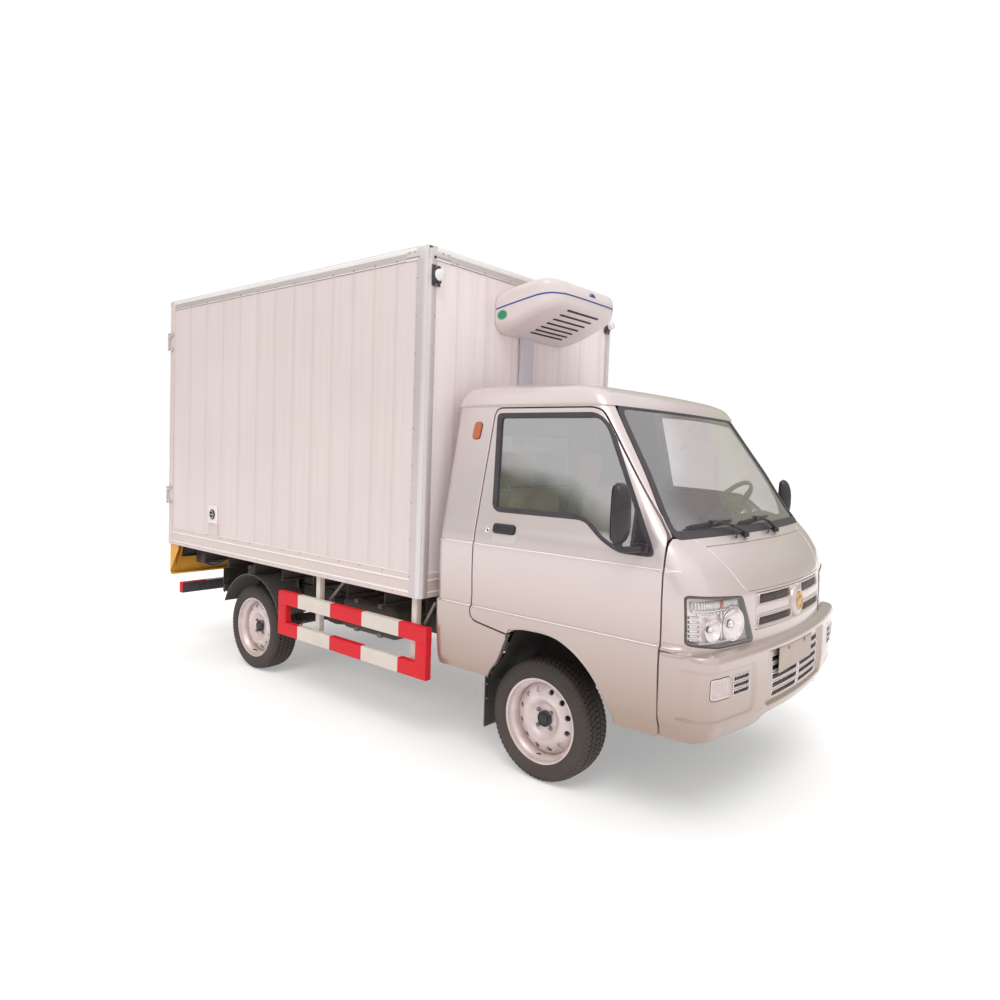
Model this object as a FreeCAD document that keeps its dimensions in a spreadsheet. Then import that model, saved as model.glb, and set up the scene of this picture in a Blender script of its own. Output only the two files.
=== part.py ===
"""Small refrigerated truck: cab-over chassis, insulated cargo box and cooling unit.

Millimetres. +X forward, +Y to the truck's left, +Z up. The origin is on the ground,
under the middle of the truck.
"""
import FreeCAD, Part
import Sketcher
import math
import os
import re

os.makedirs("parts", exist_ok=True)

# Driving dimensions. Heights are above the ground; names ending in _x are distances
# forward of the front axle unless they say otherwise.
DIMENSIONS = {
    # running gear
    "front_axle": 1235, "wheelbase": 2370, "track": 1290,
    "tyre_radius": 275, "tyre_wide": 168, "rim_radius": 183, "rim_wide": 140,
    "disc_depth": 26, "vent_circle": 118, "vent_radius": 13,
    "hub_radius": 58, "spindle_radius": 20, "pivot_inboard": 45, "pivot_radius": 14,
    "running_gap": 0.3, "move_gap": 8, "seat_gap": 0.3,
    # chassis frame
    "rail_middle": 340, "rail_wide": 50, "rail_high": 90, "rail_base": 440,
    "rail_front": 820, "bearer_high": 100, "cross_deep": 60,
    # cargo box
    "box_long": 2670, "box_wide": 1660, "box_base": 734, "box_top": 2475, "cab_gap": 65,
    "wall": 60, "floor_deep": 70, "post_wide": 45, "trim": 4, "trim_high": 110,
    "top_trim": 68, "corner_trim": 75, "hardware": 30, "door_meet": 8,
    "strap_gap": 2, "hinge_high": 80,
    # cooling unit
    "unit_wide": 650, "unit_deep": 388, "unit_drop": 355, "unit_top_drop": 130,
    "unit_nose_drop": 219, "unit_crown_drop": 83, "unit_corner": 80, "duct_wide": 115, "duct_deep": 25,
    # cab
    "cab_wide": 1564, "cab_base": 425, "cab_back": 620,
    "door_front": 617, "door_back": 374, "side_wall": 60, "skin": 34, "glass": 6,
    "glass_inset": 14, "belt": 1150, "gutter": 1700, "bumper_top": 735,
    "bumper_wall": 30, "floor_plate": 20, "footwell": 535,
    "seat_box_top": 690, "wheel_well": 400, "seat_middle": 350, "seat_wide": 480,
    "wheel_x": 330, "wheel_y": 370, "wheel_z": 1212, "column_lean": 48, "sleeve_start": 108,
    "shaft_radius": 10, "hinge_radius": 3, "hinge_half": 20,
    "lid_hinge_x": 690, "lid_hinge_y": 300, "lid_hinge_z": 1160, "lid_skin": 14, "lamp_deep": 70,
    # tank and exhaust
    "tank_back": 900, "tank_long": 480, "tank_wide": 250, "tank_base": 400, "tank_high": 190,
    "muffler_radius": 80, "pipe_radius": 22,
    # guards and rear end
    "guard_long": 1290, "guard_base": 338, "guard_high": 262, "guard_bar": 78,
    "guard_thick": 38, "guard_post": 35, "apron_high": 245, "apron_thick": 4,
    "underride_base": 368, "underride_high": 77, "underride_long": 1504, "underride_thick": 50,
    "flap_base": 450,
}

doc = FreeCAD.newDocument("refrigerated_truck")
sheet = doc.addObject("Spreadsheet::Sheet", "Dims")
for row, (cell_name, cell_value) in enumerate(DIMENSIONS.items(), start=1):
    sheet.set(f"A{row}", cell_name)
    sheet.set(f"B{row}", str(cell_value))
    sheet.setAlias(f"B{row}", cell_name)
doc.recompute()

Vector = FreeCAD.Vector
RIGHT, LEFT = -1, 1
SIDES = (("right", RIGHT), ("left", LEFT))
SUB_PARTS = []


# ---------------------------------------------------------------- helpers

# Shared stations along and across the truck, worked out from the cells.
STATIONS = {
    "box_front": "(front_axle - cab_back - cab_gap)",
    "box_back": "(front_axle - cab_back - cab_gap - box_long)",
    "rear_axle": "(front_axle - wheelbase)",
    "rail_top": "(rail_base + rail_high)",
    "box_half": "(box_wide / 2)",
    "unit_base": "(box_top - unit_drop)",
    "unit_top": "(box_top - unit_top_drop)",
    "unit_nose": "(box_top - unit_nose_drop)",
    "unit_crown": "(box_top - unit_crown_drop)",
}


def spelled(formula):
    """A formula with its stations written out in cell names."""
    return re.sub(r"[a-z_]+", lambda word: STATIONS.get(word.group(0), word.group(0)), str(formula))


def size(formula):
    """The present value of a formula."""
    return float(sheet.evalExpression(spelled(formula)))


def cells(formula):
    """A formula as the document reads it."""
    return re.sub(r"[a-z_]{2,}", lambda word: "Dims." + word.group(0), spelled(formula))


def bind(thing, **formulas):
    """Bind properties to expressions; x, y and z place the object."""
    paths = {"x": "Placement.Base.x", "y": "Placement.Base.y", "z": "Placement.Base.z"}
    for key, formula in formulas.items():
        thing.setExpression(paths.get(key, key), cells(formula))
    return thing


def box(name, low, sizes):
    """A block from its low corner and its three sizes."""
    thing = doc.addObject("Part::Box", name)
    return bind(thing, x=low[0], y=low[1], z=low[2], Length=sizes[0], Width=sizes[1], Height=sizes[2])


TURNS = {
    "x": FreeCAD.Rotation(Vector(0, 1, 0), 90),
    "y": FreeCAD.Rotation(Vector(1, 0, 0), -90),
    "z": FreeCAD.Rotation(),
}


def rod(name, start, along, radius, length):
    """A round bar that runs from start along +X, +Y or +Z."""
    thing = doc.addObject("Part::Cylinder", name)
    thing.Placement.Rotation = TURNS[along]
    return bind(thing, x=start[0], y=start[1], z=start[2], Radius=radius, Height=length)


def fuse(name, pieces):
    thing = doc.addObject("Part::MultiFuse", name)
    thing.Shapes = pieces
    return thing


def cut(name, base, tool):
    thing = doc.addObject("Part::Cut", name)
    thing.Base = base
    thing.Tool = tool
    return thing


def mirrored(name, source):
    """The same piece on the truck's other side."""
    thing = doc.addObject("Part::Mirroring", name)
    thing.Source = source
    thing.Normal = Vector(0, 1, 0)
    return thing


PLANES = {"xy": ("XY_Plane", 1), "xz": ("XZ_Plane", -1), "yz": ("YZ_Plane", 1)}


def sketch_on(body, name, plane, outline, offset="0"):
    """A closed outline whose corners are held by dimensions bound to the sheet."""
    role, sign = PLANES[plane]
    sketch = body.newObject("Sketcher::SketchObject", name + "_outline")
    support = next(f for f in body.Origin.OriginFeatures if f.Role == role)
    sketch.AttachmentSupport = (support, [""])
    sketch.MapMode = "FlatFace"
    sketch.setExpression("AttachmentOffset.Base.z", cells(f"{sign} * ({offset})"))
    corners = [tuple(size(c) for c in corner) for corner in outline]
    count = len(corners)
    for i, (across, up) in enumerate(corners):
        next_across, next_up = corners[(i + 1) % count]
        line = Part.LineSegment(Vector(across, up, 0), Vector(next_across, next_up, 0))
        sketch.addGeometry(line, False)
    for i in range(count):
        sketch.addConstraint(Sketcher.Constraint("Coincident", i, 2, (i + 1) % count, 1))
    for i, corner in enumerate(outline):
        for kind, formula, guess in zip(("DistanceX", "DistanceY"), corner, corners[i]):
            index = sketch.addConstraint(Sketcher.Constraint(kind, -1, 1, i, 1, guess))
            sketch.setExpression(f"Constraints[{index}]", cells(formula))
    return sketch


def prism(name, plane, outline, middle, width):
    """A body whose sketched outline is padded evenly about its middle plane."""
    body = doc.addObject("PartDesign::Body", name)
    sketch = sketch_on(body, name, plane, outline, middle)
    pad = body.newObject("PartDesign::Pad", name + "_pad")
    pad.Profile = sketch
    pad.Midplane = True
    bind(pad, Length=width)
    return body


def turned(name, outline, x, y, z):
    """A body turned about its own Y axis: corners are (radius, distance along the axis)."""
    body = doc.addObject("PartDesign::Body", name)
    sketch = sketch_on(body, name, "xy", outline)
    turn = body.newObject("PartDesign::Revolution", name + "_turn")
    turn.Profile = sketch
    turn.ReferenceAxis = (sketch, ["V_Axis"])
    turn.Angle = 360
    return bind(body, x=x, y=y, z=z)


def shape_part(name, shape):
    """A sub-part whose surface is built from sections."""
    thing = doc.addObject("Part::Feature", name)
    thing.Shape = shape
    return thing


def sub_part(name, thing):
    """Name the finished piece and put it on the list of files."""
    thing.Label = name
    SUB_PARTS.append(thing)
    return thing


# ---------------------------------------------------------------- cab surface

# One row per height: above the sill, side inset from half the cab's width, nose line
# ahead of the front axle at the middle, radius of the nose's sweep, corner radius,
# and inset of the back.
CAB_LEVELS = (
    # height, side, nose, sweep, corner, back
    (0, 16, 868, 2700, 150, 0),
    (55, 2, 872, 2700, 160, 0),
    (335, 0, 875, 2700, 160, 0),
    (505, 1, 864, 2700, 150, 0),
    (585, 1, 835, 2800, 140, 0),
    (660, 6, 776, 3300, 110, 0),
    (725, 19, 697, 4200, 60, 0),
    (1275, 118, 305, 4400, 60, 4),
    (1320, 128, 276, 4400, 60, 6),
    (1358, 158, 190, 4400, 60, 12),
    (1384, 260, 20, 4400, 80, 60),
    (1405, 430, -210, 4400, 120, 160),
)

# The bumper's own levels, in the same columns without the back.
BUMPER_LEVELS = (
    # height, side, nose, sweep, corner
    (0, 16, 885, 3300, 95),
    (50, 0, 905, 3400, 100),
    (140, -2, 915, 3600, 100),
    (275, -2, 912, 3600, 95),
    (310, 0, 895, 3500, 95),
)


def plan_wire(height, half_width, nose, sweep, corner, back):
    """The cab's outline at one height: straight back and sides, swept nose, round corners."""
    axle = size("front_axle")
    centre = nose - sweep
    corner_y = half_width - corner
    corner_x = centre + math.sqrt((sweep - corner) ** 2 - corner_y ** 2)
    turn = math.atan2(corner_y, corner_x - centre)
    meet = Vector(axle + centre + sweep * math.cos(turn), sweep * math.sin(turn), height)
    half = (math.pi / 2 + turn) / 2
    bulge = Vector(axle + corner_x + corner * math.cos(half),
                   corner_y + corner * math.sin(half), height)
    side = Vector(axle + corner_x, half_width, height)
    rear = Vector(axle + back, half_width, height)
    tip = Vector(axle + nose, 0, height)

    def across(point):
        return Vector(point.x, -point.y, point.z)

    return Part.Wire([
        Part.makeLine(across(rear), across(side)),
        Part.Arc(across(side), across(bulge), across(meet)).toShape(),
        Part.Arc(across(meet), tip, meet).toShape(),
        Part.Arc(meet, bulge, side).toShape(),
        Part.makeLine(side, rear),
        Part.makeLine(rear, across(rear)),
    ])


def cab_solid(side_in, nose_in, back_in, top_in, open_below):
    """The cab's envelope, drawn in by a wall: a ruled loft through its levels."""
    half = size("cab_wide") / 2
    wires = []
    roof_base, roof_top = size("gutter - cab_base"), CAB_LEVELS[-1][0]
    for i, (height, side, nose, sweep, corner, back) in enumerate(CAB_LEVELS):
        above = height + size("cab_base")
        if i == 0:
            above -= open_below
        if height > roof_base:
            above -= top_in * (height - roof_base) / (roof_top - roof_base)
        wires.append(plan_wire(
            above, half - side - side_in, nose - nose_in, sweep,
            max(corner - nose_in, 12), back_in + back - size("cab_back")))
    return Part.makeLoft(wires, True, True)


def bumper_solid(wall_in, open_ends):
    """The bumper's envelope; its back is a plane behind the front wheels' arch."""
    half = size("cab_wide") / 2
    wires = []
    last = len(BUMPER_LEVELS) - 1
    for i, (height, side, nose, sweep, corner) in enumerate(BUMPER_LEVELS):
        above = height + size("cab_base") + {0: -open_ends, last: open_ends}.get(i, 0)
        wires.append(plan_wire(
            above, half - side - wall_in, nose - wall_in, sweep,
            max(corner - wall_in, 12), size("door_front") - 2 * open_ends))
    return Part.makeLoft(wires, True, True)


def outline_block(corners, axis, low, high):
    """A block with a polygon face. On y, corners are (ahead of the axle, height);
    on x, they are (to the left, height)."""
    if axis == "y":
        points = [Vector(size("front_axle") + a, low, b) for a, b in corners]
        along = Vector(0, high - low, 0)
    else:
        points = [Vector(low, a, b) for a, b in corners]
        along = Vector(high - low, 0, 0)
    face = Part.Face(Part.makePolygon(points + points[:1]))
    return face.extrude(along)


def grown(corners, distance):
    """An outline moved outward all round by a distance."""
    wire = Part.makePolygon([Vector(a, b, 0) for a, b in corners + corners[:1]])
    face = Part.Face(wire)
    wider = face.makeOffset2D(distance, 2) if abs(distance) > 0 else face
    return [(v.Point.x, v.Point.y) for v in wider.OuterWire.OrderedVertexes]


def slab(low_x, high_x, low_z, high_z, half_wide=1200):
    """A plain block across the truck, placed from the front axle and the ground."""
    return Part.makeBox(high_x - low_x, 2 * half_wide, high_z - low_z,
                        Vector(size("front_axle") + low_x, -half_wide, low_z))


FRONT, BACK = size("door_front"), -size("door_back")
BASE, BELT, GUTTER = size("cab_base"), size("belt"), size("gutter")

# Wheel arch seen from the side, from its rear lip over the tyre to its front lip.
ARCH = [(-300, BASE - 60), (-265, BASE + 29), (-206, BASE + 97), (-170, BASE + 180), (-135, BASE + 254),
        (-60, BASE + 272), (60, BASE + 275), (139, BASE + 265), (230, BASE + 222), (300, BASE + 165),
        (360, BASE + 90), (413, BASE - 7), (425, BASE - 60)]
DOOR_SILL = BASE + 262
DOOR_HINGES = (BASE + 375, BASE + 600)
DOOR = [(FRONT, BASE - 40), (FRONT, BELT + 10), (268, GUTTER - 62), (238, GUTTER - 28),
        (190, GUTTER - 16), (BACK + 45, GUTTER - 14), (BACK + 22, GUTTER - 24),
        (BACK + 14, GUTTER - 50), (BACK, BELT + 60), (BACK, DOOR_SILL + 30),
        (BACK + 12, DOOR_SILL + 6), (BACK + 40, DOOR_SILL - 4), (-160, DOOR_SILL - 28),
        (-160, BASE - 40)]
SIDE_WINDOW = [(BACK + 99, BELT + 64), (BACK + 47, GUTTER - 50), (229, GUTTER - 50),
               (294, GUTTER - 106), (480, BELT + 99), (480, BELT - 51), (410, BELT - 50),
               (326, BELT - 16), (240, BELT + 52), (191, BELT + 66)]
WINDSHIELD = [(-700, BELT + 18), (700, BELT + 18), (590, GUTTER + 4), (-590, GUTTER + 4)]
REAR_WINDOW = [(-430, BELT + 120), (430, BELT + 120), (400, GUTTER - 130), (-400, GUTTER - 130)]
LID_TOP, LID_BASE = BELT - 24, BELT - 200
LID = [(-560, LID_TOP), (560, LID_TOP), (520, LID_TOP - 70), (478, LID_BASE + 30), (440, LID_BASE),
       (-440, LID_BASE), (-478, LID_BASE + 30), (-520, LID_TOP - 70)]
LAMP = [(-762, 954), (-762, 770), (-640, 752), (-415, 750), (-487, 934)]
GRILLE = [(-392, LID_BASE - 12), (392, LID_BASE - 12), (400, LID_BASE - 160), (-400, LID_BASE - 160)]


def mirrored_outline(corners):
    return [(-a, b) for a, b in corners]


def knuckle_bar(x, y, z, along, long):
    """One half of a hinge: a short round bar on the hinge line, with a tab to carry it."""
    return Part.makeCylinder(size("hinge_radius"), long, Vector(size("front_axle") + x, y, z), along)


def door_hinges(side):
    """The fixed and the moving halves of a cab door's two hinges."""
    x, y = size("door_front + move_gap / 2"), side * size("cab_wide / 2 - 3")
    fixed, moving = [], []
    for height in DOOR_HINGES:
        for halves, start, reach in ((fixed, height, 6), (moving, height + 30.3, -6)):
            halves.append(knuckle_bar(x, y, start, Vector(0, 0, 1), 30))
            low_x = min(x, x + reach)
            low_y = min(y, y - side * 6)
            halves.append(Part.makeBox(6, 6, 30, Vector(size("front_axle") + low_x, low_y, start)))
    return fixed, moving


def lid_hinges():
    """The fixed and moving halves of the lid's two hinges: bars on the cowl, straps on the lid."""
    x, z = size("lid_hinge_x"), size("lid_hinge_z")
    axle, radius, long = size("front_axle"), size("hinge_radius"), size("hinge_half")
    fixed, moving = [], []
    for name, side in SIDES:
        for halves, start in ((fixed, size("lid_hinge_y")),
                              (moving, size("lid_hinge_y + hinge_half + running_gap"))):
            low_y = start if side == LEFT else -start - long
            halves.append(knuckle_bar(x, low_y, z, Vector(0, 1, 0), long))
            if halves is fixed:
                halves.append(Part.makeBox(18, long, 2 * radius,
                                           Vector(axle + x - 18, low_y, z - radius)))
            else:
                # ahead of and above the hinge line: over the panel's top strip, then into the lid
                strap = [(-3, 0), (-3, -6), (24, -32), (26, -48), (38, -48), (32, -30), (3, 0)]
                points = [Vector(axle + x + a, low_y, z + b) for a, b in strap]
                face = Part.Face(Part.makePolygon(points + points[:1]))
                halves.append(face.extrude(Vector(0, long, 0)))
    return fixed, moving


def make_cab():
    """Body panels, doors, glass and lamps, all cut from the one cab surface."""
    wall, skin = size("side_wall"), size("skin")
    glass_out = size("glass_inset")
    glass_in = glass_out + size("glass")
    gap = size("move_gap")
    outer = cab_solid(0, 0, 0, 0, 0)
    shell = outer.cut(cab_solid(wall, skin, skin, skin, 10))
    pane_shell = cab_solid(glass_out, glass_out, glass_out, glass_out, 0).cut(
        cab_solid(glass_in, glass_in, glass_in, glass_in, 10))
    reach = size("cab_wide")
    arch = outline_block(ARCH, "y", -reach, reach)
    shell = shell.cut(arch)
    shell = shell.cut(slab(-1000, -size("cab_back") + skin, 0, size("footwell"),
                           size("wheel_well") + 30))
    axle = size("front_axle")
    ahead = (axle, axle + 1200)

    # Doors, their glass and the opening they leave.
    opening = outline_block(grown(DOOR, gap), "y", -reach, reach)
    window = outline_block(SIDE_WINDOW, "y", -reach, reach)
    for name, side in SIDES:
        span = (size("cab_wide") * 0.3, reach) if side == LEFT else (-reach, -size("cab_wide") * 0.3)
        leaf = shell.common(outline_block(DOOR, "y", *span)).cut(window)
        leaf = leaf.cut(slab(FRONT, FRONT + 400, 0, 2000))
        leaf = leaf.cut(slab(FRONT - 80, FRONT + 400, 0, BELT + 50, reach / 2 - wall - 22))
        leaf = leaf.multiFuse(door_hinges(side)[1])
        sub_part("cab_door_" + name, shape_part("cab_door_" + name, leaf))
        pane = pane_shell.common(outline_block(SIDE_WINDOW, "y", *span))
        sub_part("door_glass_" + name, shape_part("door_glass_" + name, pane))

    # Windshield and rear window.
    screen = outline_block(WINDSHIELD, "x", *ahead)
    sub_part("windshield", shape_part("windshield", pane_shell.common(screen).cut(opening)))
    back_light = outline_block(REAR_WINDOW, "x", axle - 1000, axle - size("cab_back") + 2 * wall)
    sub_part("rear_window", shape_part("rear_window", pane_shell.common(back_light)))

    # Nose: lid, lamps, grille and the panel round them.
    nose_zone = slab(FRONT + gap, 1200, size("bumper_top + seat_gap"), BELT)
    nose = shell.common(nose_zone)
    lid_hole = outline_block(grown(LID, gap), "x", *ahead)
    lamp_holes = [outline_block(LAMP, "x", axle + 400, axle + 1200),
                  outline_block(mirrored_outline(LAMP), "x", axle + 400, axle + 1200)]
    grille_hole = outline_block(GRILLE, "x", *ahead)
    lid_fixed, lid_moving = lid_hinges()
    lid_in = size("lid_skin")
    lid = nose.common(outline_block(LID, "x", *ahead))
    lid = lid.cut(cab_solid(lid_in, lid_in, lid_in, lid_in, 10))
    sub_part("front_lid", shape_part("front_lid", lid.multiFuse(lid_moving)))
    lamp_in = size("lamp_deep")
    lamp_shell = outer.cut(cab_solid(lamp_in, lamp_in, lamp_in, lamp_in, 10)).common(nose_zone)
    lamps = Part.makeCompound([lamp_shell.common(hole) for hole in lamp_holes])
    sub_part("head_lamps", shape_part("head_lamps", lamps))
    sub_part("grille", shape_part("grille", nose.common(grille_hole)))
    panel = nose.cut(lid_hole).cut(grille_hole).cut(lamp_holes[0]).cut(lamp_holes[1])
    panel = panel.multiFuse(door_hinges(RIGHT)[0] + door_hinges(LEFT)[0])
    sub_part("nose_panel", shape_part("nose_panel", panel))

    # Frame round the doors and the windshield, roof and back.
    body = shell.cut(opening).cut(screen).cut(back_light)
    body = body.cut(slab(FRONT - gap, 1200, 0, BELT))
    back_edge = -size("cab_back") + skin
    sub_part("cab_roof", shape_part("cab_roof", body.common(slab(-1000, 1000, GUTTER, 2200))))
    lower = body.common(slab(-1000, 1200, 0, GUTTER))
    back = lower.common(slab(-1000, back_edge, 0, GUTTER, size("cab_wide") / 2 - 2 * wall))
    sub_part("cab_rear_panel", shape_part("cab_rear_panel", back))
    sub_part("cab_frame", shape_part("cab_frame", lower.cut(back).multiFuse(lid_fixed)))

    # Bumper: a hollow shell with closed ends and an open back.
    thick = size("bumper_wall")
    bumper = bumper_solid(0, 0).cut(bumper_solid(thick, 20))
    bumper = bumper.common(slab(FRONT + gap, 1200, 0, size("bumper_top")))
    sub_part("front_bumper", shape_part("front_bumper", bumper))


# ---------------------------------------------------------------- cab fittings

def make_cab_floor():
    """Footwell, box over the wheels and engine, and the low wall behind the nose."""
    inside = "cab_wide / 2 - side_wall - 12"
    back = "front_axle - cab_back + skin"
    well_x = "front_axle + 440"
    front_x = "front_axle + 680"
    floor = box("footwell_plate", (well_x, f"-({inside})", "footwell"),
                (f"{front_x} - ({well_x})", f"2 * ({inside})", "floor_plate"))
    riser = box("seat_riser", (well_x, f"-({inside})", "footwell"),
                ("floor_plate", f"2 * ({inside})", "seat_box_top - footwell"))
    top = box("seat_box_lid", (back, f"-({inside})", "seat_box_top - floor_plate"),
              (f"{well_x} + floor_plate - ({back})", f"2 * ({inside})", "floor_plate"))
    rear = box("seat_box_back", (back, f"-({inside})", "footwell"),
               ("floor_plate", f"2 * ({inside})", "seat_box_top - footwell"))
    toe_board = box("toe_board", (front_x, f"-({inside}) + 40", "footwell"),
                    ("floor_plate", f"2 * ({inside}) - 80", "belt - footwell - 130"))
    plates = [floor, riser, top, rear, toe_board]
    for name, side in SIDES:
        y = f"{side} * wheel_well" + (" - floor_plate" if side == LEFT else "")
        plates.append(box(f"wheel_well_{name}", (back, y, "footwell"),
                          (f"{well_x} - ({back})", "floor_plate", "seat_box_top - footwell")))
        arm_y = f"{side} * ({inside})" if side == RIGHT else f"{inside} - 60"
        plates.append(box(f"rocker_{name}", ("front_axle - door_back - 60", arm_y, "cab_base + 12"),
                          ("60", "60", "seat_box_top - cab_base - 12")))
    sub_part("cab_floor", fuse("cab_floor_plates", plates))


def on_column(shape):
    """Lean a shape made about +Z onto the steering axis, at the wheel's middle."""
    shape.rotate(Vector(), Vector(0, 1, 0), -size("column_lean"))
    shape.translate(Vector(size("front_axle + wheel_x"), size("wheel_y"), size("wheel_z")))
    return shape


def make_dashboard():
    """Dashboard, its legs, the instrument hood and the column's fixed sleeve."""
    outline = [("front_axle + 440", "belt - 150"), ("front_axle + 470", "belt - 20"),
               ("front_axle + 520", "belt + 8"), ("front_axle + 590", "belt + 4"),
               ("front_axle + 596", "belt - 132"), ("front_axle + 680", "belt - 132"),
               ("front_axle + 680", "belt - 150")]
    top = prism("dashboard_top", "xz", outline, "0", "2 * (cab_wide / 2 - side_wall - 34)")
    bracket = box("dashboard_leg", ("front_axle + 520", "-60", "footwell + floor_plate"),
                  ("60", "120", "belt - 150 - footwell - floor_plate"))
    hood = box("instrument_hood", ("front_axle + 480", "wheel_y - 150", "belt - 20"),
               ("90", "300", "70"))
    block_shape = fuse("dashboard_block", [top, bracket, hood])
    reach = size("sleeve_start")
    sleeve = on_column(Part.makeCylinder(30, 120, Vector(0, 0, -reach - 120)))
    bore = on_column(Part.makeCylinder(size("shaft_radius + running_gap"), 140,
                                       Vector(0, 0, -reach - 130)))
    swing = on_column(Part.makeCylinder(32, reach, Vector(0, 0, -reach)))
    doc.recompute()
    shape = block_shape.Shape.cut(swing).fuse(sleeve).cut(bore)
    sub_part("dashboard", shape_part("dashboard_shape", shape))


def make_steering_wheel():
    """Rim, hub, three spokes and the turning shaft, on one leaning axis."""
    rim_radius, grip, hub_radius = 190, 13, 42
    pieces = [Part.makeTorus(rim_radius, grip), Part.makeCylinder(hub_radius, 36, Vector(0, 0, -30))]
    for turn in (90, 210, 330):
        spoke = Part.makeBox(rim_radius, 30, 12, Vector(0, -15, -10))
        spoke.rotate(Vector(), Vector(0, 0, 1), turn)
        pieces.append(spoke)
    boss_end = size("sleeve_start") - 8
    pieces.append(Part.makeCylinder(24, boss_end - 10, Vector(0, 0, -boss_end)))
    pieces.append(Part.makeCylinder(size("shaft_radius"), 100, Vector(0, 0, -boss_end - 90)))
    wheel = on_column(pieces[0].multiFuse(pieces[1:]))
    sub_part("steering_wheel", shape_part("steering_wheel_shape", wheel))


def make_seats():
    """Two seats, each a cushion and a backrest with its head restraint."""
    seats = []
    for name, side in SIDES:
        middle = f"{side} * seat_middle"
        base = "seat_box_top"
        cushion = prism(f"cushion_{name}", "xz", [
            ("front_axle - 330", base), ("front_axle + 190", base),
            ("front_axle + 210", f"{base} + 110"), ("front_axle + 170", f"{base} + 150"),
            ("front_axle - 330", f"{base} + 110")], middle, "seat_wide")
        back = prism(f"backrest_{name}", "xz", [
            ("front_axle - 320", f"{base} + 40"), ("front_axle - 200", f"{base} + 100"),
            ("front_axle - 330", f"{base} + 620"), ("front_axle - 430", f"{base} + 620"),
            ("front_axle - 440", f"{base} + 40")], middle, "seat_wide - 20")
        head = prism(f"headrest_{name}", "xz", [
            ("front_axle - 330", f"{base} + 620"), ("front_axle - 345", f"{base} + 790"),
            ("front_axle - 425", f"{base} + 790"), ("front_axle - 430", f"{base} + 620")],
            middle, "270")
        seats.append(fuse(f"seat_{name}", [cushion, back, head]))
    sub_part("seats", fuse("seat_pair", seats))


def make_mirrors():
    """Door mirrors: a housing on a short arm from the door's front corner."""
    for name, side in SIDES:
        housing = Part.makeBox(78, 92, 236, Vector(0, -46, 0))
        housing = housing.makeFillet(22, housing.Edges)
        arm = Part.makeBox(40, 130, 26, Vector(44, -140, -14))
        foot = Part.makeBox(64, 60, 60, Vector(66, -170, -34))
        mirror = housing.multiFuse([arm, foot])
        mirror.translate(Vector(size("front_axle") + 425, size("cab_wide / 2 + 110"), size("belt") - 6))
        mirror = mirror.cut(cab_solid(0, 0, 0, 0, 0))
        if side == RIGHT:
            mirror = mirror.mirror(Vector(), Vector(0, 1, 0))
        sub_part("mirror_" + name, shape_part("mirror_shape_" + name, mirror))


def make_wipers():
    """Two wipers resting low on the windshield."""
    surface = cab_solid(-14, -14, 0, 0, 0).cut(cab_solid(-0.5, -0.5, 0, 0, 10))
    wipers = []
    for pivot_y, tip_y, blade in ((-205, -600, 190), (160, -180, 190)):
        arm = outline_block([(pivot_y - 9, BELT - 8), (pivot_y + 9, BELT - 8),
                             (tip_y + blade + 9, BELT + 46), (tip_y + blade - 9, BELT + 46)],
                            "x", size("front_axle") + 400, size("front_axle") + 900)
        strip = outline_block([(tip_y, BELT + 38), (tip_y + 2 * blade, BELT + 46),
                               (tip_y + 2 * blade, BELT + 56), (tip_y, BELT + 48)],
                              "x", size("front_axle") + 400, size("front_axle") + 900)
        wipers.append(surface.common(arm.fuse(strip)))
    sub_part("wipers", shape_part("wiper_pair", Part.makeCompound(wipers)))


# ---------------------------------------------------------------- chassis

FRAME_BACK = "box_back + 75"


def block(name, low, high):
    """A block between two corners, given as formulas of cells and stations."""
    return box(name, low, [f"({b}) - ({a})" for a, b in zip(low, high)])


def both_sides(name, low, high):
    """A block on the left, from its corner nearest the middle, and its mirror image."""
    left = block(name + "_left", low, high)
    return [left, mirrored(name + "_right", left)]


def make_ladder_frame():
    rail_in, rail_out = "rail_middle - rail_wide / 2", "rail_middle + rail_wide / 2"
    pieces = both_sides("rail", (FRAME_BACK, rail_in, "rail_base"),
                        ("front_axle + rail_front", rail_out, "rail_top"))
    for i, station in enumerate(("box_back + 90", "rear_axle - 330", "rear_axle + 420",
                                 "box_front - 60", "front_axle + 330",
                                 "front_axle + rail_front - 70")):
        pieces.append(block(f"cross_member_{i}", (station, f"-({rail_in})", "rail_base + 15"),
                            (f"{station} + 60", rail_in, "rail_top - 15")))
    for i, station in enumerate(("front_axle - 520", "front_axle + 500")):
        pieces += both_sides(f"cab_mount_{i}", (station, rail_out, "rail_top - 60"),
                             (f"{station} + 50", "wheel_well + 40", "footwell"))
    sub_part("ladder_frame", fuse("ladder", pieces))


def make_subframe():
    pieces = both_sides("bearer", ("box_back + 10", "rail_middle - 20", "rail_top"),
                        ("box_front - 10", "rail_middle + 20", "rail_top + bearer_high"))
    count = 8
    for i in range(count):
        station = f"box_back + 10 + {i} * (box_long - 20 - cross_deep) / {count - 1}"
        pieces.append(block(f"floor_bearer_{i}",
                            (station, "-(box_half - 92)", "rail_top + bearer_high"),
                            (f"{station} + cross_deep", "box_half - 92", "box_base")))
    sub_part("subframe", fuse("subframe_bars", pieces))


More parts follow.
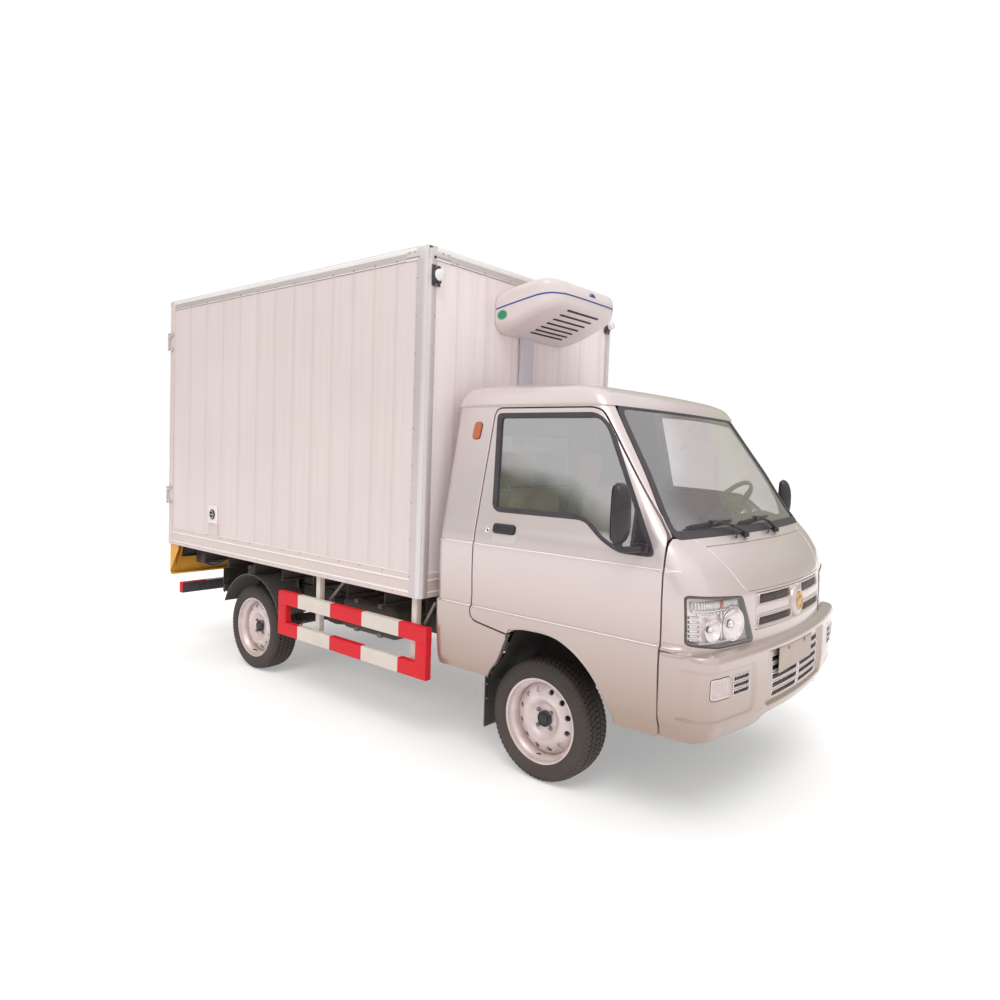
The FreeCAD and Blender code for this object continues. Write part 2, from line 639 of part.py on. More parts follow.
def make_drive():
    engine = block("engine", ("front_axle - 550", "-215", "tyre_radius + 55"),
                   ("front_axle - 110", "215", "640"))
    arm_end = "rail_middle - rail_wide / 2"
    arms = block("engine_arms", ("front_axle - 350", f"-({arm_end})", "rail_base + 20"),
                 ("front_axle - 300", arm_end, "rail_base + 60"))
    sub_part("engine_block", fuse("engine_set", [engine, arms]))
    shaft_x = "rear_axle + 112.5"
    tube = doc.addObject("Part::Cylinder", "shaft_tube")
    tube.Placement.Rotation = TURNS["x"]
    bind(tube, x=shaft_x, y="0", z="tyre_radius + 45", Radius="33",
         Height=f"front_axle - 550 - ({shaft_x})")
    sub_part("propeller_shaft", tube)


def make_rear_axle():
    """Axle tubes, the final drive, brake drums and the leaf springs they sit on."""
    axle_x = "rear_axle"
    drum_out = "track / 2 - 22"
    pieces = [rod("axle_tube", (axle_x, f"-({drum_out})", "tyre_radius"), "y", 36, f"2 * ({drum_out})")]
    case = doc.addObject("Part::Sphere", "final_drive")
    bind(case, x=axle_x, y="0", z="tyre_radius + 45", Radius="112")
    pieces.append(case)
    for side_name, low in (("left", f"{drum_out} - 44"), ("right", f"-({drum_out})")):
        pieces.append(rod(f"drum_{side_name}", (axle_x, low, "tyre_radius"), "y", 112, "44"))
    stub = "track / 2 + 38"
    pieces.append(rod("axle_shaft", (axle_x, f"-({stub})", "tyre_radius"), "y", "spindle_radius",
                      f"2 * ({stub})"))
    pieces += both_sides("leaf_spring", (axle_x + " - 520", "rail_middle + 50", "tyre_radius + 30"),
                         (axle_x + " + 480", "rail_middle + 110", "tyre_radius + 62"))
    for i, (station, foot) in enumerate((("rear_axle - 540", "rail_base + 20"),
                                         ("rear_axle + 450", "rail_base + 20"))):
        pieces += both_sides(f"spring_hanger_{i}", (station, "rail_middle + 25", "tyre_radius + 20"),
                             (f"{station} + 60", "rail_middle + 115", "rail_top - 20"))
    sub_part("rear_axle", fuse("rear_axle_set", pieces))


def make_front_suspension():
    """A cross-beam with an upper and a lower arm that hold each knuckle's pivot."""
    beam = block("axle_beam", ("front_axle - 45", "-(rail_middle + 60)", "rail_base - 90"),
                 ("front_axle + 45", "rail_middle + 60", "rail_base"))
    pieces = [beam]
    pivot = "track / 2 - pivot_inboard"
    for name, low, high in (("lower", "tyre_radius - 108", "tyre_radius - 84"),
                            ("upper", "tyre_radius + 84", "tyre_radius + 108")):
        pieces += both_sides(f"{name}_arm", ("front_axle - 24", "rail_middle - 20", low),
                             ("front_axle + 24", pivot, high))
        eye = rod(f"{name}_eye_left", ("front_axle", pivot, low), "z", 28, f"{high} - ({low})")
        pieces += [eye, mirrored(f"{name}_eye_right", eye)]
    pieces += both_sides("arm_tower", ("front_axle - 40", "rail_middle - 20", "tyre_radius - 108"),
                         ("front_axle + 40", "rail_middle + 60", "rail_base - 80"))
    solid = fuse("suspension_arms", pieces)
    bores = []
    bore = rod("pivot_bore_left", ("front_axle", pivot, "tyre_radius - 120"), "z",
               "pivot_radius + running_gap", "240")
    bores = fuse("pivot_bores", [bore, mirrored("pivot_bore_right", bore)])
    sub_part("front_suspension", cut("suspension_bored", solid, bores))


def make_knuckle(name, side):
    """The steered knuckle: pivot pin, boss, brake drum and wheel spindle."""
    pivot_y = f"{side} * (track / 2 - pivot_inboard)"
    pieces = [rod(f"pivot_pin_{name}", ("front_axle", pivot_y, "tyre_radius - 106"), "z",
                  "pivot_radius", "212"),
              rod(f"pivot_boss_{name}", ("front_axle", pivot_y, "tyre_radius - 84 + 1"), "z",
                  28, "2 * 84 - 2")]
    for bar, radius, inner, outer in (("neck", 34, "0", "32"), ("drum", 104, "28", "62"),
                                      ("spindle", "spindle_radius", "60", "pivot_inboard + 38")):
        low = inner if side == LEFT else outer
        start = f"{pivot_y} + {side} * ({low})"
        pieces.append(rod(f"{bar}_{name}", ("front_axle", start, "tyre_radius"), "y", radius,
                          f"{outer} - ({inner})"))
    pieces.append(box(f"steering_arm_{name}",
                      ("front_axle - 96", f"{pivot_y} - 13", "tyre_radius - 40"),
                      ("96", "26", "22")))
    sub_part("knuckle_" + name, fuse(f"knuckle_set_{name}", pieces))


def make_wheel(name, axle_formula, side):
    """A pressed steel wheel and its tyre, turned about the axle line."""
    middle = f"{side} * track / 2"
    barrel = "rim_radius - 16"
    half_rim, half_tyre = "rim_wide / 2", "tyre_wide / 2"
    disc_out = f"{half_rim} - disc_depth"
    rim_outline = [
        ("spindle_radius + running_gap", "22"), ("hub_radius", "22"),
        ("hub_radius", f"{disc_out} - 14"),
        (f"{barrel} - 10", f"{disc_out} - 26"), (f"{barrel} - 10", f"-({half_rim}) + 12"),
        ("rim_radius - 10", f"-({half_rim}) + 4"), ("rim_radius", f"-({half_rim})"),
        ("rim_radius", f"-({half_rim}) + 7"), (barrel, f"-({half_rim}) + 16"),
        (barrel, f"{half_rim} - 16"), ("rim_radius", f"{half_rim} - 7"), ("rim_radius", half_rim),
        ("rim_radius - 8", half_rim), (f"{barrel} - 10", f"{half_rim} - 16"),
        (f"{barrel} - 12", f"{disc_out} - 18"), ("hub_radius + 8", f"{disc_out}"),
        ("hub_radius - 20", f"{disc_out}"), ("hub_radius - 24", f"{half_rim} - 4"),
        ("spindle_radius - 8", half_rim), ("0", half_rim), ("0", "42"),
        ("spindle_radius + running_gap", "42")]
    tyre_outline = [
        (f"{barrel} + seat_gap", f"-({half_rim}) + 17"), ("rim_radius + 1", f"-({half_rim}) + 7.5"),
        ("rim_radius + 6", f"-({half_rim})"), ("rim_radius + 34", f"-({half_tyre})"),
        ("rim_radius + 56", f"-({half_tyre})"), ("tyre_radius - 14", f"-({half_tyre}) + 7"),
        ("tyre_radius - 3", f"-({half_tyre}) + 22"), ("tyre_radius", f"-({half_tyre}) + 42")]
    outer_half = [(radius, f"-1 * ({across})") for radius, across in reversed(tyre_outline)]
    for kind, outline in (("rim", rim_outline), ("tyre", tyre_outline + outer_half)):
        if side == RIGHT:
            outline = [(radius, f"-1 * ({across})") for radius, across in outline]
        body = turned(f"{kind}_turned_{name}", outline, axle_formula, middle, "tyre_radius")
        if kind == "rim":
            body = drill_vents(body, name, axle_formula, middle)
        sub_part(f"{kind}_{name}", body)


def drill_vents(rim, name, axle_formula, middle):
    """Twelve round vents through the wheel's disc."""
    vents = []
    count = 12
    for i in range(count):
        turn = 2 * math.pi * i / count
        vents.append(rod(f"vent_{name}_{i}", (f"{axle_formula} + vent_circle * {math.cos(turn):.6f}",
                                              f"{middle} - 60",
                                              f"tyre_radius + vent_circle * {math.sin(turn):.6f}"),
                         "y", "vent_radius", "120"))
    return cut(f"vented_{name}", rim, fuse(f"vents_{name}", vents))


def make_wheels():
    for name, side in SIDES:
        make_knuckle(name, side)
        for end, axle_formula in (("front", "front_axle"), ("rear", "rear_axle")):
            make_wheel(f"{end}_{name}", axle_formula, side)


def make_tank_and_exhaust():
    """Fuel tank outside the right rail, muffler and its pipe outside the left one."""
    rail_out, back = "(rail_middle + rail_wide / 2)", "(box_front - tank_back)"
    tank = block("tank", (back, f"-({rail_out} + tank_wide)", "tank_base"),
                 (f"{back} + tank_long", f"-{rail_out}", "tank_base + tank_high"))
    sub_part("fuel_tank", tank)
    muffler_y, muffler_z = f"{rail_out} + muffler_radius + 15", "tank_base + 10"
    muffler = rod("muffler", (back, muffler_y, muffler_z), "x", "muffler_radius", "420")
    inlet = rod("exhaust_inlet", (f"{back} + 410", muffler_y, muffler_z), "x", "pipe_radius",
                "340")
    hanger = block("muffler_hanger", (f"{back} + 200", rail_out, f"{muffler_z} + 60"),
                   (f"{back} + 230", f"{muffler_y} + 25", f"{muffler_z} + 90"))
    sub_part("exhaust", fuse("exhaust_set", [muffler, inlet, hanger]))


# ---------------------------------------------------------------- cargo box

HINGE_HEIGHTS = ("box_base + 316", "box_top - 328")


def make_cargo_box():
    half, inner = "box_half - trim", "box_half - trim - wall"
    back, front = "box_back", "box_front - trim"
    base, top = "box_base", "box_top - trim"
    floor_top, roof_base = "box_base + floor_deep", "box_top - trim - wall"
    inside_back = "box_back + wall"
    sub_part("cargo_floor", block("cargo_floor_slab", (inside_back, f"-({inner})", base),
                                  (f"{front} - wall", inner, floor_top)))
    walls = both_sides("cargo_wall", (inside_back, inner, base), (front, half, top))
    for wall, name in zip(walls, ("left", "right")):
        sub_part("cargo_wall_" + name, wall)
    sub_part("cargo_front_wall", block("cargo_front_slab", (f"{front} - wall", f"-({inner})", base),
                                       (front, inner, roof_base)))
    sub_part("cargo_roof", block("cargo_roof_slab", (inside_back, f"-({inner})", roof_base),
                                 (front, inner, top)))
    frame = block("rear_frame_block", (f"{back} + strap_gap", "-(box_half)", base),
                  (inside_back, "box_half", "box_top"))
    doorway = block("rear_doorway", (f"{back} - 20", "-(box_half - post_wide)", "box_base + post_wide"),
                    (f"{inside_back} + 20", "box_half - post_wide", "box_top - post_wide"))
    ring = cut("rear_frame_ring", frame, doorway)
    ears = []
    for i, height in enumerate(HINGE_HEIGHTS):
        for j, low in enumerate((f"{height} - 23", f"{height} + hinge_high + 1")):
            ears += both_sides(f"hinge_ear_{i}{j}", ("box_back - 15", "box_half", low),
                               ("box_back + 50", "box_half + 13", f"{low} + 22"))
    sub_part("cargo_rear_frame", fuse("rear_frame_set", [ring] + ears))
    trims = []
    trims += both_sides("bottom_trim", (inside_back, half, base),
                        ("box_front", "box_half", f"{base} + trim_high"))
    trims += both_sides("top_trim_side", (inside_back, half, "box_top - top_trim"),
                        ("box_front", "box_half", "box_top"))
    trims += both_sides("corner_side", ("box_front - corner_trim", half, base),
                        ("box_front", "box_half", "box_top"))
    trims += both_sides("corner_front", (front, "box_half - corner_trim", base),
                        ("box_front", "box_half", "box_top"))
    trims += both_sides("roof_trim_side", (inside_back, "box_half - top_trim", top),
                        ("box_front", "box_half", "box_top"))
    trims.append(block("bottom_trim_front", (front, "-(box_half)", base),
                       ("box_front", "box_half", f"{base} + trim_high")))
    trims.append(block("top_trim_front", (front, "-(box_half)", "box_top - top_trim"),
                       ("box_front", "box_half", "box_top")))
    trims.append(block("roof_trim_front", ("box_front - top_trim", "-(box_half)", top),
                       ("box_front", "box_half", "box_top")))
    sub_part("cargo_trims", fuse("cargo_trim_frame", trims))


def make_cargo_doors():
    """Two leaves with a lock bar each, hung on pins at the rear corners."""
    for name, side in SIDES:
        low_y, high_y = "door_meet / 2", "box_half - post_wide - move_gap"
        leaf = both_sides(f"cargo_leaf_{name}", ("box_back", low_y, "box_base + post_wide + move_gap"),
                          ("box_back + wall", high_y, "box_top - post_wide - move_gap"))
        bar_y = "box_half - 330"
        bar = rod(f"lock_bar_{name}", ("box_back - hardware / 2", bar_y,
                                       "box_base + post_wide + 40"), "z", 11,
                  "box_top - box_base - 2 * post_wide - 80")
        pieces = [leaf[0], bar]
        for i, height in enumerate(("box_base + 90", "box_base + 560", "box_base + 1250",
                                    "box_top - 110")):
            pieces.append(block(f"bar_keeper_{name}_{i}",
                                ("box_back - hardware", f"{bar_y} - 30", height),
                                ("box_back", f"{bar_y} + 30", f"{height} + 36")))
        pieces.append(block(f"door_handle_{name}", ("box_back - hardware + 4", "60", "box_base + 566"),
                            ("box_back - hardware + 16", bar_y, "box_base + 592")))
        pieces.append(block(f"handle_catch_{name}", ("box_back - hardware + 4", "60", "box_base + 560"),
                            ("box_back", "100", "box_base + 598")))
        for i, height in enumerate(HINGE_HEIGHTS):
            pieces.append(block(f"hinge_strap_{name}_{i}", ("box_back - 10", "box_half - 180", height),
                                ("box_back", "box_half + 2", f"{height} + hinge_high")))
            pieces.append(rod(f"hinge_barrel_{name}_{i}", ("box_back - 8", "box_half + 6", height),
                              "z", 8, "hinge_high"))
        left = fuse(f"cargo_door_set_{name}", pieces)
        door = left if side == LEFT else mirrored(f"cargo_door_mirror_{name}", left)
        sub_part("cargo_door_" + name, door)


def make_cooling_unit():
    """The nose-mounted cooling unit with its cable duct down the front wall."""
    wall = "(box_front - trim)"
    outline = [(wall, "unit_base"), (f"{wall} + unit_deep - 40", "unit_nose - 16"),
               (f"{wall} + unit_deep", "unit_nose + 30"), (f"{wall} + unit_deep", "unit_crown - 60"),
               (f"{wall} + unit_deep - 60", "unit_crown"), (wall, "unit_top")]
    side_view = prism("unit_side_view", "xz", outline, "0", "unit_wide")
    block_out = block("unit_plan", (wall, "-unit_wide / 2", "unit_base - 10"),
                      ("box_front + unit_deep", "unit_wide / 2", "unit_crown + 10"))
    doc.recompute()
    plan = doc.addObject("Part::Fillet", "unit_plan_corners")
    plan.Base = block_out
    corners = [i for i, edge in enumerate(block_out.Shape.Edges, start=1)
               if edge.BoundBox.ZLength > 1 and edge.BoundBox.XMin > size("box_front") + 1]
    plan.Edges = [(i, size("unit_corner"), size("unit_corner")) for i in corners]
    case = doc.addObject("Part::MultiCommon", "unit_case")
    case.Shapes = [side_view, plan]
    duct = block("cable_duct", (wall, "-duct_wide / 2 - 60", "box_base + trim_high + 1"),
                 ("box_front + duct_deep", "duct_wide / 2 - 60", "unit_base + 8"))
    sub_part("cooling_unit", fuse("cooling_unit_set", [case, duct]))


def make_marker_lamps():
    plate = block("marker_plate_left", ("box_front", "box_half - 80", "box_top - 180"),
                  ("box_front + 14", "box_half - 22", "box_top - 106"))
    cap = rod("marker_cap_left", ("box_front", "box_half - 51", "box_top - 143"), "x", 22, "50")
    left = fuse("marker_left", [plate, cap])
    sub_part("marker_lamps", fuse("marker_pair", [left, mirrored("marker_right", left)]))


# ---------------------------------------------------------------- guards

def make_side_guards():
    """A closed rail frame on two posts hung from the cargo floor."""
    back = "front_axle - 626 - guard_long"
    front = "front_axle - 626"
    outer, inner = "box_half", "box_half - guard_thick"
    top = "guard_base + guard_high"
    frame = block("guard_block", (back, inner, "guard_base"), (front, outer, top))
    hole = block("guard_gap", (f"{back} + guard_bar", f"{inner} - 10", "guard_base + guard_bar + 8"),
                 (f"{front} - guard_bar", f"{outer} + 10", f"{top} - guard_bar"))
    ring = cut("guard_ring", frame, hole)
    pieces = [ring]
    for i, station in enumerate(("front_axle - 743", "front_axle - 1550")):
        pieces.append(block(f"guard_post_{i}",
                            (f"{station} - guard_post / 2", f"{inner} - guard_post",
                             "guard_base + 20"),
                            (f"{station} + guard_post / 2", inner, "box_base")))
    left = fuse("side_guard_left", pieces)
    sub_part("side_guards", fuse("side_guard_pair", [left, mirrored("side_guard_right", left)]))


def make_rear_end():
    """Apron, underride guard and tail lamps below the cargo doors."""
    low, half = "(box_base - apron_high + 20)", "(box_half - 14)"
    skin = "(box_back + 6)"
    apron = block("apron_sheet", (skin, f"-{half}", low), (f"{skin} + apron_thick", half, "box_base"))
    gusset = prism("apron_gusset_left", "xz", [
        (skin, low), (f"{skin} + 40", low), (f"{skin} + 120", "box_base"), (skin, "box_base")],
        f"{half} - apron_thick / 2", "apron_thick")
    flange = block("apron_flange", (skin, f"-{half}", low),
                   (f"{skin} + 40", half, f"{low} + apron_thick"))
    sheets = [apron, gusset, mirrored("apron_gusset_right", gusset), flange]
    sub_part("rear_apron", fuse("apron_set", sheets))
    back = "(box_back + 20)"
    bar = block("underride_bar", (back, "-(underride_long / 2)", "underride_base"),
                (f"{back} + underride_thick", "underride_long / 2",
                 "underride_base + underride_high"))
    struts = both_sides("underride_strut", (f"{back} + 30", "rail_middle + 26", "underride_base"),
                        (f"{back} + 80", "rail_middle + 70", "rail_top"))
    ties = both_sides("underride_tie", (f"{back} + 55", "rail_middle + 25", "rail_base"),
                      (f"{back} + 110", "rail_middle + 70", "rail_top"))
    sub_part("underride_guard", fuse("underride_set", [bar] + struts + ties))
    lamps = both_sides("tail_lamp", ("box_back - 26", "box_half - 330", "box_base - 170"),
                       ("box_back + 5.7", "box_half - 90", "box_base - 60"))
    sub_part("tail_lamps", fuse("tail_lamp_pair", lamps))


def make_mudguards():
    """Arched guards over the rear wheels and the four hanging flaps."""
    middle = "rear_axle"
    arch = rod("guard_arch", (middle, "track / 2 - tyre_wide / 2 - 14", "tyre_radius"), "y",
               "tyre_radius + 78", "tyre_wide + 26")
    inside = rod("guard_arch_inside", (middle, "track / 2 - tyre_wide / 2 - 24", "tyre_radius"), "y",
                 "tyre_radius + 72", "tyre_wide + 46")
    below = block("guard_arch_cut", ("rear_axle - 400", "track / 2 - 200", "-200"),
                  ("rear_axle + 400", "track / 2 + 200", "tyre_radius + 150"))
    shell = cut("guard_shell", arch, fuse("guard_cuts", [inside, below]))
    crown = "2 * tyre_radius + 70"
    stay = block("guard_stay", ("rear_axle - 20", "rail_middle + 25", crown),
                 ("rear_axle + 20", "track / 2", f"{crown} + 5"))
    hanger = block("guard_hanger", ("rear_axle - 20", "rail_middle + 25", "rail_top - 40"),
                   ("rear_axle + 20", "rail_middle + 31", f"{crown} + 5"))
    flap_back = block("flap_rear", ("rear_axle - 372", "track / 2 - 90", "flap_base"),
                      ("rear_axle - 366", "track / 2 + 90", "rail_top + bearer_high - 5"))
    flap_arm = block("flap_rear_arm", ("rear_axle - 372", "rail_middle + 25", "rail_top - 60"),
                     ("rear_axle - 352", "track / 2 + 90", "rail_top - 20"))
    flap_front = block("flap_front", ("front_axle - 346", "track / 2 - 92", "150"),
                       ("front_axle - 340", "track / 2 + 58", "cab_base + 55"))
    flap_front_arm = block("flap_front_arm", ("front_axle - 366", "rail_middle + 25", "cab_base + 35"),
                           ("front_axle - 340", "track / 2 + 56", "cab_base + 55"))
    rear = fuse("rear_guard_left", [shell, stay, hanger])
    sub_part("rear_mudguards", fuse("rear_guard_pair", [rear, mirrored("rear_guard_right", rear)]))
    flaps = fuse("flaps_left", [flap_back, flap_arm, flap_front, flap_front_arm])
    sub_part("mudflaps", fuse("flap_set", [flaps, mirrored("flaps_right", flaps)]))


# ---------------------------------------------------------------- build

def export():
    """Check every object, then write each sub-part under its own name."""
    doc.recompute()
    for thing in doc.Objects:
        if {"Invalid", "Error"} & set(thing.State):
            raise RuntimeError(f"{thing.Label} did not compute: {thing.State}")
    for thing in SUB_PARTS:
        if thing.Shape.isNull() or not thing.Shape.isValid():
            raise RuntimeError(f"{thing.Label} has no valid shape")
        thing.Shape.exportStep(f"parts/{thing.Label}.step")
        print(thing.Label, len(thing.Shape.Solids))


make_cab()
make_cab_floor()
make_dashboard()
make_steering_wheel()
make_seats()
make_mirrors()
make_wipers()
make_ladder_frame()
make_subframe()
make_drive()
make_rear_axle()
make_front_suspension()
make_wheels()
make_tank_and_exhaust()
make_cargo_box()
make_cargo_doors()
make_cooling_unit()
make_marker_lamps()
make_side_guards()
make_rear_end()
make_mudguards()
export()
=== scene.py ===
"""Looks of the small refrigerated truck: finishes, trim and modelled shells round the CAD frame.

Metres, in the row frame: +X forward, +Y to the truck's left, +Z up, ground at z = 0.
"""
import math

import bmesh
import bpy
import numpy as np
from mathutils import Matrix, Vector
from mathutils.geometry import delaunay_2d_cdt


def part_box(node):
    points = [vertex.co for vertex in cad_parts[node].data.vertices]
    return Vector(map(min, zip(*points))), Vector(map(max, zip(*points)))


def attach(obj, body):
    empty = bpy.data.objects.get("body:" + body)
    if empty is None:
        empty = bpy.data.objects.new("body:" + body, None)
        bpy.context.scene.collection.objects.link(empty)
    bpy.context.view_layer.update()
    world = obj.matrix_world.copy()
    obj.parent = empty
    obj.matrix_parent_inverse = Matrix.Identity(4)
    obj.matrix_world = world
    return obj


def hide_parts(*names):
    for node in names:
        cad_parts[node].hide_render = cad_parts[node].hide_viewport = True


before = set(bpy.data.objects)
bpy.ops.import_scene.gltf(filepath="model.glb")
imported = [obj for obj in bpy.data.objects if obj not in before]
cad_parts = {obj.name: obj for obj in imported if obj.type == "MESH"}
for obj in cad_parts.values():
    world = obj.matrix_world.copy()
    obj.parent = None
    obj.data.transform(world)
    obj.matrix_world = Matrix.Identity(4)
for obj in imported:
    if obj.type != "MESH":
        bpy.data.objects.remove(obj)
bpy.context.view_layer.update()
RIGHT, LEFT = -1, 1
SIDES = (("right", RIGHT), ("left", LEFT))


# ---------------------------------------------------------------- stations from the frame

def middle(node):
    low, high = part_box(node)
    return (low + high) / 2


FRONT_AXLE = middle("rim_front_right").x
REAR_AXLE = middle("rim_rear_right").x
WHEEL_Z = middle("rim_front_right").z
WHEEL_Y = middle("rim_front_left").y
BOX_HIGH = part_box("cargo_trims")[1]
BOX_BACK, BOX_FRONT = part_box("cargo_wall_left")[0].x - 0.060, BOX_HIGH.x
BOX_BASE, BOX_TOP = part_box("cargo_trims")[0].z, BOX_HIGH.z
BOX_HALF = BOX_HIGH.y
CAB_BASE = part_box("cab_frame")[0].z
CAB_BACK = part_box("cab_rear_panel")[0].x
RAIL_FACE = 0.366
HIGH_CREASE, LOW_CREASE = 1045.5, 750


# ---------------------------------------------------------------- materials

class Nodes:
    """A material's node tree, with short calls for what every finish needs."""

    def __init__(self, name, **sockets):
        self.material = bpy.data.materials.new(name)
        self.material.use_nodes = True
        self.tree = self.material.node_tree
        self.shader = self.tree.nodes["Principled BSDF"]
        self.set(**sockets)

    def set(self, **sockets):
        for key, value in sockets.items():
            socket = self.shader.inputs[key.replace("_", " ").title().replace("Ior", "IOR")]
            if hasattr(value, "__len__"):
                value = (*value, 1.0)[:4]
            socket.default_value = value

    def add(self, kind, **settings):
        node = self.tree.nodes.new(kind)
        for key, value in settings.items():
            if key in node.inputs:
                node.inputs[key].default_value = value
            else:
                setattr(node, key, value)
        return node

    def link(self, source, target):
        self.tree.links.new(source, target)

    def coords(self, scale=(1, 1, 1)):
        """Object coordinates, stretched."""
        where = self.add("ShaderNodeTexCoord")
        mapping = self.add("ShaderNodeMapping")
        mapping.inputs["Scale"].default_value = scale
        self.link(where.outputs["Object"], mapping.inputs["Vector"])
        return mapping.outputs["Vector"]

    def noise(self, scale, detail=3, stretch=(1, 1, 1), rough=0.55):
        node = self.add("ShaderNodeTexNoise", Scale=scale, Detail=detail, Roughness=rough)
        self.link(self.coords(stretch), node.inputs["Vector"])
        return node.outputs["Fac"]

    def ramp(self, source, stops):
        """Colour or grey over a factor: stops are (position, colour)."""
        node = self.add("ShaderNodeValToRGB")
        elements = node.color_ramp.elements
        while len(elements) < len(stops):
            elements.new(0.5)
        for element, (position, colour) in zip(elements, stops):
            element.position = position
            element.color = (*colour, 1.0) if hasattr(colour, "__len__") else (colour, colour, colour, 1.0)
        self.link(source, node.inputs["Fac"])
        return node.outputs["Color"]

    def colour(self, source):
        self.link(source, self.shader.inputs["Base Color"])

    def rough(self, source, low, high):
        node = self.add("ShaderNodeMapRange")
        node.inputs["To Min"].default_value = low
        node.inputs["To Max"].default_value = high
        self.link(source, node.inputs["Value"])
        self.link(node.outputs["Result"], self.shader.inputs["Roughness"])

    def bump(self, source, strength, distance=0.002):
        node = self.add("ShaderNodeBump", Strength=strength, Distance=distance)
        self.link(source, node.inputs["Height"])
        self.link(node.outputs["Normal"], self.shader.inputs["Normal"])


def shade(colour, factor):
    return tuple(min(1.0, channel * factor) for channel in colour)


def mottled(name, colour, spread=0.06, scale=6, rough=(0.4, 0.5), bump=0.0, bump_scale=400,
            stretch=(1, 1, 1), **sockets):
    """A finish whose colour and gloss wander a little, with a fine bump."""
    m = Nodes(name, **sockets)
    patches = m.noise(scale, 4, stretch)
    m.colour(m.ramp(patches, [(0.3, shade(colour, 1 - spread)), (0.7, shade(colour, 1 + spread))]))
    m.rough(patches, *rough)
    if bump:
        m.bump(m.noise(bump_scale, 2, stretch), bump, 0.001)
    return m.material


def dusty(name, colour, dust, reach, rough=(0.5, 0.7), bump=0.15, bump_scale=300, **sockets):
    """A finish with road dust that gathers low down, up to the height called reach."""
    m = Nodes(name, **sockets)
    height = m.add("ShaderNodeSeparateXYZ")
    m.link(m.coords(), height.inputs["Vector"])
    low = m.add("ShaderNodeMapRange")
    low.inputs["From Min"].default_value = reach
    low.inputs["From Max"].default_value = reach * 0.2
    m.link(height.outputs["Z"], low.inputs["Value"])
    cloud = m.noise(7, 5)
    grit = m.add("ShaderNodeMath", operation="MULTIPLY")
    m.link(low.outputs["Result"], grit.inputs[0])
    m.link(cloud, grit.inputs[1])
    blend = m.add("ShaderNodeMix", data_type="RGBA")
    m.link(grit.outputs["Value"], blend.inputs["Factor"])
    patches = m.ramp(m.noise(12, 4), [(0.3, shade(colour, 0.85)), (0.7, shade(colour, 1.15))])
    m.link(patches, blend.inputs["A"])
    blend.inputs["B"].default_value = (*dust, 1)
    m.colour(blend.outputs["Result"])
    m.rough(cloud, *rough)
    m.bump(m.noise(bump_scale, 3), bump, 0.001)
    return m.material


def car_paint(name, colour, low_reflection_colour):
    """Metallic paint: fine flake under a clear coat, darker and duller low down, where a painted ground reflection
    and painted shade are blended in by height.
    """
    m = Nodes(name, metallic=0.55, coat_weight=0.8, coat_roughness=0.06)
    flake = m.noise(2200, 1)
    cloud = m.noise(2.2, 3)
    height = m.add("ShaderNodeSeparateXYZ")
    m.link(m.coords(), height.inputs["Vector"])
    # height fade into the painted ground reflection and shade of the lower body
    reflection_fade = m.add("ShaderNodeMapRange")
    reflection_fade.inputs["From Min"].default_value = 0.34
    reflection_fade.inputs["From Max"].default_value = 1.05
    m.link(height.outputs["Z"], reflection_fade.inputs["Value"])
    reflection_tone = m.add("ShaderNodeMix", data_type="RGBA")
    m.link(reflection_fade.outputs["Result"], reflection_tone.inputs["Factor"])
    reflection_tone.inputs["A"].default_value = (*low_reflection_colour, 1)
    reflection_tone.inputs["B"].default_value = (*colour, 1)
    speck = m.add("ShaderNodeMix", data_type="RGBA", blend_type="MULTIPLY")
    speck.inputs["Factor"].default_value = 1.0
    m.link(reflection_tone.outputs["Result"], speck.inputs["A"])
    m.link(m.ramp(flake, [(0.35, 0.9), (0.65, 1.0)]), speck.inputs["B"])
    m.colour(speck.outputs["Result"])
    m.rough(cloud, 0.30, 0.38)
    m.bump(flake, 0.04, 0.0002)
    return m.material


def glass(name, tint, haze, shine, rough=0.0):
    """Thin pane or lens: see-through, with a share of haze and a reflecting outer face."""
    m = Nodes(name, base_color=tint, roughness=rough, transmission_weight=1 - haze, ior=1.06,
              coat_weight=1.0, coat_ior=shine, coat_roughness=0.01)
    return m.material


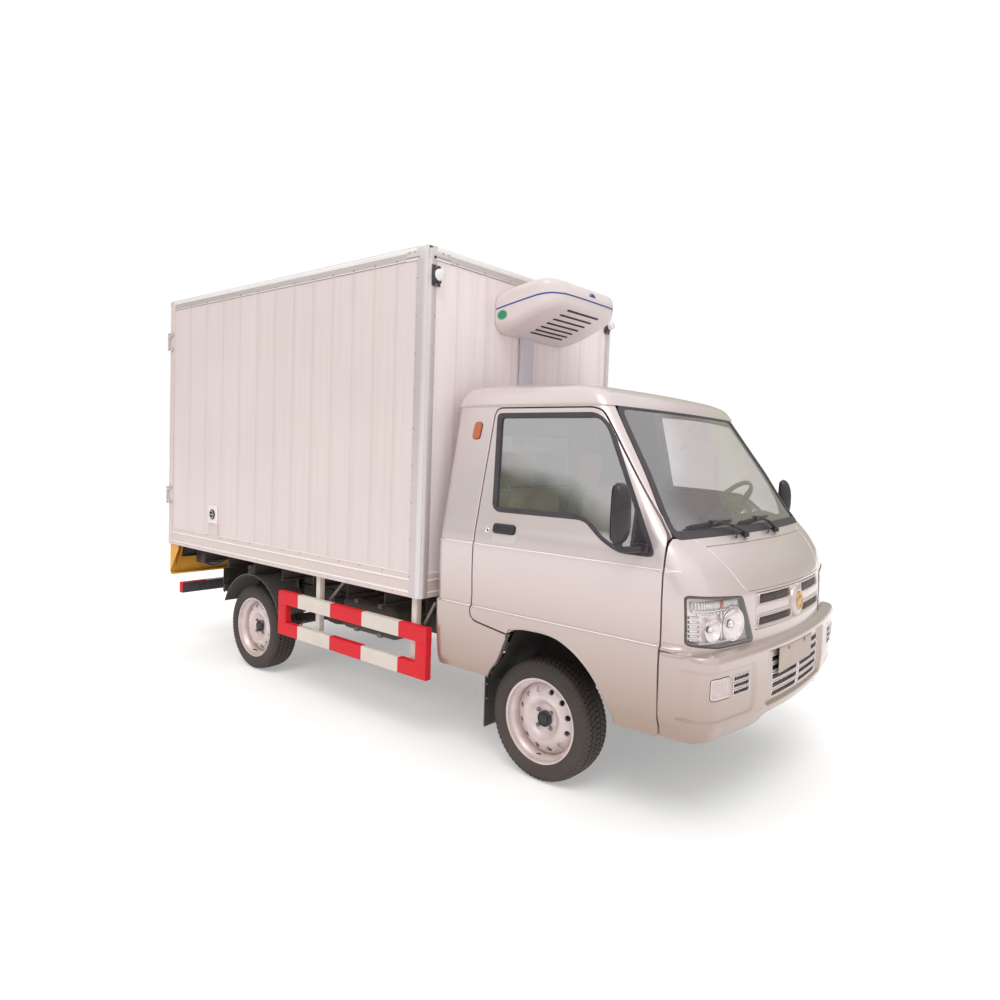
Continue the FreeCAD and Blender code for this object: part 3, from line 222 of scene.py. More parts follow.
def ribbed_panel(name, colour, axis, terms):
    """Gel-coat panel with a line at each rib, partly the joint's tint and partly painted flute shade: darker in
    the middle with a soft shaded band wider on one side (terms give the rib count along the axis).
    """
    m = Nodes(name, coat_weight=0.15, coat_roughness=0.2)
    where = m.add("ShaderNodeSeparateXYZ")
    m.link(m.coords(), where.inputs["Vector"])
    count = None
    for term in terms[::-1]:
        step = m.add("ShaderNodeMath", operation="MULTIPLY_ADD")
        step.inputs[0].default_value = 0.0
        if count is not None:
            m.link(count, step.inputs[0])
        m.link(where.outputs[axis], step.inputs[1])
        step.inputs[2].default_value = term + (50.5 if term is terms[0] else 0.0)
        count = step.outputs["Value"]
    turn = m.add("ShaderNodeMath", operation="FRACT")
    m.link(count, turn.inputs[0])
    # painted shade of the flute at each rib, with the joint's tint
    line = m.ramp(turn.outputs["Value"],
            [(0.0, (1.0, 1.0, 1.0)), (0.38, (1.0, 1.0, 1.0)), (0.46, (0.965, 0.94, 0.935)),
                                          (0.495, (0.90, 0.86, 0.85)), (0.51, (0.97, 0.95, 0.95)),
                                          (0.60, (0.985, 0.975, 0.97)), (0.72, (1.0, 1.0, 1.0))])
    streak = m.ramp(m.noise(3.2, 5, (14, 14, 0.35)), [(0.25, (0.95, 0.93, 0.925)), (0.6, (1.0, 1.0, 1.0))])
    patches = m.ramp(m.noise(1.4, 4), [(0.3, shade(colour, 0.975)), (0.7, shade(colour, 1.02))])
    for layer in (line, streak):
        blend = m.add("ShaderNodeMix", data_type="RGBA", blend_type="MULTIPLY")
        blend.inputs["Factor"].default_value = 1.0
        m.link(patches, blend.inputs["A"])
        m.link(layer, blend.inputs["B"])
        patches = blend.outputs["Result"]
    m.colour(patches)
    m.rough(m.noise(1.4, 4), 0.42, 0.52)
    m.bump(m.noise(14, 3, (3, 3, 0.4)), 0.04, 0.002)
    return m.material


MATERIALS = {}
# one gel coat in two copies: painted darker on the side walls and lighter on the front wall, as the light falls
SIDE_COAT_SHADED, FRONT_COAT_LIT = (0.69, 0.60, 0.59), (0.85, 0.765, 0.76)
SIDE_RIBS = (9.164, 5.636, 0.3375)         # ribs counted along x: constant, per metre, per metre squared
FRONT_RIBS = (2.778, 4.525)                # ribs counted along y


def finishes():
    # the second colour is the lower body's painted ground reflection and shade, not a second paint
    champagne, champagne_low_reflection = (0.76, 0.66, 0.655), (0.34, 0.235, 0.18)
    MATERIALS.update({
        "paint": car_paint("champagne_paint", champagne, champagne_low_reflection),
        # near-black painted shade for linings, slot and keyhole insides and the backs of openings; the wheel
        # liners take it as their own black
        "seam": mottled("seam_shadow", (0.03, 0.027, 0.025), rough=(0.7, 0.8)),
        "rubber": mottled("black_rubber", (0.050, 0.042, 0.050), 0.2, 30, (0.45, 0.6), 0.15, 500),
        "plastic": mottled("black_plastic", (0.030, 0.025, 0.031), 0.2, 20, (0.32, 0.42), 0.1, 900),
        "tyre": dusty("tyre_rubber", (0.038, 0.029, 0.026), (0.085, 0.063, 0.054), 0.6, (0.62, 0.8), 0.25),
        "rim": dusty("rim_silver", (0.72, 0.62, 0.62), (0.54, 0.43, 0.39), 0.5, (0.34, 0.46), 0.05,
                     metallic=0.35),
        "chassis": dusty("chassis_black", (0.022, 0.020, 0.019), (0.12, 0.095, 0.075), 0.9, (0.45, 0.65)),
        "guard_edge": mottled("mudguard_grey", (0.075, 0.068, 0.066), 0.15, 12, (0.5, 0.65), 0.12, 300),
        "steel": mottled("dull_steel", (0.22, 0.19, 0.17), 0.2, 18, (0.45, 0.6), 0.15, 200, metallic=0.7),
        "box": ribbed_panel("box_side_coat_shaded", SIDE_COAT_SHADED, "X", SIDE_RIBS),
        "box_front": ribbed_panel("box_front_coat_lit", FRONT_COAT_LIT, "Y", FRONT_RIBS),
        "box_plain": mottled("gel_coat_plain", (0.79, 0.71, 0.68), 0.025, 1.4, (0.42, 0.5), 0.05, 14),
        "alloy": mottled("rail_aluminium", (0.60, 0.53, 0.535), 0.04, 9, (0.36, 0.46), 0.08, 260,
                         stretch=(1, 1, 12), metallic=0.35),
        "bead": mottled("post_bead", (0.68, 0.63, 0.65), 0.03, 5, (0.28, 0.36), 0.04, 300,
                        stretch=(1, 1, 0.2), metallic=0.2),
        "rail": mottled("rail_anodised", (0.66, 0.55, 0.53), 0.03, 5, (0.42, 0.52), 0.06, 300,
                        stretch=(1, 1, 12), metallic=0.15),
        "bright_rail": mottled("rail_bright", (0.84, 0.80, 0.79), 0.03, 5, (0.30, 0.4), 0.06, 300,
                               metallic=0.1),
        "unit": mottled("unit_white", (0.70, 0.62, 0.61), 0.03, 3, (0.30, 0.38), 0.04, 500,
                        coat_weight=0.2),
        # pale bluish grey, darker than the box coat: painted shade on the duct cover
        "duct": mottled("duct_cover_shaded", (0.62, 0.58, 0.65), 0.04, 4, (0.5, 0.6), 0.05, 300),
        "blue": mottled("stripe_blue", (0.035, 0.06, 0.32), 0.08, 8, (0.3, 0.4)),
        "green": mottled("sticker_green", (0.02, 0.28, 0.12), 0.08, 8, (0.35, 0.45)),
        "red": mottled("guard_red", (0.65, 0.003, 0.014), 0.05, 7, (0.55, 0.66), 0.06, 300),
        "white": mottled("guard_white", (0.66, 0.585, 0.53), 0.05, 7, (0.5, 0.62), 0.06, 300),
        "yellow": mottled("apron_yellow", (0.70, 0.34, 0.03), 0.08, 6, (0.36, 0.5), 0.06, 240),
        "chrome": mottled("bright_chrome", (0.82, 0.80, 0.80), 0.03, 9, (0.06, 0.12), metallic=1.0),
        "mirror": mottled("reflector_chrome", (0.85, 0.84, 0.83), 0.03, 9, (0.10, 0.16), metallic=1.0),
        "amber": mottled("amber_lens", (0.50, 0.115, 0.03), 0.06, 30, (0.15, 0.25), coat_weight=0.6),
        "red_lens": mottled("red_lens", (0.50, 0.012, 0.02), 0.06, 30, (0.12, 0.2), coat_weight=0.6),
        "white_lens": mottled("white_lens", (0.80, 0.79, 0.78), 0.04, 30, (0.15, 0.25), coat_weight=0.6),
        "brass": mottled("emblem_gold", (0.62, 0.38, 0.20), 0.1, 30, (0.2, 0.3), metallic=0.9),
        "satin": mottled("satin_chrome", (0.72, 0.69, 0.70), 0.05, 20, (0.22, 0.3), metallic=0.8),
        "bowl": mottled("lamp_bowl", (0.95, 0.87, 0.88), 0.05, 40, (0.14, 0.26), 0.15, 180, metallic=0.35),
        # near-white painted highlight for the lines along creases and shut lines
        "crease": mottled("painted_edge_highlight", (0.95, 0.90, 0.89), 0.02, 5, (0.3, 0.4), metallic=0.2),
        "mesh": mottled("grille_mesh", (0.17, 0.14, 0.13), 0.15, 30, (0.4, 0.5)),
        "gasket": mottled("lamp_gasket", (0.085, 0.060, 0.055), 0.1, 30, (0.5, 0.6)),
        "slot": mottled("slot_shadow", (0.30, 0.25, 0.235), 0.1, 9, (0.6, 0.7)),
        "line": mottled("rail_shadow", (0.30, 0.23, 0.22), 0.08, 9, (0.6, 0.7)),
        "rivet": mottled("rivet_grey", (0.40, 0.34, 0.34), 0.1, 30, (0.4, 0.5), metallic=0.4),
        "fog": mottled("fog_lens", (0.60, 0.50, 0.49), 0.06, 40, (0.12, 0.2), coat_weight=0.8),
        # paint colour darkened: painted shade of the handle's recess
        "dish": mottled("handle_recess_shade", (0.60, 0.55, 0.54), 0.04, 12, (0.35, 0.45), metallic=0.2),
        "interior": mottled("interior_grey", (0.20, 0.185, 0.175), 0.08, 12, (0.55, 0.7), 0.3, 700),
        "floor_mat": mottled("floor_mat", (0.045, 0.042, 0.04), 0.2, 25, (0.75, 0.9), 0.4, 350),
        "glass": glass("side_glass", (0.80, 0.76, 0.79), 0.06, 4.4),
        "back_glass": glass("rear_glass", (0.26, 0.25, 0.26), 0.10, 1.6),
        "screen": glass("windshield_glass", (0.74, 0.70, 0.71), 0.12, 2.6),
        "lens": glass("lamp_lens", (0.99, 0.96, 0.96), 0.03, 1.55),
        "plate": mottled("plate_blank", (0.47, 0.385, 0.34), 0.06, 10, (0.45, 0.55), metallic=0.2),
    })
    MATERIALS["fabric"] = woven("seat_fabric", (0.50, 0.33, 0.20), (0.40, 0.25, 0.15))


def woven(name, warp, weft):
    """Plain weave: two crossed waves over a soft colour change."""
    m = Nodes(name, roughness=0.85, sheen_weight=0.3)
    waves = []
    for axis in ("X", "Z"):
        wave = m.add("ShaderNodeTexWave", Scale=160.0, Distortion=0.6)
        wave.bands_direction = axis
        m.link(m.coords(), wave.inputs["Vector"])
        waves.append(wave.outputs["Fac"])
    both = m.add("ShaderNodeMath", operation="MULTIPLY")
    m.link(waves[0], both.inputs[0])
    m.link(waves[1], both.inputs[1])
    m.colour(m.ramp(both.outputs["Value"], [(0.0, weft), (1.0, warp)]))
    m.bump(both.outputs["Value"], 0.4, 0.001)
    return m.material


# ---------------------------------------------------------------- mesh building

class Shape:
    """Vertices and faces with a finish for each face, made into one piece at the end."""

    def __init__(self):
        self.points, self.faces, self.finish, self.smooth = [], [], [], []
        self.normals = {}

    def add(self, points, faces, finish, smooth=True, normals=None):
        start = len(self.points)
        self.points.extend(tuple(p) for p in points)
        self.faces.extend(tuple(start + i for i in face) for face in faces)
        self.finish.extend([finish] * len(faces))
        self.smooth.extend([smooth] * len(faces))
        if normals is not None:
            self.normals.update({start + i: tuple(n) for i, n in enumerate(normals) if n is not None})

    def join(self, other, move=Matrix.Identity(4)):
        flip = move.determinant() < 0
        start = len(self.points)
        self.points.extend(tuple(move @ Vector(p)) for p in other.points)
        self.faces.extend(tuple(start + i for i in (reversed(face) if flip else face))
                          for face in other.faces)
        self.finish.extend(other.finish)
        self.smooth.extend(other.smooth)
        turn = move.to_3x3()
        self.normals.update({start + i: tuple((turn @ Vector(n)).normalized())
                             for i, n in other.normals.items()})

    def make(self, name, body, slot=None, replaces=(), sharp=35):
        mesh = bpy.data.meshes.new(name)
        mesh.from_pydata(self.points, [], self.faces)
        used = sorted(set(self.finish))
        for finish in used:
            mesh.materials.append(MATERIALS[finish])
        mesh.polygons.foreach_set("material_index", [used.index(f) for f in self.finish])
        mesh.polygons.foreach_set("use_smooth", self.smooth)
        if sharp:
            mark_sharp(mesh, sharp)
        mesh.validate()
        if self.normals and len(mesh.vertices) == len(self.points):
            own = np.zeros((len(mesh.vertices), 3))
            for index, normal in self.normals.items():
                own[index] = normal
            mesh.normals_split_custom_set_from_vertices(own.tolist())
        piece = bpy.data.objects.new(name, mesh)
        bpy.context.scene.collection.objects.link(piece)
        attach(piece, body)
        if replaces:
            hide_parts(*([replaces] if isinstance(replaces, str) else replaces))
        return piece


def mark_sharp(mesh, degrees):
    """Edges sharper than an angle shade as edges."""
    work = bmesh.new()
    work.from_mesh(mesh)
    limit = math.radians(degrees)
    for edge in work.edges:
        edge.smooth = len(edge.link_faces) == 2 and edge.calc_face_angle(0) < limit
    work.to_mesh(mesh)
    work.free()


def from_bmesh(work, finish, smooth=True):
    shape = Shape()
    work.verts.ensure_lookup_table()
    work.verts.index_update()
    shape.add([v.co for v in work.verts], [[v.index for v in f.verts] for f in work.faces], finish, smooth)
    work.free()
    return shape


def block(low, high, finish, edge=0.004, segments=2):
    """A block with rounded edges."""
    work = bmesh.new()
    bmesh.ops.create_cube(work, size=1)
    low, high = Vector(low), Vector(high)
    span, centre = high - low, (low + high) / 2
    for vertex in work.verts:
        vertex.co = Vector(a * b for a, b in zip(vertex.co, span)) + centre
    edge = min(edge, *(abs(s) * 0.45 for s in span))
    if edge > 0:
        bmesh.ops.bevel(work, geom=work.edges[:], offset=edge, segments=segments, profile=0.5,
                        affect="EDGES")
    return from_bmesh(work, finish)


def lathe(profile, finish, steps=48, axis="Y", centre=(0, 0, 0), smooth=True):
    """Turn (radius, along) points about an axis; finish may be one per band."""
    bands = [finish] * (len(profile) - 1) if isinstance(finish, str) else finish
    shape = Shape()
    turn = {"Y": Matrix.Identity(3), "Z": Matrix.Rotation(math.pi / 2, 3, "X"),
            "X": Matrix.Rotation(-math.pi / 2, 3, "Z")}[axis]
    rings = []
    for radius, along in profile:
        ring = [Vector((radius * math.cos(a), along, radius * math.sin(a)))
                for a in (2 * math.pi * i / steps for i in range(steps))]
        rings.append([turn @ p + Vector(centre) for p in ring])
    points = [p for ring in rings for p in ring]
    for band, name in enumerate(bands):
        faces = [(band * steps + i, band * steps + (i + 1) % steps,
                  (band + 1) * steps + (i + 1) % steps, (band + 1) * steps + i) for i in range(steps)]
        shape.faces.extend(faces)
        shape.finish.extend([name] * steps)
        shape.smooth.extend([smooth] * steps)
    shape.points = [tuple(p) for p in points]
    return shape


def tube(path, radius, finish, sides=10, closed=False, flat=1.0):
    """A round or oval bar along a list of points."""
    shape = Shape()
    path = [Vector(p) for p in path]
    count = len(path)
    rings = []
    up = Vector((0, 0, 1))
    for i, p in enumerate(path):
        before = path[(i - 1) % count] if (closed or i > 0) else p
        after = path[(i + 1) % count] if (closed or i < count - 1) else p
        along = (after - before).normalized()
        side = along.cross(up)
        if side.length < 1e-3:
            side = along.cross(Vector((1, 0, 0)))
        side.normalize()
        over = side.cross(along).normalized()
        rings.append([p + side * radius * math.cos(a) + over * radius * flat * math.sin(a)
                      for a in (2 * math.pi * k / sides for k in range(sides))])
    points = [p for ring in rings for p in ring]
    faces = []
    for i in range(count if closed else count - 1):
        j = (i + 1) % count
        for k in range(sides):
            m = (k + 1) % sides
            faces.append((i * sides + k, j * sides + k, j * sides + m, i * sides + m))
    if not closed:
        faces.append(tuple(range(sides)))
        faces.append(tuple(reversed(range((count - 1) * sides, count * sides))))
    shape.add(points, faces, finish)
    return shape


# ---------------------------------------------------------------- the cab's skin

# Height above the cab's base, then: side inset, nose ahead of the front axle, sweep of the nose
# in plan, corner radius, inset of the back.
CAB_LEVELS = (
    (0.000, 0.016, 0.868, 2.70, 0.150, 0.000), (0.055, 0.002, 0.872, 2.70, 0.160, 0.000),
    (0.335, 0.000, 0.875, 2.70, 0.160, 0.000), (0.505, 0.001, 0.864, 2.70, 0.150, 0.000),
    (0.585, 0.001, 0.835, 2.80, 0.140, 0.000), (0.660, 0.006, 0.776, 3.30, 0.110, 0.000),
    (0.725, 0.019, 0.697, 4.20, 0.060, 0.000), (1.000, 0.069, 0.501, 4.30, 0.060, 0.002),
    (1.275, 0.118, 0.305, 4.40, 0.060, 0.004), (1.320, 0.128, 0.276, 4.40, 0.060, 0.006),
    (1.358, 0.158, 0.190, 4.40, 0.080, 0.012), (1.384, 0.260, 0.020, 4.40, 0.100, 0.060),
    (1.405, 0.430, -0.210, 4.40, 0.140, 0.160))
BUMPER_LEVELS = (
    (-0.040, 0.022, 0.868, 3.20, 0.100, 0.0), (0.000, 0.016, 0.885, 3.30, 0.095, 0.0),
    (0.050, 0.000, 0.903, 3.40, 0.100, 0.0), (0.140, -0.001, 0.910, 3.60, 0.100, 0.0),
    (0.275, -0.001, 0.908, 3.60, 0.095, 0.0), (0.310, 0.000, 0.894, 3.50, 0.095, 0.0))
CAB_HALF = 0.782
CAB_REACH = FRONT_AXLE - CAB_BACK          # from the front axle back to the cab's back
REAR_CORNER = 0.045


def eased(levels, heights):
    """Columns of a table at any heights, without overshoot."""
    table = np.array(levels)
    x, y = table[:, 0], table[:, 1:]
    h = np.diff(x)
    slope = np.diff(y, axis=0) / h[:, None]
    m = np.zeros_like(y)
    for k in range(1, len(x) - 1):
        a, b = slope[k - 1], slope[k]
        w1, w2 = 2 * h[k] + h[k - 1], h[k] + 2 * h[k - 1]
        with np.errstate(divide="ignore", invalid="ignore"):
            m[k] = np.where(a * b > 0, (w1 + w2) / (w1 / a + w2 / b), 0)
    m[0], m[-1] = slope[0], slope[-1]
    z = np.clip(heights, x[0], x[-1])
    k = np.clip(np.searchsorted(x, z, side="right") - 1, 0, len(x) - 2)
    t = ((z - x[k]) / h[k])[:, None]
    return ((2 * t ** 3 - 3 * t ** 2 + 1) * y[k] + (t ** 3 - 2 * t ** 2 + t) * h[k][:, None] * m[k]
            + (-2 * t ** 3 + 3 * t ** 2) * y[k + 1] + (t ** 3 - t ** 2) * h[k][:, None] * m[k + 1])


class Skin:
    """A swept shell: s runs round the plan from the middle of the nose, z is height."""

    def __init__(self, levels, relief=None):
        self.levels, self.relief = levels, relief

    def section(self, z):
        inset, nose, sweep, corner, back = eased(self.levels, np.asarray(z, float) - CAB_BASE).T
        half = CAB_HALF - inset
        centre = nose - sweep
        corner_y = half - corner
        corner_x = centre + np.sqrt((sweep - corner) ** 2 - corner_y ** 2)
        turn = np.arctan2(corner_y, corner_x - centre)
        s_nose = sweep * turn
        s_corner = s_nose + corner * (math.pi / 2 - turn)
        rear = -CAB_REACH + back
        s_side = s_corner + (corner_x - (rear + REAR_CORNER))
        return half, centre, sweep, corner, corner_x, corner_y, turn, s_nose, s_corner, s_side, rear

    def flat(self, s, z):
        """Points on the bare skin."""
        s, z = np.broadcast_arrays(np.asarray(s, float), np.asarray(z, float))
        (half, centre, sweep, corner, corner_x, corner_y, turn,
         s_nose, s_corner, s_side, rear) = self.section(z.ravel())
        a, side = np.abs(s.ravel()), np.where(s.ravel() < 0, -1.0, 1.0)
        angle = np.minimum(a, s_nose) / sweep
        x, y = centre + sweep * np.cos(angle), sweep * np.sin(angle)
        bend = turn + np.clip(a - s_nose, 0, s_corner - s_nose) / corner
        in_corner = a > s_nose
        x = np.where(in_corner, corner_x + corner * np.cos(bend), x)
        y = np.where(in_corner, corner_y + corner * np.sin(bend), y)
        along = np.clip(a - s_corner, 0, s_side - s_corner)
        on_side = a > s_corner
        x = np.where(on_side, corner_x - along, x)
        y = np.where(on_side, half, y)
        quarter = REAR_CORNER * math.pi / 2
        bend = np.clip(a - s_side, 0, quarter) / REAR_CORNER
        at_back = a > s_side
        x = np.where(at_back, rear + REAR_CORNER * (1 - np.sin(bend)), x)
        y = np.where(at_back, half - REAR_CORNER * (1 - np.cos(bend)), y)
        y = y - np.maximum(a - s_side - quarter, 0)
        return np.stack([x + FRONT_AXLE, y * side, z.ravel()], axis=1)

    def normal_of(self, place, s, z):
        e = 0.0008
        ds = place(s + e, z) - place(s - e, z)
        dz = place(s, z + e) - place(s, z - e)
        n = np.cross(ds, dz)
        return n / np.linalg.norm(n, axis=1)[:, None]

    def carved(self, s, z):
        """Points on the skin with its creases."""
        base = self.flat(s, z)
        if self.relief is None:
            return base
        return base + self.normal_of(self.flat, s, z) * self.relief(base)[:, None]

    def point(self, s, z, lift=0.0):
        s, z = (np.atleast_1d(np.asarray(v, float)) for v in (s, z))
        n = self.normal_of(self.carved, s, z)
        return self.carved(s, z) + n * np.reshape(lift, (-1, 1)), n

    def s_at(self, value, z, by):
        """The s where the skin's x (ahead of the axle) or |y| has a value, at each height."""
        value, z = (np.atleast_1d(np.asarray(v, float)) for v in (value, z))
        value = np.broadcast_to(value, z.shape)
        section = self.section(z)
        low = np.zeros_like(z)
        high = section[9] if by == "x" else section[8]
        for _ in range(48):
            mid = (low + high) / 2
            p = self.flat(mid, z)
            beyond = (p[:, 0] - FRONT_AXLE < value) if by == "x" else (p[:, 1] > value)
            low, high = np.where(beyond, low, mid), np.where(beyond, mid, high)
        return (low + high) / 2

    def side(self, corners, side, soft=0.0):
        """An outline drawn on the side, as (x ahead of the axle, z) in millimetres."""
        points = np.array(dense(softened(corners, soft))) / 1000
        s = self.s_at(points[:, 0], points[:, 1], "x") * side
        return ordered(list(zip(s, points[:, 1])))

    def front(self, corners, soft=0.0):
        """An outline drawn on the front, as (y, z) in millimetres."""
        points = np.array(dense(softened(corners, soft))) / 1000
        s = self.s_at(np.abs(points[:, 0]), points[:, 1], "y") * np.sign(points[:, 0])
        return ordered(list(zip(s, points[:, 1])))


def softened(corners, radius, turns=5):
    """Corners of an outline rounded off; radius may be one for each corner."""
    if not np.any(radius):
        return list(corners)
    radii = np.broadcast_to(radius, len(corners))
    out = []
    for i, corner in enumerate(corners):
        p, a, b = (np.array(c, float) for c in (corner, corners[i - 1], corners[(i + 1) % len(corners)]))
        to_a, to_b = a - p, b - p
        la, lb = np.linalg.norm(to_a), np.linalg.norm(to_b)
        reach = min(radii[i], la * 0.45, lb * 0.45)
        start, end = p + to_a / la * reach, p + to_b / lb * reach
        for t in np.linspace(0, 1, turns):
            out.append(tuple((1 - t) ** 2 * start + 2 * t * (1 - t) * p + t ** 2 * end))
    return out


def dense(corners, step=12.0):
    """An outline with a point at least every step."""
    out = []
    for i, a in enumerate(corners):
        b = corners[(i + 1) % len(corners)]
        parts = max(1, int(math.dist(a, b) / step))
        out.extend((a[0] + (b[0] - a[0]) * k / parts, a[1] + (b[1] - a[1]) * k / parts)
                   for k in range(parts))
    return out


def area(outline):
    return sum(a[0] * b[1] - b[0] * a[1] for a, b in zip(outline, outline[1:] + outline[:1])) / 2


def ordered(outline):
    """The outline anticlockwise."""
    return outline if area(outline) > 0 else outline[::-1]


def moved_out(outline, distance):
    """An outline grown (or shrunk) by a distance, point by point."""
    points = np.array(outline)
    before, after = np.roll(points, 1, 0), np.roll(points, -1, 0)
    def across(d):
        d = d / np.maximum(np.linalg.norm(d, axis=1), 1e-9)[:, None]
        return np.stack([d[:, 1], -d[:, 0]], axis=1)
    n1, n2 = across(points - before), across(after - points)
    n = n1 + n2
    n /= np.maximum(np.linalg.norm(n, axis=1), 1e-6)[:, None]
    stretch = 1 / np.maximum((n * n1).sum(1), 0.5)
    return [tuple(p) for p in points + n * stretch[:, None] * distance]


def inside(points, outline):
    """Which points are inside an outline."""
    x, y = points[:, 0], points[:, 1]
    poly = np.array(outline)
    x1, y1 = poly[:, 0], poly[:, 1]
    x2, y2 = np.roll(x1, -1), np.roll(y1, -1)
    hit = np.zeros(len(points), bool)
    for a, b, c, d in zip(x1, y1, x2, y2):
        if b == d:
            continue
        crosses = ((b > y) != (d > y)) & (x < (c - a) * (y - b) / (d - b) + a)
        hit ^= crosses
    return hit


def near(points, loop, distance):
    """Which points are close to a loop's points."""
    loop = np.array(loop)
    close = np.zeros(len(points), bool)
    for start in range(0, len(points), 2000):
        part = points[start:start + 2000]
        d = np.linalg.norm(part[:, None, :] - loop[None, :, :], axis=2).min(1)
        close[start:start + 2000] = d < distance
    return close


def filled(loops, step, rows=()):
    """Triangles that fill the first loop less the others; returns points, triangles, loop indexes."""
    outer = np.array(loops[0])
    low, high = outer.min(0), outer.max(0)
    columns = np.arange(low[0] + step / 2, high[0], step)
    heights = np.arange(low[1] + step / 2, high[1], step)
    if len(rows):
        heights = np.array([h for h in heights if np.abs(np.array(rows) - h).min() > step * 0.3])
        heights = np.concatenate([heights, [r for r in rows if low[1] < r < high[1]]])
    grid = np.array([(x, y) for y in heights for x in columns]).reshape(-1, 2)
    keep = inside(grid, loops[0])
    for hole in loops[1:]:
        keep &= ~inside(grid, hole)
    grid = grid[keep]
    for loop in loops:
        grid = grid[~near(grid, loop, step * 0.42)]
    points, edges, starts = [], [], []
    for loop in loops:
        start = len(points)
        starts.append(range(start, start + len(loop)))
        points.extend(loop)
        edges.extend((start + i, start + (i + 1) % len(loop)) for i in range(len(loop)))
    points.extend(map(tuple, grid))
    verts, _, faces, origins, _, _ = delaunay_2d_cdt([Vector(p) for p in points], edges, [], 0, 1e-7)
    new = {old: i for i, olds in enumerate(origins) for old in olds}
    flat = np.array([tuple(v) for v in verts])
    triangles = np.array([f for f in faces if len(f) == 3])
    middles = flat[triangles].mean(1)
    keep = inside(middles, loops[0])
    for hole in loops[1:]:
        keep &= ~inside(middles, hole)
    return flat, triangles[keep], [[new[i] for i in loop] for loop in starts]


def sheet(skin, outline, finish, holes=(), depth=0.004, lift=0.0, edge=0.003, step=0.022, rows=(),
          edge_finish=None, lining=None, curl=3):
    """A panel that follows a skin, with rolled edges, a skirt of the given depth and a lining."""
    shape = Shape()
    loops = [ordered(list(outline))] + [ordered(list(h))[::-1] for h in holes]
    ring0 = [moved_out(loop, -edge) for loop in loops]
    flat, triangles, marks = filled(ring0, step, rows)
    p, n = skin.point(flat[:, 0], flat[:, 1], lift)
    shape.add(p, triangles.tolist(), finish, True, n)
    if lining is not None:
        q, m = skin.point(flat[:, 0], flat[:, 1], 0)
        drop = depth(q) if callable(depth) else depth
        q = q + m * (lift - np.reshape(drop, (-1, 1)))
        shape.add(q, triangles[:, ::-1].tolist(), lining, True, -m)
    for loop, inner, _ in zip(loops, ring0, marks):
        count = len(loop)
        outer_sz, inner_sz = np.array(loop), np.array(inner)
        base, base_n = skin.point(inner_sz[:, 0], inner_sz[:, 1], lift)
        ahead, _ = skin.point(outer_sz[:, 0], outer_sz[:, 1], lift)
        out = ahead - base
        out -= base_n * (out * base_n).sum(1)[:, None]
        out /= np.maximum(np.linalg.norm(out, axis=1), 1e-9)[:, None]
        rings, normals = [base], [base_n]
        for k in range(1, curl + 1):
            a = math.pi / 2 * k / curl
            t = math.sin(a)
            sz = inner_sz + (outer_sz - inner_sz) * t
            q, m = skin.point(sz[:, 0], sz[:, 1], 0)
            rings.append(q + m * (lift - edge * (1 - math.cos(a))))
            normals.append(m * math.cos(a) + out * math.sin(a))
        q, m = skin.point(outer_sz[:, 0], outer_sz[:, 1], 0)
        drop = depth(q) if callable(depth) else np.full(count, depth)
        if np.max(drop) > edge:
            rings.append(q + m * (lift - np.reshape(drop, (-1, 1))))
            normals.append(out)
        points = np.concatenate(rings)
        faces = []
        for r in range(len(rings) - 1):
            for i in range(count):
                j = (i + 1) % count
                faces.append((r * count + i, (r + 1) * count + i, (r + 1) * count + j, r * count + j))
        names = [finish] * (curl * count) + [edge_finish or finish] * ((len(rings) - 1 - curl) * count)
        shape.add(points, faces, finish, True, np.concatenate(normals))
        shape.finish[-len(faces):] = names[:len(faces)]
    return shape


def strip(skin, outline, finish, wide, high, inward=0.0, below=0.0, sides=8):
    """A bead that runs round an outline on a skin."""
    loop = np.array(moved_out(ordered(list(outline)), -inward))
    p, n = skin.point(loop[:, 0], loop[:, 1], 0)
    out_loop = np.array(moved_out(ordered(list(outline)), -inward + 0.002))
    q, _ = skin.point(out_loop[:, 0], out_loop[:, 1], 0)
    side = q - p
    side -= n * (side * n).sum(1)[:, None]
    side /= np.linalg.norm(side, axis=1)[:, None]
    shape = Shape()
    count = len(loop)
    points, normals = [], []
    for k in range(sides):
        a = 2 * math.pi * k / sides
        points.append(p - n * below + side * wide / 2 * math.cos(a) + n * high / 2 * math.sin(a))
        normals.append(side * math.cos(a) + n * math.sin(a))
    faces = []
    for k in range(sides):
        m = (k + 1) % sides
        for i in range(count):
            j = (i + 1) % count
            faces.append((k * count + i, k * count + j, m * count + j, m * count + i))
    shape.add(np.concatenate(points), faces, finish, True, np.concatenate(normals))
    return shape


def ramp_step(value, start, end):
    """0 below start, 1 above end, eased between."""
    t = np.clip((value - start) / (end - start), 0, 1)
    return t * t * (3 - 2 * t)


def cab_relief(p):
    """Creases pressed into the cab's sides: a shoulder below the belt and the lower body's ledge."""
    x, y, z = p[:, 0] - FRONT_AXLE, np.abs(p[:, 1]), p[:, 2]
    on_side = ramp_step(y, 0.60, 0.70) * (1 - ramp_step(x, 0.66, 0.76))
    shoulder = 0.0048 * (1 - ramp_step(z, 1.042, 1.049)) * ramp_step(z, 0.79, 0.93)
    ledge = 0.0115 * (1 - ramp_step(z, 0.745, 0.754)) * ramp_step(z, 0.36, 0.70)
    return on_side * (shoulder + ledge)


CREASES = (0.738, 0.742, 0.745, 0.7475, 0.750, 0.752, 0.754, 0.758, 0.764, 1.034, 1.039, 1.042, 1.0445,
           1.047, 1.049, 1.053, 1.059)
CAB = Skin(CAB_LEVELS, cab_relief)

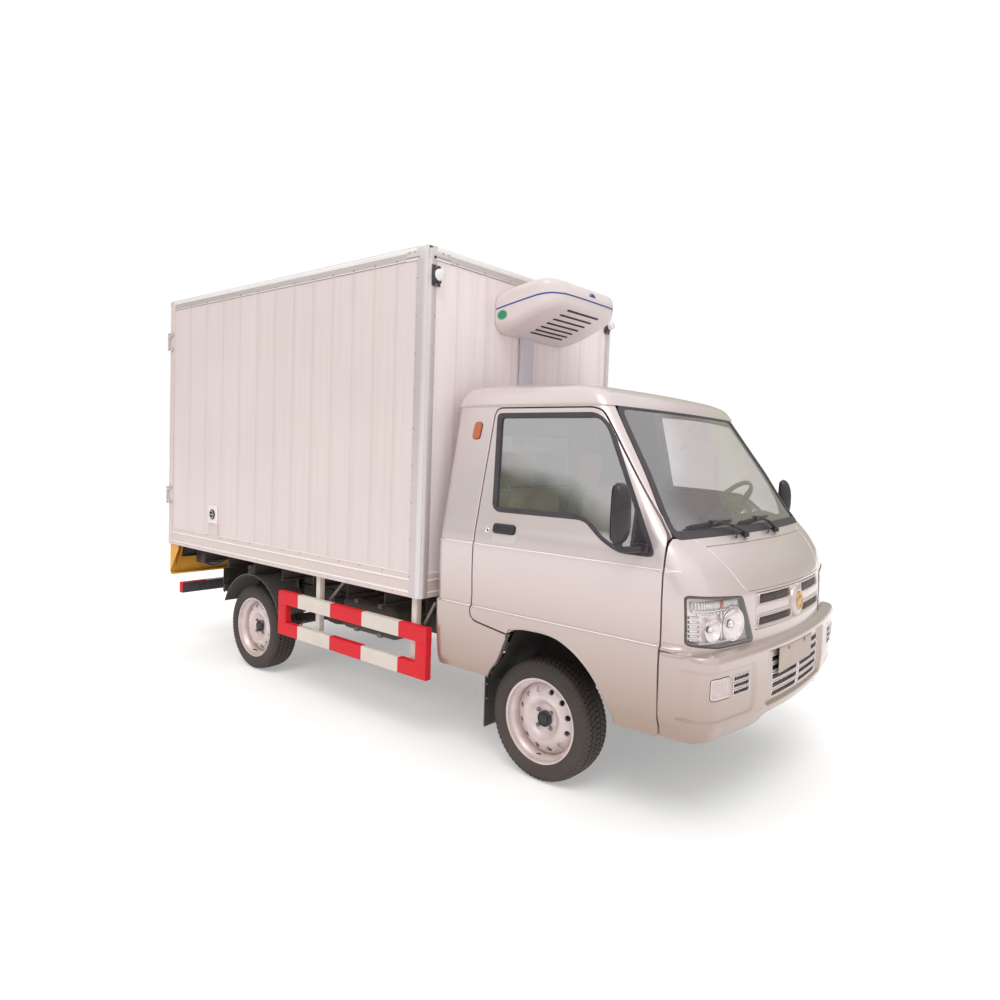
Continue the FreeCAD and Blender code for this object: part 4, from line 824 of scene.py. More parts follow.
# Side outlines: millimetres ahead of the front axle, millimetres up.
ARCH = [(-300, 365), (-265, 454), (-206, 522), (-170, 605), (-135, 679), (-60, 697), (60, 700),
        (139, 690), (230, 647), (300, 590), (360, 515), (413, 418), (425, 365)]
DOOR = [(617, 387), (617, 1160), (268, 1638), (238, 1672), (190, 1684), (-329, 1686), (-352, 1676),
        (-360, 1650), (-374, 1210), (-374, 717), (-362, 693), (-334, 683), (-148, 657), (-135, 679),
        (-60, 697), (60, 700), (139, 690), (230, 647), (300, 590), (360, 515), (413, 418), (422, 387)]
DOOR_SOFT = [12, 30, 12, 30, 20, 12, 12, 12, 60, 30, 14, 14, 2, 25, 40, 60, 40, 60, 60, 60, 20, 4]
SIDE_WINDOW = [(-275, 1214), (-327, 1650), (229, 1650), (294, 1594), (562, 1101), (410, 1100),
               (326, 1134), (240, 1202), (191, 1216)]
WINDOW_SOFT = [22, 22, 60, 60, 26, 30, 60, 60, 30]
WINDSHIELD = [(-700, 1168), (-590, 1704), (590, 1704), (700, 1168)]
LID = [(-560, 1126), (-520, 1056), (-478, 980), (-440, 950), (440, 950), (478, 980), (520, 1056),
       (560, 1126)]
LAMP = [(-762, 954), (-762, 770), (-640, 752), (-415, 750), (-487, 934)]
GRILLE = [(-392, 938), (-400, 790), (400, 790), (392, 938)]


def door_depth(p):
    """Doors are thick below the belt and thin round the window."""
    return 0.058 - 0.026 * ramp_step(p[:, 2], 1.14, 1.19)


def flip_y(points):
    return [(-y, z) for y, z in points]


def make_doors():
    for name, side in SIDES:
        outline = CAB.side(DOOR, side, DOOR_SOFT)
        outline = moved_out(outline, -0.0005)
        window = CAB.side(SIDE_WINDOW, side, WINDOW_SOFT)
        pane = moved_out(window, 0.010)
        shell = sheet(CAB, outline, "paint", [pane], door_depth, 0.0, 0.0035, 0.022, CREASES,
                      lining="interior")
        # black window surround with a raised lip
        shell.join(sheet(CAB, moved_out(window, 0.013), "rubber", [moved_out(window, -0.010)],
                         0.012, 0.0035, 0.002, 0.03))
        shell.join(arch_lip(side, front=True))
        shell.join(door_trim(side))
        # painted highlight lines along the shoulder and the lower crease
        for x0, z in ((-369, HIGH_CREASE), (-364, LOW_CREASE)):
            shell.join(skin_line([(x0, z), (608, z)], side, 0.0028, -0.0010))
        shell.join(door_handle(side))
        shell.make(f"door_shell_{name}", f"cab_door_{name}", "cab_paint", f"cab_door_{name}")
        # glass behind the sail panel's edge, and the sail panel itself
        glass_pane = sheet(CAB, moved_out(window, 0.006), "glass", [], 0.005, -0.006, 0.0008, 0.05)
        glass_pane.join(sail_panel(side))
        glass_pane.make(f"door_pane_{name}", f"cab_door_{name}", "glass", f"door_glass_{name}")


def sail_panel(side):
    """Black triangle ahead of the side window, with the rail that holds its rear edge."""
    corners = [(474, 1108), (474, 1256), (484, 1244), (562, 1101), (540, 1100)]
    outline = CAB.side([(x, z) for x, z in corners], side, [4, 4, 4, 12, 12])
    shape = sheet(CAB, moved_out(outline, 0.004), "plastic", [], 0.012, 0.001, 0.002, 0.02)
    bar = CAB.side([(462, 1100), (462, 1275), (480, 1250), (480, 1100)], side, 3)
    shape.join(sheet(CAB, bar, "rubber", [], 0.010, 0.003, 0.002, 0.02))
    return shape


def arch_lip(side, front):
    """Rolled edge of the wheel arch on the door or on the body behind it."""
    corners = [c for c in softened(ARCH, 45, 7)]
    keep = [c for c in corners if (c[0] > -140 and c[1] > 392)] if front else \
           [c for c in corners if (c[0] < -152 and c[1] > 430)]
    dense_path = dense(keep, 10)[:-max(1, int(math.dist(keep[-1], keep[0]) / 10))] + [keep[-1]]
    points = np.array(dense_path) / 1000
    s = CAB.s_at(points[:, 0], points[:, 1], "x") * side
    p, _ = CAB.point(s, points[:, 1], -0.003)
    return tube([tuple(q) for q in p], 0.0045, "paint", 8)


def door_handle(side):
    """Flap handle in its recess, and the lock beside it."""
    shape = Shape()
    def at(x, z, lift=0.0):
        s = CAB.s_at([x / 1000], [z / 1000], "x") * side
        p, n = CAB.point(s, [z / 1000], lift)
        return Vector(p[0]), Vector(n[0])
    # the recess is a plate on the skin whose darker colour is painted shade
    dish = CAB.side([(-266, 1062), (-266, 1108), (-126, 1108), (-126, 1062)], side, 8)
    shape.join(sheet(CAB, dish, "dish", [], 0.003, 0.0012, 0.0015, 0.02))
    flap = CAB.side([(-262, 1107), (-262, 1146), (-136, 1146), (-136, 1107)], side, 12)
    shape.join(sheet(CAB, moved_out(flap, 0.004), "rubber", [], 0.004, 0.0015, 0.002, 0.02))
    shape.join(sheet(CAB, flap, "plastic", [], 0.012, 0.013, 0.006, 0.012, curl=4))
    centre, normal = at(-300, 1114)
    turn = Vector((0, 1, 0)).rotation_difference(normal).to_matrix().to_4x4()
    lock = lathe([(0.0135, -0.002), (0.0135, 0.002), (0.0115, 0.004), (0.0085, 0.004), (0.0075, 0.0015),
                  (0.001, 0.0015)], "chrome", 24)
    shape.join(lock, Matrix.Translation(centre) @ turn)
    # near-black keyhole slot: painted shade
    slot = block((-0.0012, 0.001, -0.0055), (0.0012, 0.0022, 0.0055), "seam", 0.0003)
    shape.join(slot, Matrix.Translation(centre) @ turn)
    return shape


def door_trim(side):
    """Inside of a door: arm rest, pull, window winder and pocket."""
    shape = Shape()
    y = side * (CAB_HALF - 0.058)
    def lump(x0, x1, z0, z1, out, finish, edge):
        low = (FRONT_AXLE + x0, min(y, y - side * out), z0)
        high = (FRONT_AXLE + x1, max(y, y - side * out), z1)
        shape.join(block(low, high, finish, edge, 3))
    lump(-0.22, 0.22, 0.93, 0.975, 0.045, "interior", 0.014)
    lump(-0.30, 0.40, 0.72, 0.80, 0.022, "interior", 0.012)
    lump(-0.05, 0.10, 1.02, 1.05, 0.032, "plastic", 0.010)
    hub = lathe([(0.022, 0), (0.022, -0.012), (0.014, -0.020), (0.001, -0.020)], "plastic", 20)
    move = Matrix.Translation((FRONT_AXLE + 0.26, y, 0.90)) @ Matrix.Scale(side, 4, (0, 1, 0))
    shape.join(hub, move)
    shape.join(tube([(FRONT_AXLE + 0.26, y - side * 0.018, 0.90), (FRONT_AXLE + 0.18, y - side * 0.030,
                                                                   0.87)],
                    0.007, "plastic", 8))
    shape.join(lathe([(0.001, 0), (0.010, -0.002), (0.012, -0.018), (0.008, -0.026), (0.001, -0.027)],
                     "plastic", 16), Matrix.Translation((FRONT_AXLE + 0.18, y - side * 0.022, 0.87))
               @ Matrix.Scale(side, 4, (0, 1, 0)))
    return shape


def side_frame_outline(side):
    """Body side: rear quarter, sill, roof rail and windshield pillar, round to the back corner."""
    low = [(-276, 427), (-265, 454), (-206, 522), (-170, 605), (-153, 643), (-151, 651), (-334, 677),
           (-366, 687), (-380, 715), (-380, 1210), (-366, 1650), (-357, 1681), (-329, 1692),
           (190, 1690), (242, 1677), (273, 1641), (617, 1168)]
    soft = [6, 20, 40, 40, 4, 2, 14, 14, 30, 60, 12, 12, 12, 20, 30, 12, 2]
    points = np.array(dense(softened(low, soft))) / 1000
    cut_at = np.argmax(points[:, 0])
    path = points[:cut_at + 1]
    s = CAB.s_at(path[:, 0], path[:, 1], "x")
    edge = [(a, b) for a, b in zip(s, path[:, 1])]
    # along the windshield pillar, then over the roof rail to the back, and down the rear corner
    pillar_z = np.linspace(1.168, 1.700, 46)
    pillar_y = np.interp(pillar_z, [1.168, 1.704], [0.716, 0.606])
    pillar_s = CAB.s_at(pillar_y, pillar_z, "y")
    edge += list(zip(pillar_s, pillar_z))
    top_s = np.linspace(pillar_s[-1], rear_s(0.640, 1.700), 130)
    edge += [(a, 1.700) for a in top_s[1:]]
    for z in np.arange(1.690, 0.480, -0.014):
        edge.append((rear_s(0.700 - 0.06 * ramp_step(z, 1.15, 1.70), z), z))
    corner = [(rear_s(0.700, 0.47), 0.470), (rear_s(0.716, 0.44), 0.440), (rear_s(0.737, 0.427), 0.427)]
    edge += corner
    end = CAB.s_at([-0.276], [0.427], "x")[0]
    edge += [(a, 0.427) for a in np.linspace(corner[-1][0], end, 32)[1:-1]]
    return ordered([(a * side, b) for a, b in edge])


def rear_s(y, z):
    """The s on the cab's back where |y| has a value."""
    section = CAB.section(np.atleast_1d(z))
    half, s_side = float(section[0][0]), float(section[9][0])
    return s_side + REAR_CORNER * math.pi / 2 + (half - REAR_CORNER - float(y))


def make_body_side():
    shell = Shape()
    for _, side in SIDES:
        outline = side_frame_outline(side)
        shell.join(sheet(CAB, outline, "paint", [], 0.034, 0.0, 0.0035, 0.022, CREASES, lining="interior"))
        shell.join(arch_lip(side, front=False))
        marker = CAB.side([(-484, 1538), (-478, 1618), (-431, 1618), (-437, 1538)], side, 16)
        shell.join(sheet(CAB, moved_out(marker, 0.003), "rubber", [], 0.004, 0.001, 0.001, 0.02))
        shell.join(sheet(CAB, marker, "amber", [], 0.010, 0.009, 0.005, 0.01, curl=4))
        shell.join(jamb(side))
        # painted highlight lines along the shoulder and the lower crease
        for z in (HIGH_CREASE, LOW_CREASE):
            shell.join(skin_line([(-570, z), (-382, z)], side, 0.0028, -0.0007))
    shell.make("body_sides", "chassis", "cab_paint", "cab_frame")


def jamb(side):
    """Black rubber step behind the door gap, with the sill and the pillar's inner faces; its black is partly the
    seal's own and partly painted shade in the gap.
    """
    path = [(630, 740), (630, 1163), (282, 1650), (246, 1684), (190, 1697), (-332, 1699), (-362, 1686),
            (-372, 1652), (-387, 1212), (-387, 712), (-370, 684), (-334, 671), (-150, 645)]
    wide = [(594, 740), (594, 1150), (256, 1616), (228, 1650), (186, 1660), (-322, 1662), (-332, 1655),
            (-336, 1640), (-350, 1208), (-350, 722), (-346, 712), (-328, 706), (-140, 684)]
    shape = Shape()
    ring = []
    for corners in (path, wide):
        points = []
        for (x1, z1), (x2, z2) in zip(corners, corners[1:]):
            parts = 12
            points += [(x1 + (x2 - x1) * k / parts, z1 + (z2 - z1) * k / parts) for k in range(parts)]
        points.append(corners[-1])
        ring.append(np.array(points) / 1000)
    grid = []
    for points in ring:
        s = CAB.s_at(points[:, 0], points[:, 1], "x") * side
        drop = door_depth(CAB.point(s, points[:, 1], 0)[0]) + 0.010
        p, n = CAB.point(s, points[:, 1], 0)
        grid.append(p - n * drop[:, None])
    count = len(grid[0])
    faces = [(i, i + 1, count + i + 1, count + i) for i in range(count - 1)]
    if side > 0:
        faces = [f[::-1] for f in faces]
    shape.add(np.concatenate(grid), faces, "rubber", True)
    # outer wall of the step, back from the body's edge
    s = CAB.s_at(ring[0][:, 0], ring[0][:, 1], "x") * side
    p, n = CAB.point(s, ring[0][:, 1], -0.030)
    faces = [(i, count + i, count + i + 1, i + 1) for i in range(count - 1)]
    if side > 0:
        faces = [f[::-1] for f in faces]
    shape.add(np.concatenate([p, grid[0]]), faces, "rubber", True)
    return shape


def lamp_outline(side):
    corners = LAMP if side < 0 else flip_y(LAMP)
    return CAB.front(corners, 14)


def nose_outline():
    """Front panel from door to door, between the bumper and the windshield."""
    edge = []
    z_low, z_high = 0.741, 1.162
    for z in np.linspace(z_high, z_low, 34):
        edge.append((-CAB.s_at([0.623], [z], "x")[0], z))
    span = CAB.s_at([0.623], [z_low], "x")[0]
    edge += [(s, z_low) for s in np.linspace(-span, span, 150)[1:-1]]
    for z in np.linspace(z_low, z_high, 34):
        edge.append((CAB.s_at([0.623], [z], "x")[0], z))
    reach = CAB.s_at([0.623], [z_high], "x")[0]
    edge += [(s, z_high) for s in np.linspace(reach, -reach, 150)[1:-1]]
    return ordered(edge)


def skin_line(corners, where, radius, lift, finish="crease"):
    """A painted highlight line along the skin: corners in millimetres on the front, or on a side (-1 or 1)."""
    points = []
    for (a, z0), (b, z1) in zip(corners, corners[1:]):
        parts = max(2, int(math.hypot(b - a, z1 - z0) / 25))
        points += [(a + (b - a) * k / parts, z0 + (z1 - z0) * k / parts) for k in range(parts)]
    points = np.array(points + [corners[-1]]) / 1000
    if where == "front":
        s = CAB.s_at(np.abs(points[:, 0]), points[:, 1], "y") * np.sign(points[:, 0])
    else:
        s = CAB.s_at(points[:, 0], points[:, 1], "x") * where
    p, _ = CAB.point(s, points[:, 1], lift)
    return tube([tuple(q) for q in p], radius, finish, 6)


def make_nose():
    lamps = [moved_out(lamp_outline(side), 0.004) for side in (RIGHT, LEFT)]
    lid = CAB.front(LID, [20, 60, 40, 14, 14, 40, 60, 20])
    grille = CAB.front(GRILLE, 10)
    # the lining behind the nose panel is near-black painted shade
    shell = sheet(CAB, nose_outline(), "paint", lamps + [moved_out(lid, 0.0006), moved_out(grille, 0.0008)],
                  0.030, 0.0, 0.0018, 0.02, (), lining="seam")
    for side in (RIGHT, LEFT):
        # painted highlight along the lid's corner, and along the shoulder and the lower crease
        shell.join(skin_line([(side * 562, 1128), (side * 600, 1160)], "front", 0.0014, -0.0004))
        for z, end in ((HIGH_CREASE, 688), (LOW_CREASE, 700)):
            shell.join(skin_line([(629, z), (end, z)], side, 0.0028, -0.0010))
    shell.make("nose_shell", "chassis", "cab_paint", "nose_panel")
    # the lid's lining is near-black painted shade
    cover = sheet(CAB, moved_out(lid, -0.0006), "paint", [], 0.014, 0.0, 0.0018, 0.02, (), lining="seam")
    # painted highlight lines along the lid's sloping edges
    for side in (RIGHT, LEFT):
        cover.join(skin_line([(side * y, z) for y, z in ((440, 950), (478, 980), (520, 1056), (557, 1120))],
                             "front",
                             0.0014, -0.0004))
    cover.make("lid_shell", "front_lid", "cab_paint", "front_lid")
    make_grille(grille)


def make_grille(outline):
    """Painted frame with two meshed slots a side and a plain oval emblem."""
    def slot(z0, z1, side, outer):
        corners = [(side * 70, z0), (side * outer, z0), (side * (outer - 8), z1), (side * 70, z1)]
        return CAB.front(corners, 8)
    slots = [slot(z0, z1, side, outer) for z0, z1, outer in ((893, 930, 372), (806, 838, 382))
             for side in (RIGHT, LEFT)]
    frame_shape = sheet(CAB, moved_out(outline, -0.0008), "paint", slots, 0.024, 0.0, 0.0030, 0.014, curl=4)
    for opening in slots:
        # near-black sheet behind each slot's mesh: painted shade
        frame_shape.join(sheet(CAB, moved_out(opening, 0.006), "seam", [], 0.002, -0.024, 0.001, 0.03))
        frame_shape.join(mesh_in(opening, -0.010))
        frame_shape.join(strip(CAB, opening, "paint", 0.007, 0.010, -0.0030, -0.0010))
    for z, out in ((0.884, 0.0035), (0.796, 0.0035), (0.848, 0.0030)):
        reach = CAB.s_at([0.386], [z], "y")[0]
        s = np.linspace(-reach, reach, 60)
        p, _ = CAB.point(s, np.full(60, z), -0.0035 + out * (1 - (s / reach) ** 2) * 0.6)
        frame_shape.join(tube([tuple(q) for q in p], 0.0065, "paint", 10))
    frame_shape.make("grille_frame", "chassis", "grille_black", "grille")
    emblem = Shape()
    p, n = CAB.point([0.0], [0.862], 0.003)
    turn = Vector((0, 1, 0)).rotation_difference(Vector(n[0])).to_matrix().to_4x4()
    place = Matrix.Translation(p[0]) @ turn @ Matrix.Diagonal((1.0, 1, 1.10, 1))
    boss = [(0.066, -0.012), (0.064, 0.000), (0.058, 0.008), (0.046, 0.0125), (0.036, 0.0125)]
    emblem.join(lathe(boss, "paint", 48), place)
    ring = [(0.038, 0.008), (0.038, 0.015), (0.034, 0.0185), (0.029, 0.0185), (0.026, 0.014), (0.024, 0.014)]
    emblem.join(lathe(ring, "brass", 48), place)
    dome = [(0.025, 0.013), (0.020, 0.0155), (0.012, 0.0175), (0.0005, 0.018)]
    emblem.join(lathe(dome, "brass", 48), place)
    emblem.make("emblem_disc", "chassis", "grille_black")


def mesh_in(opening, lift):
    """Crossed wires that fill an opening."""
    shape = Shape()
    outline = np.array(opening)
    low, high = outline.min(0), outline.max(0)
    pitch = 0.0125
    for lean in (-1, 1):
        start = low[0] - (high[1] - low[1])
        while start < high[0] + (high[1] - low[1]):
            z = np.linspace(low[1], high[1], 9)
            s = start + (z - low[1] if lean > 0 else high[1] - z)
            keep = inside(np.stack([s, z], axis=1), opening)
            if keep.sum() > 1:
                p, _ = CAB.point(s[keep], z[keep], lift + 0.0012 * lean)
                shape.join(tube([tuple(q) for q in p], 0.0021, "mesh", 4))
            start += pitch
    return shape


def make_windshield():
    outline = CAB.front(WINDSHIELD, [30, 60, 60, 30])
    pane = sheet(CAB, moved_out(outline, -0.004), "screen", [], 0.005, -0.002, 0.001, 0.045)
    pane.make("windshield_pane", "chassis", "glass", "windshield")
    seal = sheet(CAB, moved_out(outline, 0.013), "rubber", [moved_out(outline, -0.020)], 0.030, 0.003,
                 0.004, 0.03, curl=4)
    # black printed band and cowl grille under the glass
    band = [(-690, 1182), (-684, 1214), (684, 1214), (690, 1182)]
    cowl = sheet(CAB, CAB.front(band, 10), "plastic", [], 0.003, -0.010, 0.001, 0.04)
    seal.join(cowl)
    seal.make("windshield_seal", "chassis", "trim_black")


def make_roof():
    """Pressed roof with a flared gutter all round."""
    shape = Shape()
    heights = [1.276, 1.280, 1.288, 1.296, 1.305, 1.314, 1.323, 1.332, 1.341, 1.350, 1.358, 1.365,
               1.372, 1.378, 1.384, 1.389, 1.394, 1.399, 1.403, 1.405]
    flare = [0.0058, 0.0062, 0.0055, 0.0042, 0.0028, 0.0016, 0.0008] + [0.0] * 20
    rings = []
    for height, out in zip(heights, flare):
        rings.append(roof_ring(height, out))
    lip = roof_ring(1.270, 0.0046)
    under = roof_ring(1.270, -0.006)
    rings = [under, lip] + rings
    count = len(rings[0])
    top = np.array(rings[-1])
    centre = np.array([FRONT_AXLE - 0.285, 0, 0])
    for t in (0.80, 0.6, 0.4, 0.2, 0.03):
        ring = centre + (top - centre) * np.array([t, t, 1])
        ring[:, 2] = CAB_BASE + 1.405 + 0.006 * (1 - t * t)
        rings.append(ring)
    points = np.concatenate(rings)
    faces = []
    for r in range(len(rings) - 1):
        for i in range(count):
            j = (i + 1) % count
            faces.append((r * count + i, r * count + j, (r + 1) * count + j, (r + 1) * count + i))
    last = (len(rings) - 1) * count
    faces.append(tuple(last + i for i in range(count)))
    shape.add(points, faces, "paint")
    inner = [r - np.array([0, 0, 0.028]) for r in rings[8:]]
    faces = [f[::-1] for f in faces if max(f) < len(inner) * count]
    shape.add(np.concatenate(inner),
              faces + [tuple((len(inner) - 1) * count + i for i in range(count))[::-1]],
              "interior")
    shape.make("roof_shell", "chassis", "cab_paint", "cab_roof", sharp=50)


def roof_ring(height, out):
    """Closed plan of the cab at a height above its base."""
    inset, nose, sweep, corner, back = eased(CAB_LEVELS, np.array([height]))[0]
    half = CAB_HALF - inset + out
    nose, back = nose + out, -CAB_REACH + back - out
    centre = nose - sweep
    corner_y = half - corner
    corner_x = centre + math.sqrt((sweep - corner) ** 2 - corner_y ** 2)
    turn = math.atan2(corner_y, corner_x - centre)
    rear = 0.05 + 0.05 * ramp_step(height, 1.30, 1.40)
    side = []
    side += [(centre + sweep * math.cos(a), sweep * math.sin(a)) for a in np.linspace(0, turn, 25)[:-1]]
    side += [(corner_x + corner * math.cos(a), corner_y + corner * math.sin(a))
             for a in np.linspace(turn, math.pi / 2, 9)[:-1]]
    side += [(x, half) for x in np.linspace(corner_x, back + rear, 26)[:-1]]
    side += [(back + rear - rear * math.sin(a), half - rear + rear * math.cos(a))
             for a in np.linspace(0, math.pi / 2, 8)[:-1]]
    side += [(back, y) for y in np.linspace(half - rear, 0, 16)]
    other = [(x, -y) for x, y in side[-2:0:-1]]
    return np.array([(x + FRONT_AXLE, y, CAB_BASE + height) for x, y in side + other])


def make_back_panel():
    """Back wall of the cab with its small window."""
    def back(corners, soft=0):
        pts = np.array(dense(softened(corners, soft))) / 1000
        return ordered([(rear_s(y, z), z) for y, z in pts])
    wall = back([(-694, 475), (-694, 1150), (-634, 1694), (634, 1694), (694, 1150), (694, 475)], 10)
    window = back([(-430, 1270), (-400, 1570), (400, 1570), (430, 1270)], 40)
    ribs = [back([(-600, z), (-600, z + 26), (600, z + 26), (600, z)], 10) for z in (640, 820, 1000)]
    shell = sheet(CAB, wall, "paint", [window], 0.020, 0.0, 0.003, 0.03, lining="interior")
    for rib in ribs:
        shell.join(sheet(CAB, rib, "paint", [], 0.006, 0.005, 0.005, 0.03))
    shell.make("back_shell", "chassis", "cab_paint", "cab_rear_panel")
    pane = sheet(CAB, moved_out(window, -0.002), "back_glass", [], 0.005, -0.004, 0.001, 0.05)
    pane.join(sheet(CAB, moved_out(window, 0.012), "rubber", [moved_out(window, -0.010)], 0.012, 0.004,
                    0.003, 0.03))
    pane.make("back_pane", "chassis", "glass", "rear_window")


# ---------------------------------------------------------------- head lamps and bumper

def make_lamps():
    """Clear covers over bright bowls, each in a dark surround."""
    shape = Shape()
    for _, side in SIDES:
        outline = lamp_outline(side)
        shape.join(sheet(CAB, moved_out(outline, 0.0035), "gasket", [moved_out(outline, -0.0060)], 0.030,
                         0.0010, 0.0015, 0.03))
        shape.join(sheet(CAB, moved_out(outline, -0.0005), "lens", [], 0.004, 0.0035, 0.0035, 0.02))
        bowl = moved_out(outline, -0.003)
        shape.join(sheet(CAB, bowl, "bowl", [], 0.006, -0.034, 0.001, 0.02))
        shape.join(lamp_wall(bowl))
        shape.join(lamp_insides(side))
    shape.make("head_lamp_sets", "chassis", "lamp_clear", "head_lamps")


def lamp_wall(outline):
    loop = np.array(outline)
    top, _ = CAB.point(loop[:, 0], loop[:, 1], -0.003)
    low, _ = CAB.point(loop[:, 0], loop[:, 1], -0.036)
    count = len(loop)
    shape = Shape()
    faces = [(i, (i + 1) % count, count + (i + 1) % count, count + i) for i in range(count)]
    shape.add(np.concatenate([top, low]), faces, "bowl")
    return shape


def lamp_insides(side):
    """Reflectors, the fluted signal band and the divider."""
    shape = Shape()
    def spot(y, z, lift):
        s = CAB.s_at([abs(y)], [z], "y") * side
        p, _ = CAB.point(s, [z], lift)
        return Vector(p[0])
    ahead = Vector((0.96, side * 0.28, 0.0)).normalized()
    turn = Vector((0, 1, 0)).rotation_difference(ahead).to_matrix().to_4x4()
    for y, z, r in ((0.540, 0.830, 0.062), (0.668, 0.822, 0.044)):
        centre = spot(y, z, -0.034)
        bowl = [(r, 0.024), (r * 1.04, 0.026), (r * 1.04, 0.022)]
        shape.join(lathe(bowl, "chrome", 40), Matrix.Translation(centre) @ turn)
        dish = [(r * t, 0.024 - 0.030 * (1 - t * t)) for t in (1.0, 0.85, 0.7, 0.55, 0.4, 0.3)]
        shape.join(lathe(dish, "bowl", 40), Matrix.Translation(centre) @ turn)
        bulb = [(r * 0.3, -0.0035), (r * 0.3, 0.010), (r * 0.22, 0.018), (r * 0.08, 0.022), (0.0005, 0.023)]
        shape.join(lathe(bulb, ["plastic", "mirror", "mirror", "mirror"], 24),
                   Matrix.Translation(centre) @ turn)
    ring = [(0.064, 0.020), (0.070, 0.028), (0.066, 0.030), (0.062, 0.022)]
    shape.join(lathe(ring, "satin", 40), Matrix.Translation(spot(0.545, 0.835, -0.040)) @ turn)
    # fluted band along the top
    for k in range(22):
        y = 0.505 + k * 0.0115
        top = spot(y, 0.930, -0.020)
        low = spot(y, 0.902, -0.020)
        shape.join(tube([low, top], 0.0045, "amber" if 8 <= k <= 9 else "white_lens", 6))
    for z, finish in ((0.895, "chrome"), (0.770, "chrome")):
        path = [spot(y, z, -0.016) for y in np.linspace(0.49, 0.75, 24)]
        shape.join(tube(path, 0.0035, finish, 6))
    for k in range(12):
        path = [spot(y, 0.884, -0.018) for y in (0.505 + k * 0.020, 0.513 + k * 0.020)]
        shape.join(tube(path, 0.005, "mirror", 6))
    path = [spot(0.606, z, -0.022) for z in np.linspace(0.772, 0.892, 10)]
    shape.join(tube(path, 0.004, "chrome", 6))
    for k in range(6):
        z = 0.780 + k * 0.018
        path = [spot(y, z, -0.030) for y in np.linspace(0.722, 0.756, 5)]
        shape.join(tube(path, 0.005, "mirror", 6))
    return shape


def bumper_relief(p):
    """Centre pocket, lamp pockets, side ledge and a rounded top."""
    x, y, z = p[:, 0] - FRONT_AXLE, np.abs(p[:, 1]), p[:, 2]
    centre = (1 - ramp_step(y, 0.335, 0.352)) * ramp_step(z, 0.462, 0.485) * (1 - ramp_step(z, 0.690, 0.706))
    lamp = (ramp_step(y, 0.455, 0.475) * ramp_step(z, 0.478, 0.496) * (1 - ramp_step(z, 0.668, 0.684))
            * ramp_step(x, 0.66, 0.74))
    ledge = 0.010 * (1 - ramp_step(x, 0.62, 0.76)) * (1 - ramp_step(z, 0.726, 0.738)) * ramp_step(z, 0.36,
            0.70)
    belly = 0.006 * np.exp(-((z - 0.72) / 0.02) ** 2) * ramp_step(x, 0.70, 0.80)
    return -0.016 * centre - 0.007 * lamp + ledge + belly


BUMPER = Skin(BUMPER_LEVELS, bumper_relief)


def bumper_outline():
    edge = []
    top = 0.735
    for z in np.linspace(top, 0.392, 28):
        edge.append((-BUMPER.s_at([0.6225], [z], "x")[0], z))
    span = BUMPER.s_at([0.6225], [0.392], "x")[0]
    for s in np.linspace(-span, span, 170)[1:-1]:
        p = BUMPER.flat([s], [0.40])[0]
        y = abs(p[1])
        z = 0.392 + 0.006 * float(ramp_step(0.78 - y, 0.0, 0.1)) + 0.034 * float(1 - ramp_step(y, 0.30, 0.40))
        edge.append((s, z))
    for z in np.linspace(0.392, top, 28):
        edge.append((BUMPER.s_at([0.6225], [z], "x")[0], z))
    reach = BUMPER.s_at([0.6225], [top], "x")[0]
    edge += [(s, top) for s in np.linspace(reach, -reach, 170)[1:-1]]
    return ordered(edge)


